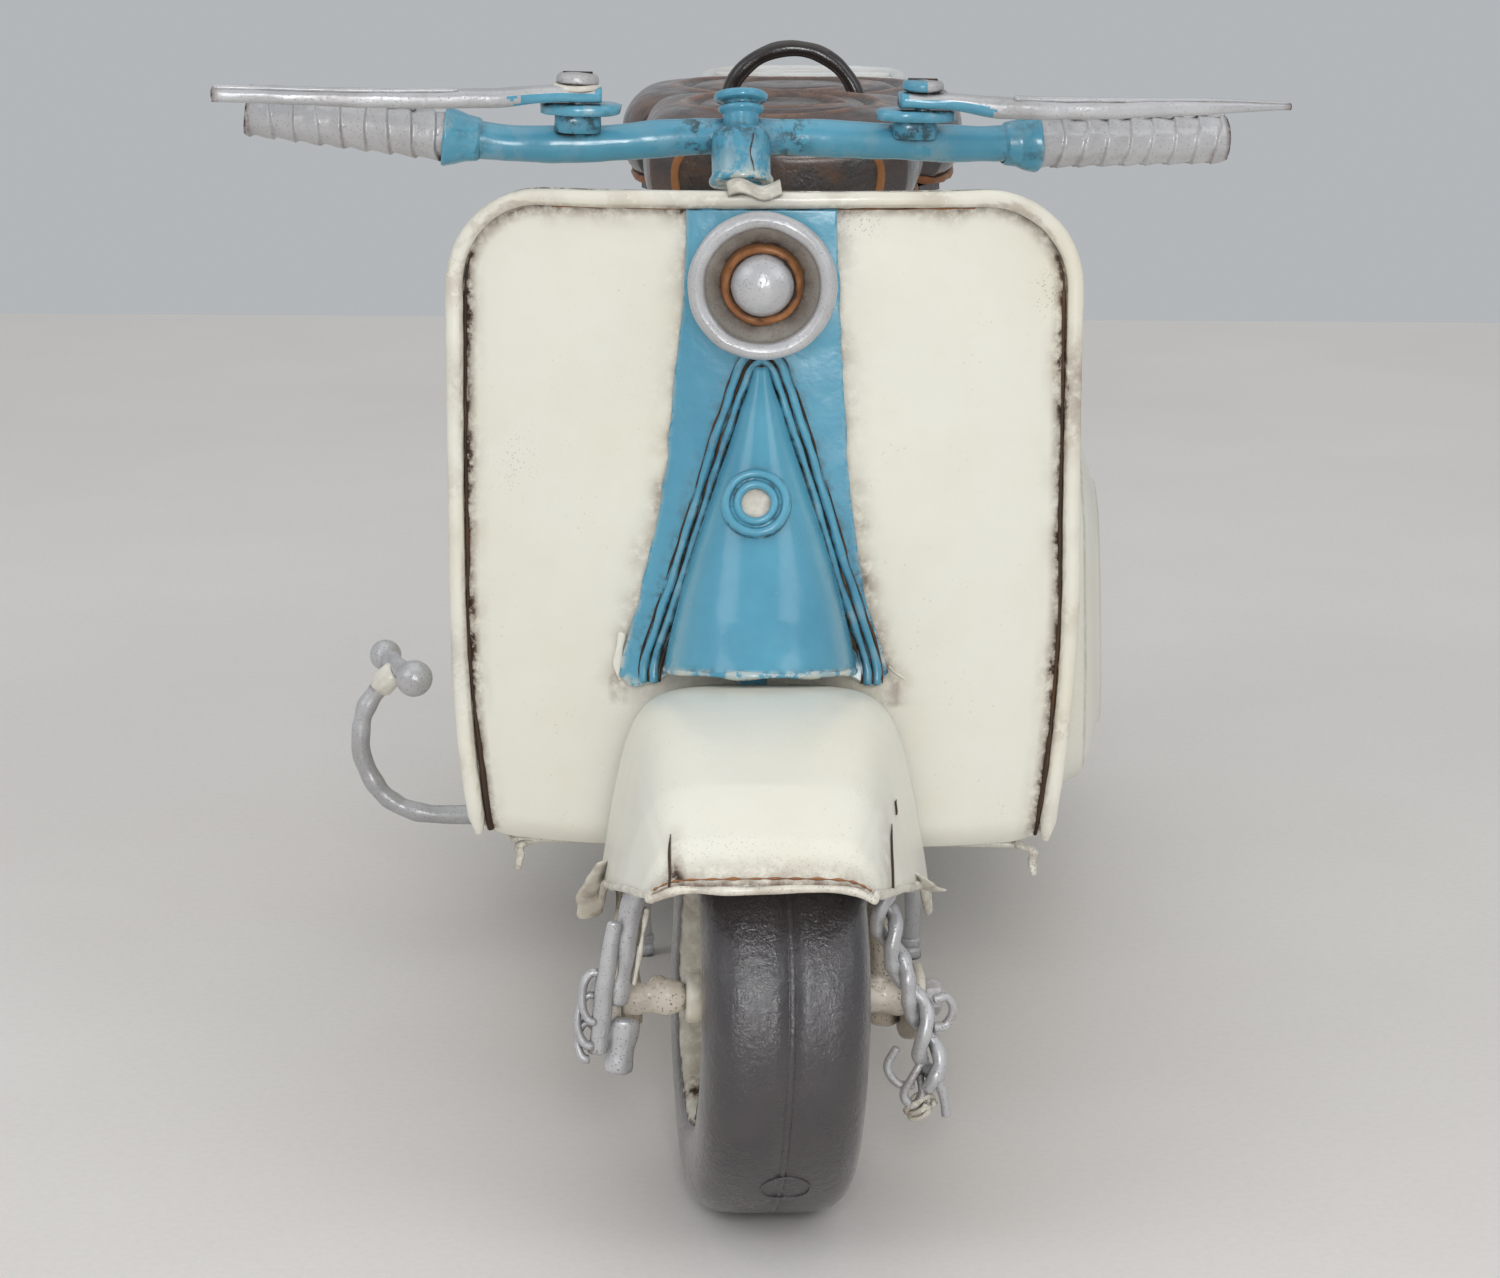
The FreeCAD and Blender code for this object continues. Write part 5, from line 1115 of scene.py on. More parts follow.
# two-wire twisted strand on the rider's left
B = Builder()
strand(B, [P(12.9, -5.6, 41.5), P(14.7, -6.4, 34.0), P(18.2, -7.0, 26.0), P(20.2, -7.2, 17.6)], 0.8, 2.3, 0.98, 0.6)
tails = [
    ([P(20.0, -7.4, 19.0), P(21.2, -7.6, 16.6), P(21.8, -7.4, 13.6)], 0.62),
    ([P(19.0, -6.8, 21.0), P(17.4, -7.6, 18.6), P(16.4, -7.4, 16.4), P(17.6, -7.0, 14.8), P(18.8, -6.8, 16.0), P(18.4, -6.6, 18.6)], 0.55),
    ([P(19.8, -7.0, 28.4), P(21.4, -6.8, 28.6), P(22.2, -6.6, 26.8), P(21.4, -6.6, 25.0), P(19.9, -6.8, 24.8)], 0.60),
    ([P(15.4, -6.6, 22.0), P(14.4, -6.4, 19.6), P(15.6, -6.8, 17.6), P(17.6, -7.2, 17.4)], 0.55)]
for pts, r in tails:
    v, f = tube_geo(smooth_path(pts, 34), r, 9, wob=0.22, seed=r * 10)
    B.add(v, f, rust=[0.45 * max(0.0, nz(p, 0.4, 6) + 0.3) for p in v], speck=[0.5] * len(v))
ob = B.build("twisted_wire_pair", SILVER, "steering", STEER, slot="silver_paint")
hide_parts("twisted_strand")
B = Builder()
for k in range(4):
    c = P(18.6 + 0.7 * math.sin(k * 2.1), -6.7 + 0.3 * math.cos(k * 1.7), 14.9 - 0.45 * k + 0.6 * math.sin(k))
    pts = [c + Vector((1.15 * math.cos(a), 0.5 * math.sin(a * 1.5 + k), 0.85 * math.sin(a + 0.3 * k))) for a in [TAU * q / 16 for q in range(17)]]
    v, f = tube_geo(pts, 0.36, 7, wob=0.6, seed=k)
    B.add(v, f, rust=[0.5 + 0.4 * nz(p, 0.5, 3) for p in v], speck=[0.6] * len(v))
B.build("wire_knot", CREAM_BEAD, "steering", STEER, slot="cream_paint")

# silver strip, its cream edge and wire loops on the rider's right
B = Builder()
pts = smooth_path([P(-17.0, -5.4, 42.0), P(-17.9, -5.2, 36.5), P(-18.7, -5.0, 31.0), P(-19.2, -5.2, 27.6)], 40)
v, f = tube_geo(pts, lambda t: 1.45 + 0.1 * math.sin(t * 17), 14, flat=0.62, wob=0.2, seed=3)
B.add(v, f, speck=[0.4] * len(v), rust=[0.2 * max(0.0, nz(p, 0.4, 6)) for p in v])
pts = smooth_path([P(-19.6, -6.4, 38.0), P(-20.4, -6.4, 32.0), P(-21.0, -6.4, 26.0), P(-21.4, -6.2, 21.6)], 40)
v, f = tube_geo(pts, lambda t: 0.95 + 0.3 * t, 12, flat=0.45, wob=0.25, seed=5)
B.add(v, f, speck=[0.4] * len(v), rust=[0.3 * max(0.0, nz(p, 0.4, 2)) for p in v])
pts = smooth_path([P(-18.0, -5.4, 25.2), P(-18.2, -5.4, 23.0), P(-18.5, -5.4, 20.6), P(-18.7, -5.4, 19.0)], 26)
v, f = tube_geo(pts, lambda t: 1.75 + 0.1 * math.sin(t * 9), 14, flat=0.55, wob=0.15, seed=6)
B.add(v, f, speck=[0.6] * len(v), rust=[0.35 * max(0.0, nz(p, 0.4, 3)) for p in v])
for k, (cx, cz, rx, rz) in enumerate(((-21.9, 28.6, 1.5, 3.0), (-22.2, 25.6, 1.7, 3.1), (-22.6, 23.0, 1.2, 2.2))):
    pts = [P(cx + rx * math.cos(a), -6.1 + 0.5 * math.sin(a), cz + rz * math.sin(a)) for a in [math.radians(-40 + 320 * q / 24.0) for q in range(25)]]
    v, f = tube_geo(pts, 0.5, 9, wob=0.3, seed=k)
    B.add(v, f, speck=[0.4] * len(v), rust=[0.5 * max(0.0, nz(p, 0.5, 3)) for p in v])
ob = B.build("fork_strip_and_loops", SILVER, "steering", STEER, slot="silver_paint")
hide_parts("fork_strut")
B = Builder()
pts = smooth_path([P(-18.1, -5.4, 39.6), P(-18.7, -5.6, 36.0), P(-19.9, -5.9, 31.0), P(-20.2, -6.1, 28.0)], 40)
v, f = tube_geo(pts, lambda t: 0.42 + 0.14 * math.sin(t * 23), 8, flat=0.6, wob=0.7, seed=7)
B.add(v, f, rust=[0.75 * max(0.0, nz(p, 0.4, 9) + 0.35) for p in v])
pts = smooth_path([P(-15.7, -5.4, 39.6), P(-16.2, -5.3, 35.5), P(-17.0, -5.4, 30.0)], 30)
v, f = tube_geo(pts, 0.35, 8, wob=0.7, seed=8)
B.add(v, f, rust=[0.75 * max(0.0, nz(p, 0.4, 9) + 0.35) for p in v])
B.build("fork_strip_edges", CREAM_BEAD, "steering", STEER, slot="cream_paint")

# ------------------------------------------------------------------ handlebar and column
BAR = [P(-38.2, 56.2, 125.6), P(-30.0, 55.3, 125.0), P(-20.0, 54.5, 125.2), P(-8.0, 54.4, 126.3), P(0.0, 54.4, 126.6), P(8.0, 54.4, 126.5), P(20.0, 54.5, 126.2), P(30.0, 55.3, 126.0), P(38.2, 56.2, 126.2)]
bar = smooth_path(BAR, 150)
v, f = tube_geo(bar, lambda s: 2.42 + 0.07 * math.sin(s * 40), 24, wob=0.05, seed=2)
g = []
# darker beside the column neck and towards the grip ferrules: painted shade where parts meet
for p in v:
    d = abs(abs(p[0] + 0.3) - 6.2)
    g.append(min(1.0, 0.85 * max(0.0, 1 - d / 3.6) + 0.5 * max(0.0, 1 - abs(abs(p[0]) - 35) / 2.5)))
ob = Builder().add(v, f, grime=g, chip=[0.3 * max(0.0, nz(p, 0.18, 3)) for p in v]).build("handlebar_tube", BLUE, "steering", STEER, slot="blue_paint")
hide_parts("handlebar")
col = az(121.0) + Vector((-0.8, 0, 0))
prof = round_profile([(-0.2, 2.0), (-0.2, 4.1), (0.5, 4.25), (1.0, 3.85), (6.0, 3.8), (6.5, 3.55), (7.2, 2.7), (7.2, 2.0)], 0.3)
v, f = lathe_geo(prof, col, AXIS_S, 56, wob=0.14, seed=3)
cc, gg = [], []
for p in v:
    a = (Vector(p) - col).dot(AXIS_S)
    cc.append(0.8 * max(0.0, 1 - a / 2.0))
    # darker at the top where the neck sits: painted shade where parts meet, with noisy dirt
    gg.append(min(1.0, 0.7 * max(0.0, 1 - abs(a - 6.3) / 1.6) + 0.5 * max(0.0, nz(p, 0.25, 2))))
ob = Builder().add(v, f, chip=cc, grime=gg).build("column_collar_sleeve", BLUE, "steering", STEER, slot="blue_paint")
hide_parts("column_collar")
# dark line in the collar's seam crack: painted shade with grime
pts = [col + AXIS_S * lerp(0.2, 6.2, k / 20.0) + Vector((1.0 + 0.22 * math.sin(k * 0.4), -3.74, 0.9)) for k in range(21)]
v, f = tube_geo(pts, lambda s: 0.075 + 0.02 * math.sin(s * 20), 6, wob=0.2)
make("collar_seam", v, f, GAP, "steering", STEER)
n0 = az(121.0) + AXIS_S * 6.45 + Vector((-0.8, 0, 0))
prof = round_profile([(-1.0, 2.3), (2.6, 2.35), (3.1, 3.0), (3.6, 3.0), (3.8, 2.35), (4.2, 2.5), (4.5, 3.45), (5.1, 3.55), (5.5, 3.2), (5.3, 2.2), (5.35, 0.0)], 0.18)
v, f = lathe_geo(prof, n0, AXIS_S, 44, wob=0.16, seed=5)
# dark in the groove and at the foot of the neck: painted shade
gg = [min(1.0, 0.6 * max(0.0, 1 - abs((Vector(p) - n0).dot(AXIS_S) - 3.9) / 0.7) + 0.6 * max(0.0, 1 - (Vector(p) - n0).dot(AXIS_S) / 1.5)) for p in v]
ob = Builder().add(v, f, grime=gg).build("column_neck_and_cap", BLUE, "steering", STEER, slot="blue_paint")
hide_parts("column_cap")

for side, s in (("left", 1), ("right", -1)):
    p0 = P(s * 38.4, 56.25, 126.2 if s > 0 else 125.6)
    p1 = P(s * 64.0, 59.0, 127.0 if s > 0 else 128.1)
    d = (p1 - p0).normalized()
    u = d.cross(Vector((0, 0, 1))).normalized()
    w = d.cross(u)
    F, Bk, rs = [], [], []
    nseg, nl = 60, 190
    for j in range(nl):
        t = j / (nl - 1)
        ro, ri = [], []
        for i in range(nseg):
            a = TAU * i / nseg
            ph = (t * 8.6 + (a / TAU) * s + 0.13 * nz((t * 20, math.cos(a), math.sin(a)), 0.7, 3)) % 1.0
            ridge = 0.42 * (1 - ph) ** 1.3 if ph > 0.08 else 0.42 * (ph / 0.08) * 0.92
            seam = 0.35 * math.exp(-((a - 1.1) / 0.10) ** 2)
            r = 2.98 + ridge + seam + 0.10 * nz((t * 18, math.cos(a) * 3, math.sin(a) * 3), 0.9, 7)
            if t > 0.97:
                r -= (t - 0.97) * 8
            c = p0 + d * (26.5 * t)
            ro.append(c + (u * math.cos(a) + w * math.sin(a)) * r)
            ri.append(c + (u * math.cos(a) + w * math.sin(a)) * (r - 0.55 if t > 0.5 else 2.42))
            rs.append(min(1.0, (0.55 if ph < 0.10 else 0.12) * max(0.0, nz((t * 26, a, 0), 0.5, 9) + 0.35) + 0.9 * max(0.0, 1 - (1 - t) / 0.03) + 0.3 * max(0.0, 1 - t / 0.04)))
        F.append(ro)
        Bk.append(ri)
    v, f = shell_geo(F, nseg, nl, Bk, closed_u=True)
    ob = Builder().add(v, f, rust=rs + [0.6] * len(rs), speck=[0.35] * (2 * len(rs))).build("grip_wrapped_" + side, SILVER, "steering", STEER, slot="silver_paint")
    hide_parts("grip_" + side)
    # plug a little way inside the open end
    v, f = lathe_geo([(0.0, 2.6), (0.2, 1.6), (0.25, 0.0)], p0 + d * 24.6, d, 24, wob=0.1)
    Builder().add(v, f, rust=[0.8] * len(v)).build("grip_plug_" + side, DARK, "steering", STEER)
    # loose rolled edge along the top of the grip
    pts = [p0 + d * (26.5 * lerp(0.18, 0.985, k / 70.0)) + Vector((0, -0.6, 3.05 + 0.30 * math.sin(k * 0.55) + 0.25 * nz((k * 0.4, 0, s), 0.7, 5))) for k in range(71)]
    v, f = tube_geo(pts, lambda t: 0.55 + 0.12 * math.sin(t * 60), 10, flat=0.75, wob=0.4, seed=s)
    Builder().add(v, f, rust=[0.45 * max(0.0, nz(p, 0.4, 2) + 0.2) for p in v], speck=[0.4] * len(v)).build("grip_rolled_edge_" + side, SILVER, "steering", STEER, slot="silver_paint")
B = Builder()
for s in (1, -1):
    q1 = P(s * 38.2, 56.2, 126.2 if s > 0 else 125.6)
    d = (P(s * 64.0, 59.0, 127.0 if s > 0 else 128.1) - P(s * 38.4, 56.25, 126.2 if s > 0 else 125.6)).normalized()
    prof = round_profile([(-4.0, 2.45), (-3.6, 2.85), (-2.0, 3.1), (-0.8, 3.6), (0.6, 4.0), (0.9, 3.75), (0.5, 3.2)], 0.25)
    v, f = lathe_geo(prof, q1, d, 44, wob=0.30, seed=4 + s)
    B.add(v, f, grime=[0.4 * max(0.0, nz(p, 0.3, 3) + 0.4) for p in v], chip=[0.5 * max(0.0, nz(p, 0.4, 5)) for p in v])
ob = B.build("grip_flared_ferrules", BLUE, "steering", STEER, slot="blue_paint")
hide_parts("grip_ferrules")


def plate_ring(cx, cv, z, rx, rv, th, ang=0.0, power=2.6, n=40, wob=0.0, seed=0.0):
    vv, ff = [], []
    for zz, k in ((z, 0.9), (z + 0.18, 1.0), (z + th - 0.18, 1.0), (z + th, 0.9)):
        for i in range(n):
            a = TAU * i / n
            c, s = math.cos(a), math.sin(a)
            rr = (abs(c) ** power + abs(s) ** power) ** (-1.0 / power)
            x, y = rx * k * rr * c, rv * k * rr * s
            e = 1 + wob * nz((x, y, zz), 0.4, seed)
            vv.append(P(cx + (x * math.cos(ang) - y * math.sin(ang)) * e, cv + (x * math.sin(ang) + y * math.cos(ang)) * e, zz))
    for j in range(3):
        for i in range(n):
            ff.append((j * n + i, j * n + (i + 1) % n, (j + 1) * n + (i + 1) % n, (j + 1) * n + i))
    ff.append(tuple(range(n)))
    ff.append(tuple(reversed(range(3 * n, 4 * n))))
    return vv, ff


B = Builder()
for s in (1, -1):
    v, f = plate_ring(s * 22.0, 50.4, 129.45, 5.2, 3.3, 1.5, 0.1 * s, 2.4, 44, 0.12, s)
    B.add(v, f, grime=[0.4 * max(0.0, nz(p, 0.4, 3) + 0.3) for p in v], chip=[0.45 * max(0.0, nz(p, 0.5, 4)) for p in v])
    # the block under each bracket plate is darkened throughout: painted shade under the plate
    v, f = plate_ring(s * 22.0, 53.2, 126.8, 3.0, 2.2, 3.0, 0.0, 3.0, 36, 0.1, s + 5)
    B.add(v, f, grime=[0.7] * len(v))
ob = B.build("lever_bracket_plates", BLUE, "steering", STEER, slot="blue_paint")
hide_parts("lever_brackets")
B = Builder()
for s in (1, -1):
    c = P(s * 22.4, 49.4, 131.0)
    v, f = lathe_geo(round_profile([(-1.5, 1.0), (2.35, 1.0), (2.4, 2.3), (2.7, 2.75), (3.5, 2.7), (3.85, 2.35), (4.0, 1.2), (4.0, 0.0)], 0.25), c, (0, 0, 1), 30, wob=0.22, seed=s)
    mi = [0] * len(f)
    half = s > 0
    fm = []
    for q in f:
        cx = sum(Vector(v[i]).x for i in q) / len(q)
        fm.append(1 if (half and cx < c.x) else 0)
    o = len(B.v)
    B.add(v, f, 0, rust=[0.2] * len(v), speck=[0.4] * len(v))
    B.m[-len(f):] = fm
    if not half:
        v, f = lathe_geo(round_profile([(1.9, 1.0), (1.9, 3.15), (2.3, 3.2), (2.55, 2.9), (2.55, 1.0)], 0.15), c, (0, 0, 1), 30, wob=0.3, seed=9)
        B.add(v, f, 2, rust=[0.3] * len(v))
    # slot across the head: a dark bar painted as the shade in the slot
    v, f = shell_geo([[c + Vector((lerp(-1.9, 1.9, i / 6.0), -0.28, 4.02)), ] for i in range(0)] or [[c + Vector((lerp(-1.9, 1.9, i / 6.0), -0.28, 4.03)) for i in range(7)], [c + Vector((lerp(-1.9, 1.9, i / 6.0), 0.28, 4.03)) for i in range(7)]],
                     7, 2, [[c + Vector((lerp(-1.9, 1.9, i / 6.0), -0.28, 3.7)) for i in range(7)], [c + Vector((lerp(-1.9, 1.9, i / 6.0), 0.28, 3.7)) for i in range(7)]])
    B.add(v, f, 3)
ob = B.build("lever_bolt_heads", [SILVER, BLUE, CREAM_BEAD, GAP], "steering", STEER, slot="silver_paint")
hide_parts("lever_bolts")


def lever_mesh(name, node, body, s, rows, fold):
    n, nl = 22, 110
    F, bl = [], []
    for j in range(nl):
        x = lerp(rows[0][0], rows[-1][0], j / (nl - 1))
        v_, z_, w_, t_ = table(rows, x)
        ring = []
        for i in range(n):
            a = TAU * i / n
            c, q = math.cos(a), math.sin(a)
            rr = (abs(c) ** 3.4 + abs(q) ** 3.4) ** (-1.0 / 3.4)
            e = 1 + 0.06 * nz((x, c * 3, q * 3), 0.25, 3 + s)
            ring.append(P(s * x, v_ + w_ / 2 * rr * c * e, z_ + t_ / 2 * rr * q * e + 0.10 * nz((x, 0, 0), 0.12, s)))
        F.append(ring)
    vv, ff = [], []
    for r in F:
        vv += r
    for j in range(nl - 1):
        for i in range(n):
            ff.append((j * n + i, j * n + (i + 1) % n, (j + 1) * n + (i + 1) % n, (j + 1) * n + i))
    ff.append(tuple(range(n)))
    ff.append(tuple(reversed(range((nl - 1) * n, nl * n))))
    fm = []
    for q in ff:
        c = sum((Vector(vv[i]) for i in q), Vector((0, 0, 0))) / len(q)
        lim = 31.0 + 3.0 * nz((c.x * 0.6, c.y, c.z), 0.7, 2)
        fm.append(1 if (abs(c.x) < lim and (c.z < table(rows, min(max(abs(c.x), rows[0][0]), rows[-1][0]))[1] + 0.2 or abs(c.x) < 20.2)) else 0)
    B = Builder()
    tip = rows[-1][0]
    B.add(vv, ff, 0, rust=[min(1.0, 0.8 * max(0.0, 1 - (tip - abs(p[0])) / 1.2) + 0.25 * max(0.0, nz(p, 0.2, 3))) for p in vv], speck=[0.3] * len(vv))
    B.m = fm
    if fold:
        # folded-over seam running to the pointed end
        pts = [P(s * x, table(rows, x)[0] - table(rows, x)[2] * 0.32, table(rows, x)[1] + table(rows, x)[3] * 0.5) for x in [lerp(34.0, tip - 0.6, k / 60.0) for k in range(61)]]
        v, f = tube_geo(pts, lambda t: 0.42 * (1 - 0.5 * t), 8, wob=0.4, seed=2)
        B.add(v, f, 0, speck=[0.3] * len(v))
    else:
        pts = [P(s * x, table(rows, x)[0] - table(rows, x)[2] * 0.30, table(rows, x)[1] + table(rows, x)[3] * 0.5) for x in [lerp(38.0, tip - 0.3, k / 60.0) for k in range(61)]]
        v, f = tube_geo(pts, 0.34, 8, wob=0.4, seed=3)
        B.add(v, f, 0, speck=[0.3] * len(v))
        # dark cap at the lever's open tip: painted shade in the end
        v, f = lathe_geo([(0.0, 0.75), (0.12, 0.5), (0.14, 0.0)], P(s * tip, rows[-1][1], rows[-1][2]), (s, 0, 0), 16)
        B.add(v, f, 2)
    ob = B.build(name, [SILVER, BLUE, GAP], body, STEER, slot="silver_paint")
    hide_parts(node)


ZC = 132.2
lever_mesh("clutch_lever_blade", "clutch_lever", "clutch_lever_body", 1,
           [(19.4, 49.0, ZC, 4.2, 2.1), (22.5, 49.2, ZC, 5.2, 2.1), (26.0, 48.7, ZC, 5.0, 2.1), (32.0, 47.6, ZC - 0.6, 4.7, 2.7), (46.0, 47.0, ZC - 0.4, 3.9, 2.5), (60.0, 47.4, ZC + 0.1, 3.1, 1.9), (70.8, 48.0, ZC + 0.3, 1.7, 0.9)], True)
lever_mesh("brake_lever_blade", "brake_lever", "brake_lever_body", -1,
           [(19.4, 49.0, ZC, 4.2, 2.1), (22.5, 49.2, ZC, 5.2, 2.1), (26.0, 48.7, ZC, 5.0, 2.1), (34.0, 47.2, ZC - 0.6, 4.3, 2.4), (48.0, 46.2, ZC - 0.8, 3.7, 2.2), (60.0, 46.2, ZC - 0.7, 3.3, 2.0), (69.0, 46.4, ZC - 0.6, 3.0, 1.9)], False)

# ------------------------------------------------------------------ seats
DRIVER = [(97.0, 14.5, 111.8, 120.5), (99.5, 18.2, 110.6, 123.2), (106.0, 19.6, 110.6, 124.6), (116.0, 20.2, 110.8, 124.6), (127.0, 20.6, 110.8, 124.8), (131.5, 19.0, 110.9, 123.6), (133.5, 16.0, 111.8, 121.0)]
PILLION = [(146.0, 19.0, 109.5, 117.5), (148.5, 23.5, 108.6, 120.4), (156.0, 26.0, 108.5, 121.8), (168.0, 26.4, 108.5, 122.0), (180.0, 25.4, 108.5, 121.6), (186.5, 22.5, 108.6, 120.0), (189.0, 18.0, 109.6, 117.0)]
SPROF = [(0.0, 0.0, 1.0), (0.22, 0.42, 0.995), (0.42, 0.74, 0.975), (0.56, 0.90, 0.90), (0.70, 0.985, 0.70), (0.82, 1.0, 0.45), (0.93, 0.97, 0.18), (1.0, 0.88, 0.0)]


def seat(name, node, rows, cx, cv, rx, rv, rings):
    nu, nv = 130, 110
    v0, v1 = rows[0][0], rows[-1][0]
    F, Bk, chip, grime = [], [], [], []
    for j in range(nv):
        t = j / (nv - 1)
        vv = lerp(v0, v1, 0.5 - 0.5 * math.cos(math.pi * t))
        w, zl, zt = table(rows, vv)
        ro, ri = [], []
        for i in range(nu):
            s = 2 * i / (nu - 1) - 1
            fx, fz = table(SPROF, abs(s))
            x = (1 if s > 0 else -1) * fx * w
            z = zl + fz * (zt - zl)
            r = math.hypot((x - cx) / rx, (vv - cv) / rv)
            top = max(0.0, min(1.0, (fz - 0.85) / 0.1))
            dz, g, c = 0.0, 0.0, 0.0
            # pressed grooves: each groove is marked for painted shade, the raised ridge beside it for a painted
            # highlight with rubbed wear
            for rr in rings:
                dz -= 0.55 * math.exp(-((r - rr) / 0.045) ** 2) * top
                dz += 0.28 * math.exp(-((r - rr - 0.10) / 0.05) ** 2) * top
                g = max(g, math.exp(-((r - rr) / 0.05) ** 2) * top)
                c = max(c, math.exp(-((r - rr - 0.10) / 0.05) ** 2) * top)
            z += dz + 0.12 * nz((x, vv, 0), 0.12, 3)
            ro.append(P(x, vv, z))
            ri.append(P(x * 0.965, lerp(vv, cv, 0.03), max(zl, z - 0.7)))
            chip.append(min(1.0, 0.75 * c + 0.6 * max(0.0, nz((x, vv, z), 0.12, 8) - 0.1)))
            # painted shade in the grooves and along the lower edge of the seat
            grime.append(min(1.0, 0.8 * g + 0.8 * max(0.0, 1 - fz / 0.15)))
        F.append(ro)
        Bk.append(ri)
    v, f = shell_geo(F, nu, nv, Bk)
    n = len(chip)
    # the underside is darkened as painted shade
    ob = Builder().add(v, f, chip=chip + [0.0] * n, grime=grime + [0.8] * n).build(name, SEAT, "chassis", slot="seat_paint")
    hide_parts(node)
    # end walls
    for jj, nm in ((0, "front"), (nv - 1, "back")):
        edge = F[jj]
        m = len(edge)
        vv = rows[0][0] if jj == 0 else rows[-1][0]
        w, zl, zt = table(rows, vv)
        sgn = -1 if jj == 0 else 1
        wall = [[Vector((lerp(p.x, 0.0, k / 12.0), p.y + sgn * (0.9 * math.sin(math.pi * (k / 12.0) / 2) * (1 - (2 * (p.z - zl) / (zt - zl) - 1) ** 4)), p.z + 0.10 * nz((p.x * (1 - k / 12.0), 0, p.z), 0.2, 3))) for p in edge] for k in range(13)]
        vs_, fs_ = [], []
        for r in wall:
            vs_ += r
        for k in range(12):
            for i in range(m - 1):
                fs_.append((k * m + i, k * m + i + 1, (k + 1) * m + i + 1, (k + 1) * m + i))
        Builder().add(vs_, fs_, chip=[0.5 * max(0.0, nz(p, 0.2, 4)) for p in vs_], grime=[0.2] * len(vs_)).build(name + "_" + nm, SEAT, "chassis", slot="seat_paint")
        # rolled piping round the end
        v, f = tube_geo([p + Vector((0, sgn * 0.15, 0)) for p in edge[::3]], 0.62, 8, wob=0.35, seed=jj)
        Builder().add(v, f, rust=[0.5 * max(0.0, nz(p, 0.2, 6) + 0.2) for p in v]).build(name + "_piping_" + nm, RUSTY if "driver" in name else SEAT, "chassis", slot="rusty_ring" if "driver" in name else "seat_paint")
    low = []
    for k in range(60):
        vv = lerp(v0 + 0.4, v1 - 0.4, k / 59.0)
        w, zl, zt = table(rows, vv)
        low.append((w * 0.93, vv, zl + 0.5))
    for sgn, nm in ((1, "left"), (-1, "right")):
        v, f = tube_geo([P(sgn * x, vv, z) for x, vv, z in low], 0.6, 8, wob=0.4, seed=sgn)
        Builder().add(v, f, rust=[0.5] * len(v)).build(name + "_hem_" + nm, RUSTY, "chassis", slot="rusty_ring")


seat("driver_seat_pressing", "driver_seat", DRIVER, 0.0, 115.5, 17.0, 15.5, (0.42, 0.74))
seat("pillion_seat_pressing", "pillion_seat", PILLION, 0.0, 167.0, 22.0, 18.0, (0.42, 0.74))

# coil springs under the saddle
B = Builder()
for x, vv, zb_ in ((0.0, 105.0, 97.0), (-11.0, 125.0, 98.6), (11.0, 125.0, 98.6)):
    z0_, z1_ = zb_ - 0.6, 109.3
    n = 110
    pts = [P(x + 2.25 * math.cos(TAU * 4.5 * k / n), vv + 2.25 * math.sin(TAU * 4.5 * k / n), lerp(z0_, z1_, k / n)) for k in range(n + 1)]
    v, f = tube_geo(pts, 0.5, 8, wob=0.2)
    B.add(v, f, rust=[0.4 * max(0.0, nz(p, 0.3, 2) + 0.2) for p in v])
    for zz in (z0_ + 0.2, z1_ - 0.2):
        v, f = lathe_geo(round_profile([(-0.4, 0.0), (-0.4, 2.9), (0.4, 2.9), (0.4, 0.0)], 0.2), P(x, vv, zz), (0, 0, 1), 24)
        B.add(v, f, rust=[0.5] * len(v))
ob = B.build("saddle_coil_springs", DARK, "chassis", slot="dark_paint")
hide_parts("seat_springs")
B = Builder()
for x in (-12.0, 12.0):
    for vv in (156.0, 176.0):
        v, f = tube_geo([P(x, vv, 96.0), P(x, vv, 101.0), P(x * 1.02, vv, 107.2)], 1.5, 12, flat=0.55, wob=0.1)
        B.add(v, f, rust=[0.4] * len(v))
        v, f = plate_ring(x, vv, 106.4, 3.2, 2.6, 0.8, 0, 3.0, 24)
        B.add(v, f, rust=[0.5] * len(v))
ob = B.build("pillion_bent_struts", DARK, "chassis", slot="dark_paint")
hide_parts("pillion_struts")

# grab handle
pts = [P(0.7 - 10.15, 139.5, lerp(100.9, 119.9, k / 14.0)) for k in range(15)]
pts += [P(0.7 - 10.15 * math.cos(a), 139.5, 119.9 + 10.15 * math.sin(a)) for a in [math.pi * k / 44.0 for k in range(1, 44)]]
pts += [P(0.7 + 10.15, 139.5, lerp(119.9, 100.9, k / 14.0)) for k in range(15)]
v, f = tube_geo(pts, lambda s: 1.22 + 0.05 * math.sin(s * 44), 16, wob=0.08, seed=3)
ob = Builder().add(v, f, speck=[0.25 * max(0.0, nz(p, 0.2, 3) + 0.2) for p in v]).build("grab_handle_hoop", BLACK, "chassis", slot="black_paint")
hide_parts("grab_handle")

# rear rack
B = Builder()
rack = [P(-14.8, 199.0, 117.2), P(-16, 206.0, 117.2), P(-16, 216.0, 117.2), P(-16, 226.0, 117.2), P(-11.5, 232.4, 117.2), P(0, 234.0, 117.2), P(11.5, 232.4, 117.2), P(16, 226.0, 117.2), P(16, 216.0, 117.2), P(16, 206.0, 117.2), P(14.8, 199.0, 117.2)]
v, f = tube_geo(smooth_path(rack, 100), 1.1, 14, wob=0.12, seed=2)
B.add(v, f, rust=[0.3 * max(0.0, nz(p, 0.2, 3)) for p in v])
for vv in (203.0, 211.0, 219.0, 227.0):
    v, f = tube_geo([P(lerp(-15.4, 15.4, k / 10.0), vv, 117.2 + 0.1 * math.sin(k)) for k in range(11)], 0.9, 10, flat=0.7, wob=0.15, seed=vv)
    B.add(v, f, rust=[0.3 * max(0.0, nz(p, 0.2, 3)) for p in v])
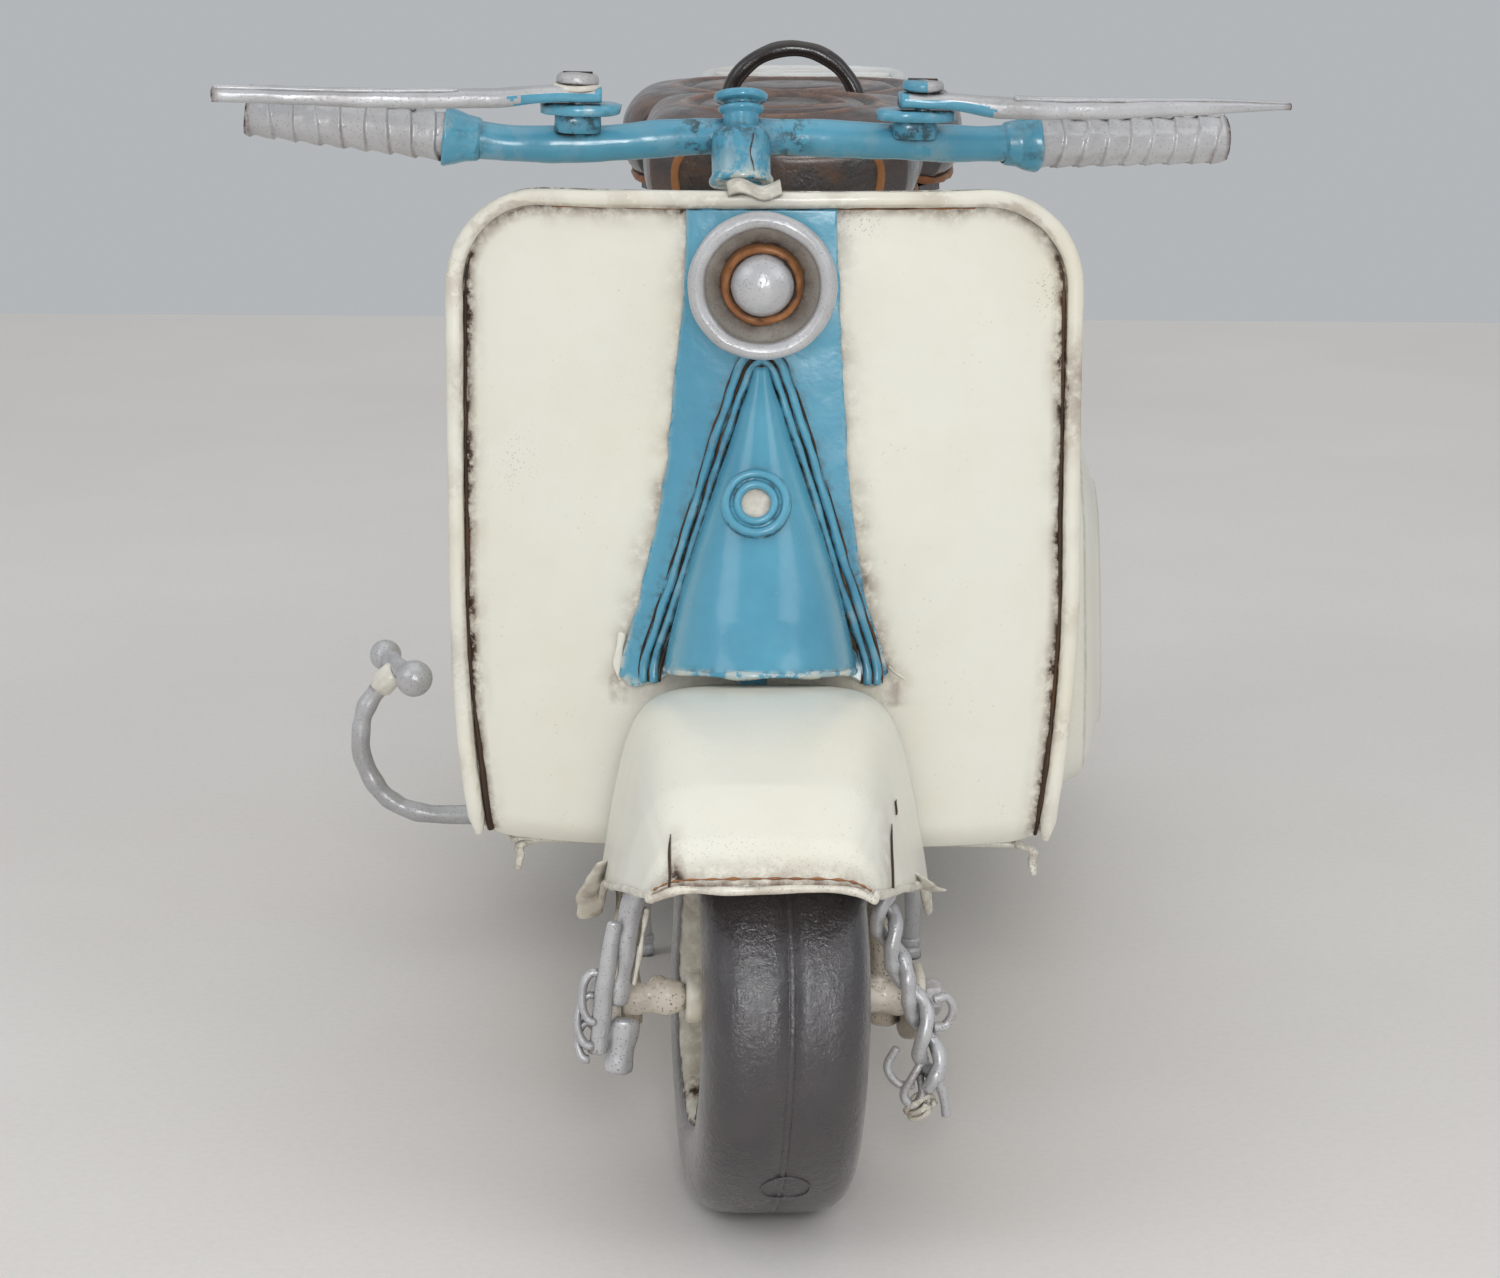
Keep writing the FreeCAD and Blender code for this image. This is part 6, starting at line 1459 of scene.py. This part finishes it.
for x in (-10.5, 10.5):
    v, f = tube_geo(smooth_path([P(x * 0.78, 202.0, 85.5), P(x * 0.86, 204.0, 98.0), P(x, 210.0, 109.0), P(x, 211.0, 116.9)], 30), 1.1, 12, wob=0.1, seed=x)
    B.add(v, f, rust=[0.3 * max(0.0, nz(p, 0.2, 3)) for p in v])
ob = B.build("rear_rack_rods", WHITE, "chassis", slot="white_paint")
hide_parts("rear_rack")

# ------------------------------------------------------------------ rear body and covers
BODY = [(93.0, 15.0, 37.0, 84.0), (99.0, 19.0, 36.5, 93.0), (112.0, 21.4, 36.0, 98.5), (135.0, 22.0, 36.0, 100.5), (165.0, 22.0, 37.0, 99.5), (192.0, 20.5, 38.0, 91.0), (206.0, 17.0, 40.0, 82.0), (214.0, 12.0, 43.0, 70.0)]
BPROF = [(0.0, 0.0, 1.0), (0.18, 0.42, 0.99), (0.34, 0.74, 0.94), (0.47, 0.93, 0.82), (0.62, 0.99, 0.62), (0.80, 1.0, 0.35), (1.0, 1.0, 0.0)]


def body_pt(vv, s, off=0.0):
    w, zl, zt = table(BODY, vv)
    fx, fz = table(BPROF, abs(s))
    x = (1 if s > 0 else -1) * (fx * (w - off))
    z = zl + fz * (zt - off - zl)
    z += 0.14 * nz((vv, s * 20, 0), 0.1, 3)
    # raised bead along the spine line
    rib = 0.45 * math.exp(-((abs(s) - 0.50) / 0.018) ** 2) * max(0.0, min(1.0, (vv - 97) / 6.0)) * max(0.0, min(1.0, (208 - vv) / 6.0))
    return P(x + (1 if s > 0 else -1) * rib * 0.6, vv, z + rib * 0.5)


nu, nv = 150, 120
vs = [lerp(93.0, 214.0, j / (nv - 1)) for j in range(nv)]
F = [[body_pt(vv, 2 * i / (nu - 1) - 1) for i in range(nu)] for vv in vs]
Bk = [[body_pt(vv, 2 * i / (nu - 1) - 1, 0.7) for i in range(nu)] for vv in vs]
v, f = shell_geo(F, nu, nv, Bk)
rust = []
for vv in vs:
    for i in range(nu):
        s = abs(2 * i / (nu - 1) - 1)
        rust.append(min(1.0, 0.8 * max(0.0, 1 - (1 - s) / 0.04) + 0.5 * max(0.0, 1 - abs(s - 0.475) / 0.02) + 0.6 * max(0.0, 1 - (vv - 93) / 2.0) + 0.6 * max(0.0, 1 - (214 - vv) / 2.0)))
n = len(rust)
B = Builder().add(v, f, rust=rust + [0.4] * n, speck=[0.15] * (2 * n))
for jj, sgn in ((0, -1), (nv - 1, 1)):
    edge = F[jj]
    m = len(edge)
    c = sum(edge, Vector((0, 0, 0))) / m
    vs_, fs_ = [], []
    for k in range(6):
        t = k / 5.0
        vs_ += [Vector((lerp(p.x, 0.0, t), p.y + sgn * 1.2 * math.sin(math.pi / 2 * t), p.z)) for p in edge]
    for k in range(5):
        for i in range(m - 1):
            fs_.append((k * m + i, k * m + i + 1, (k + 1) * m + i + 1, (k + 1) * m + i))
    B.add(vs_, fs_, rust=[0.15] * len(vs_))
    v, f = tube_geo([p + Vector((0, sgn * 0.2, 0)) for p in edge[::2]], 0.7, 8, wob=0.3, seed=jj)
    B.add(v, f, rust=[0.4] * len(v))
ob = B.build("rear_body_shell", CREAM, "chassis", slot="cream_paint")
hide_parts("rear_body")

TEAR = [(-50.5, -13.0), (-46.0, 4.0), (-30.0, 20.0), (-4.0, 27.5), (24.0, 26.0), (46.0, 15.0), (62.0, -1.0), (60.0, -13.0), (40.0, -20.5), (12.0, -23.5), (-22.0, -23.5), (-44.0, -21.0)]
tear = []
m = len(TEAR)
for i in range(120):
    s = m * i / 120.0
    k = int(s) % m
    t = s - int(s)
    q = [TEAR[(k + j - 1) % m] for j in range(4)]
    tear.append((catmull(q[0][0], q[1][0], q[2][0], q[3][0], t), catmull(q[0][1], q[1][1], q[2][1], q[3][1], t)))
STEPS = [(0.0, 22.3, 1.0), (0.2, 27.0, 0.995), (0.4, 32.0, 0.985), (0.58, 40.0, 0.93), (0.74, 44.6, 0.83), (0.86, 46.4, 0.68), (0.94, 47.2, 0.50), (0.98, 47.4, 0.22), (1.0, 47.4, 0.0005)]
for side, sgn in (("left", 1), ("right", -1)):
    nv = 90
    F, Bk, rust = [], [], []
    for j in range(nv):
        t = j / (nv - 1)
        x, k = table(STEPS, t)
        ro, ri = [], []
        for (a, b_) in tear:
            xx = x + 0.15 * nz((a * k, b_ * k, x), 0.08, 4)
            # two pressed rings on the face
            for kk in (0.86, 0.60):
                xx += 0.5 * math.exp(-((k - kk) / 0.02) ** 2)
            ro.append(P(sgn * min(xx, 47.6), 140 + a * k, 46 + b_ * k))
            ri.append(P(sgn * (min(xx, 47.6) - 0.7), 140 + a * k * 0.975, 46 + b_ * k * 0.975))
            rust.append(min(1.0, 0.9 * max(0.0, 1 - t / 0.03) + 0.45 * max(0.0, 1 - abs(k - 0.835) / 0.02) + 0.15 * max(0.0, nz((a * k, b_ * k, 0), 0.06, 6))))
        F.append(ro)
        Bk.append(ri)
    v, f = shell_geo(F, 120, nv, Bk, closed_u=True)
    n = len(rust)
    B = Builder().add(v, f, rust=rust + [0.4] * n, speck=[0.2 * max(0.0, nz(p, 0.05, 3) + 0.2) for p in v])
    # louvres, raised from the face
    for q in range(5):
        cv, cz = 158.0 + 6.2 * q, 47.5
        pts = [P(sgn * (46.9 - 0.10 * q * q), cv, cz + z) for z in (-6, -3, 0, 3, 6)]
        vv, ff = tube_geo(smooth_path(pts, 16), lambda t: 1.15 * math.sin(math.pi * (0.08 + 0.84 * t)) ** 0.6, 10, flat=0.7, wob=0.1)
        B.add(vv, ff, rust=[0.35] * len(vv))
    # rolled edge where the cover meets the body
    pts = [P(sgn * 22.5, 140 + a, 46 + b_) for a, b_ in tear]
    vv, ff = tube_geo(pts, 0.55, 8, wob=0.3, seed=sgn, closed=True)
    B.add(vv, ff, rust=[0.6] * len(vv))
    ob = B.build("side_cover_" + side + "_pressing", CREAM, "chassis", slot="cream_paint")
    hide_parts("side_cover_" + side)

# tail lamp
tl = P(0, 214.2, 58.0)
v, f = lathe_geo(round_profile([(-0.6, 3.0), (1.8, 3.0), (2.2, 3.6), (1.6, 4.4), (-0.6, 4.7)], 0.3), tl, (0, 1, 0), 48, wob=0.12)
ob = Builder().add(v, f, rust=[0.3] * len(v)).build("tail_lamp_rim", SILVER, "chassis", slot="silver_paint")
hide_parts("tail_lamp_bezel")
v, f = lathe_geo(round_profile([(0.0, 2.95), (1.9, 2.85), (2.6, 2.4), (3.3, 1.7), (3.8, 0.7), (3.9, 0.0)], 0.3), tl, (0, 1, 0), 40, wob=0.05)
ob = Builder().add(v, f).build("tail_lamp_dome", RED, "chassis", slot="red_lens")
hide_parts("tail_lamp_lens")

# floorboard with pressed ribs
nu, nv = 120, 60
F, Bk, rust = [], [], []
for j in range(nv):
    vv = lerp(38.7, 106.4, j / (nv - 1))
    h = table([(38.6, 33.2), (42.0, 34.0), (84.0, 34.0), (88.0, 31.5), (89.6, 22.5), (91.0, 21.2), (106.6, 21.2)], vv)[0]
    ro, ri = [], []
    for i in range(nu):
        x = (2 * i / (nu - 1) - 1) * h
        rib = 0.0
        for rx in (-26.5, -18.5, -10.5, 10.5, 18.5, 26.5):
            rib = max(rib, math.exp(-((x - rx) / 1.1) ** 2)) if 46 < vv < 84 else rib
        z = 35.7 + 0.7 * rib + 0.1 * nz((x, vv, 0), 0.1, 3)
        ro.append(P(x, vv, z))
        ri.append(P(x, vv, z - 0.8))
        rust.append(min(1.0, 0.7 * max(0.0, 1 - (h - abs(x)) / 1.2) + 0.35 * max(0.0, nz((x, vv, 0), 0.07, 3)) + (0.3 if 0.05 < rib < 0.5 else 0.0)))
    F.append(ro)
    Bk.append(ri)
v, f = shell_geo(F, nu, nv, Bk)
n = len(rust)
B = Builder().add(v, f, rust=rust + [0.3] * n, speck=[0.4] * (2 * n))
for x, sg in ((-32.0, -1), (35.6, 1)):
    pts = smooth_path([P(x * 0.93, 40.0, 35.2), P(x, 38.6, 34.6), P(x, 38.3, 33.2), P(x + 0.3 * sg, 38.0, 31.6)], 20)
    vv, ff = tube_geo(pts, lambda t: 0.95 - 0.25 * t, 10, flat=0.55, wob=0.4, seed=sg)
    B.add(vv, ff, rust=[0.55] * len(vv), speck=[0.6] * len(vv))
ob = B.build("floor_pressed_panel", CREAM, "chassis", slot="cream_paint")
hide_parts("floorboard")

# ------------------------------------------------------------------ kick-start
kv, kz = 111.0, 18.2
pts = [P(lerp(-26.0, -52.0, k / 24.0), kv, kz) for k in range(25)]
bend = smooth_path([P(-52.0, kv, kz), P(-57.2, kv, kz + 1.3), P(-61.2, kv, kz + 5.4), P(-62.8, kv, kz + 11.0), P(-61.8, kv, kz + 16.4), P(-59.2, kv, kz + 20.4)], 60)
path = pts[:-2] + bend[1:]
v, f = tube_geo(path, lambda s: 1.42 + 0.06 * math.sin(s * 60), 16, wob=0.14, seed=3)
rs = [min(1.0, 0.25 * max(0.0, nz(p, 0.2, 4)) + (0.8 if p[2] > 37.5 else 0.0) * max(0.0, nz(p, 0.6, 2) + 0.4)) for p in v]
ob = Builder().add(v, f, rust=rs, speck=[0.4] * len(v)).build("kick_arm_rod", SILVER, "kick_start", slot="silver_paint")
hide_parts("kick_arm")
pc = P(-56.6, 110.6, 41.0)
pd = Vector((-5.6, 12.0, 0.4)).normalized()
B = Builder()
v, f = tube_geo([pc + pd * lerp(-6.0, 6.4, k / 20.0) for k in range(21)], lambda s: 1.35 + 0.12 * math.sin(s * 18), 14, wob=0.15)
B.add(v, f, speck=[0.5] * len(v), rust=[0.5 * max(0.0, nz(p, 0.4, 3)) for p in v])
for c, r in ((pc - pd * 6.8, 2.72), (pc + pd * 7.0, 2.35)):
    prof = [(-r * math.cos(math.pi * k / 16), r * math.sin(math.pi * k / 16)) for k in range(17)]
    v, f = lathe_geo(prof, c, pd, 30, wob=0.16, seed=r)
    B.add(v, f, speck=[0.5] * len(v), rust=[0.35 * max(0.0, nz(p, 0.5, 3)) for p in v])
ob = B.build("kick_pedal_cross", SILVER, "kick_start", slot="silver_paint")
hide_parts("kick_pedal")
v, f = tube_geo([P(-59.5, kv, kz + 19.2), P(-58.6, kv, kz + 20.8), P(-57.4, kv - 0.2, kz + 22.0)], 1.75, 14, wob=0.3, seed=4)
Builder().add(v, f, rust=[0.5 * max(0.0, nz(p, 0.5, 3) + 0.2) for p in v]).build("kick_joint", CREAM_BEAD, "kick_start", slot="cream_paint")

# ------------------------------------------------------------------ centre stand
B = Builder()
for s in (1, -1):
    sx = 19.75
    pts = [P(lerp(s * 20.3, s * sx, k / 20.0), lerp(96.0, 100.5, k / 20.0), lerp(27.4, 2.6, k / 20.0)) for k in range(21)]
    v, f = tube_geo(pts, lambda t: 1.18 + 0.05 * math.sin(t * 20), 14, wob=0.15, seed=s)
    B.add(v, f, speck=[0.4] * len(v), rust=[0.2 * max(0.0, nz(p, 0.3, 3)) for p in v])
    v, f = lathe_geo(round_profile([(-1.0, 0.0), (-1.0, 1.8), (-0.7, 2.1), (0.7, 2.1), (1.0, 1.8), (1.0, 0.0)], 0.2), P(s * 20.3, 96.0, 28.0), (1, 0, 0), 24, wob=0.1)
    B.add(v, f, speck=[0.4] * len(v), rust=[0.3] * len(v))
    v, f = lathe_geo(round_profile([(0.0, 0.0), (0.0, 1.35), (0.3, 1.5), (1.3, 1.5), (1.6, 1.35), (1.8, 1.3), (2.1, 1.47), (3.0, 1.47), (3.3, 1.2), (3.5, 1.0)], 0.15), P(s * sx, 100.5, 0.02), (0, 0, 1), 26, wob=0.04)
    B.add(v, f, speck=[0.5] * len(v), rust=[0.45 * max(0.0, nz(p, 0.5, 3) + 0.2) for p in v])
ob = B.build("stand_legs_and_feet", SILVER, "centre_stand", slot="silver_paint")
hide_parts("stand_legs")

# ------------------------------------------------------------------ materials for the CAD parts that are shown as they are
BY_NODE = {"head_tube": BLUE, "fork_stem": BLUE, "fork_crown": BLUE, "frame_spine": DARK, "engine_case": DARK, "rear_brackets": DARK, "kick_boss": DARK, "stand_brackets": DARK,
           "driver_seat_pan": SEAT, "pillion_pan": SEAT, "rear_axle": SILVER, "stand_rod": SILVER}
for o in list(bpy.context.scene.objects):
    n = o.get("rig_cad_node")
    if n in BY_NODE and not o.hide_render:
        for k in range(max(1, len(o.material_slots))):
            if o.material_slots:
                o.material_slots[k].material = BY_NODE[n]
            else:
                o.data.materials.append(BY_NODE[n])


# ------------------------------------------------------------------ stage, light and camera
sc = bpy.context.scene
world = bpy.data.worlds.new("studio")
sc.world = world
world.use_nodes = True
bg = world.node_tree.nodes["Background"]
bg.inputs[0].default_value = (0.915, 0.96, 1.0, 1.0)
bg.inputs[1].default_value = 0.49
sc.view_settings.view_transform = "Standard"
sc.view_settings.look = "None"


def stage_plane(name, corners, mat):
    me = bpy.data.meshes.new(name)
    me.from_pydata(corners, [], [(0, 1, 2, 3)])
    me.materials.append(mat)
    ob = bpy.data.objects.new(name, me)
    sc.collection.objects.link(ob)
    return ob


def stage_mat(name, a, b_, rough):
    k = Mat(name)
    col = k.mix(k.ramp(k.noise(6.0, 4.0, 0.6), 0.3, 0.7), a, b_)
    col = k.mix(k.mul(k.ramp(k.noise(900.0, 4.0, 0.7, seed=3.0), 0.35, 0.7), 0.05), col, lin((120, 115, 110)))
    k.link(col, k.b.inputs["Base Color"])
    k.b.inputs["Roughness"].default_value = rough
    k.b.inputs["Specular IOR Level"].default_value = 0.25
    k.link(k.bump(k.noise(1200.0, 4.0, 0.6), 0.12, 0.0002), k.b.inputs["Normal"])
    return k.m


FLOOR = stage_mat("table_top", lin((233, 229, 225)), lin((228, 223, 219)), 0.6)
stage_plane("table", [(-6, -6, 0), (6, -6, 0), (6, 0.60, 0), (-6, 0.60, 0)], FLOOR)


def area(name, loc, target, size, power, col=(1, 1, 1), size_y=None):
    L = bpy.data.lights.new(name, "AREA")
    L.energy = power
    L.color = col
    L.size = size
    if size_y:
        L.shape = "RECTANGLE"
        L.size_y = size_y
    ob = bpy.data.objects.new(name, L)
    sc.collection.objects.link(ob)
    ob.location = loc
    d = Vector(target) - Vector(loc)
    ob.rotation_mode = "QUATERNION"
    ob.rotation_quaternion = d.to_track_quat("-Z", "Y")
    return ob


area("flash", (0.04, -0.64, 0.235), (0.0, -0.05, 0.07), 0.10, 1.15, size_y=0.2)
area("fill_left", (-0.75, -0.55, 0.65), (0, 0, 0.06), 0.5, 1.3)
area("fill_right", (0.75, -0.55, 0.65), (0, 0, 0.06), 0.5, 1.3)
area("top_soft", (0.0, 0.10, 1.2), (0, 0.05, 0.0), 1.4, 3.4, col=(1.0, 0.965, 0.91))

cam = bpy.data.cameras.new("camera")
cam.lens = 4221.0 * 36.0 / 1500.0
cam.sensor_width = 36.0
cam.sensor_fit = "HORIZONTAL"
cam.clip_start = 0.02
cam.clip_end = 20.0
co = bpy.data.objects.new("camera", cam)
sc.collection.objects.link(co)
co.location = (0.020, -0.5983, 0.190)
co.rotation_euler = (math.radians(90 - 13.35), 0.0, math.radians(2.31))
sc.camera = co
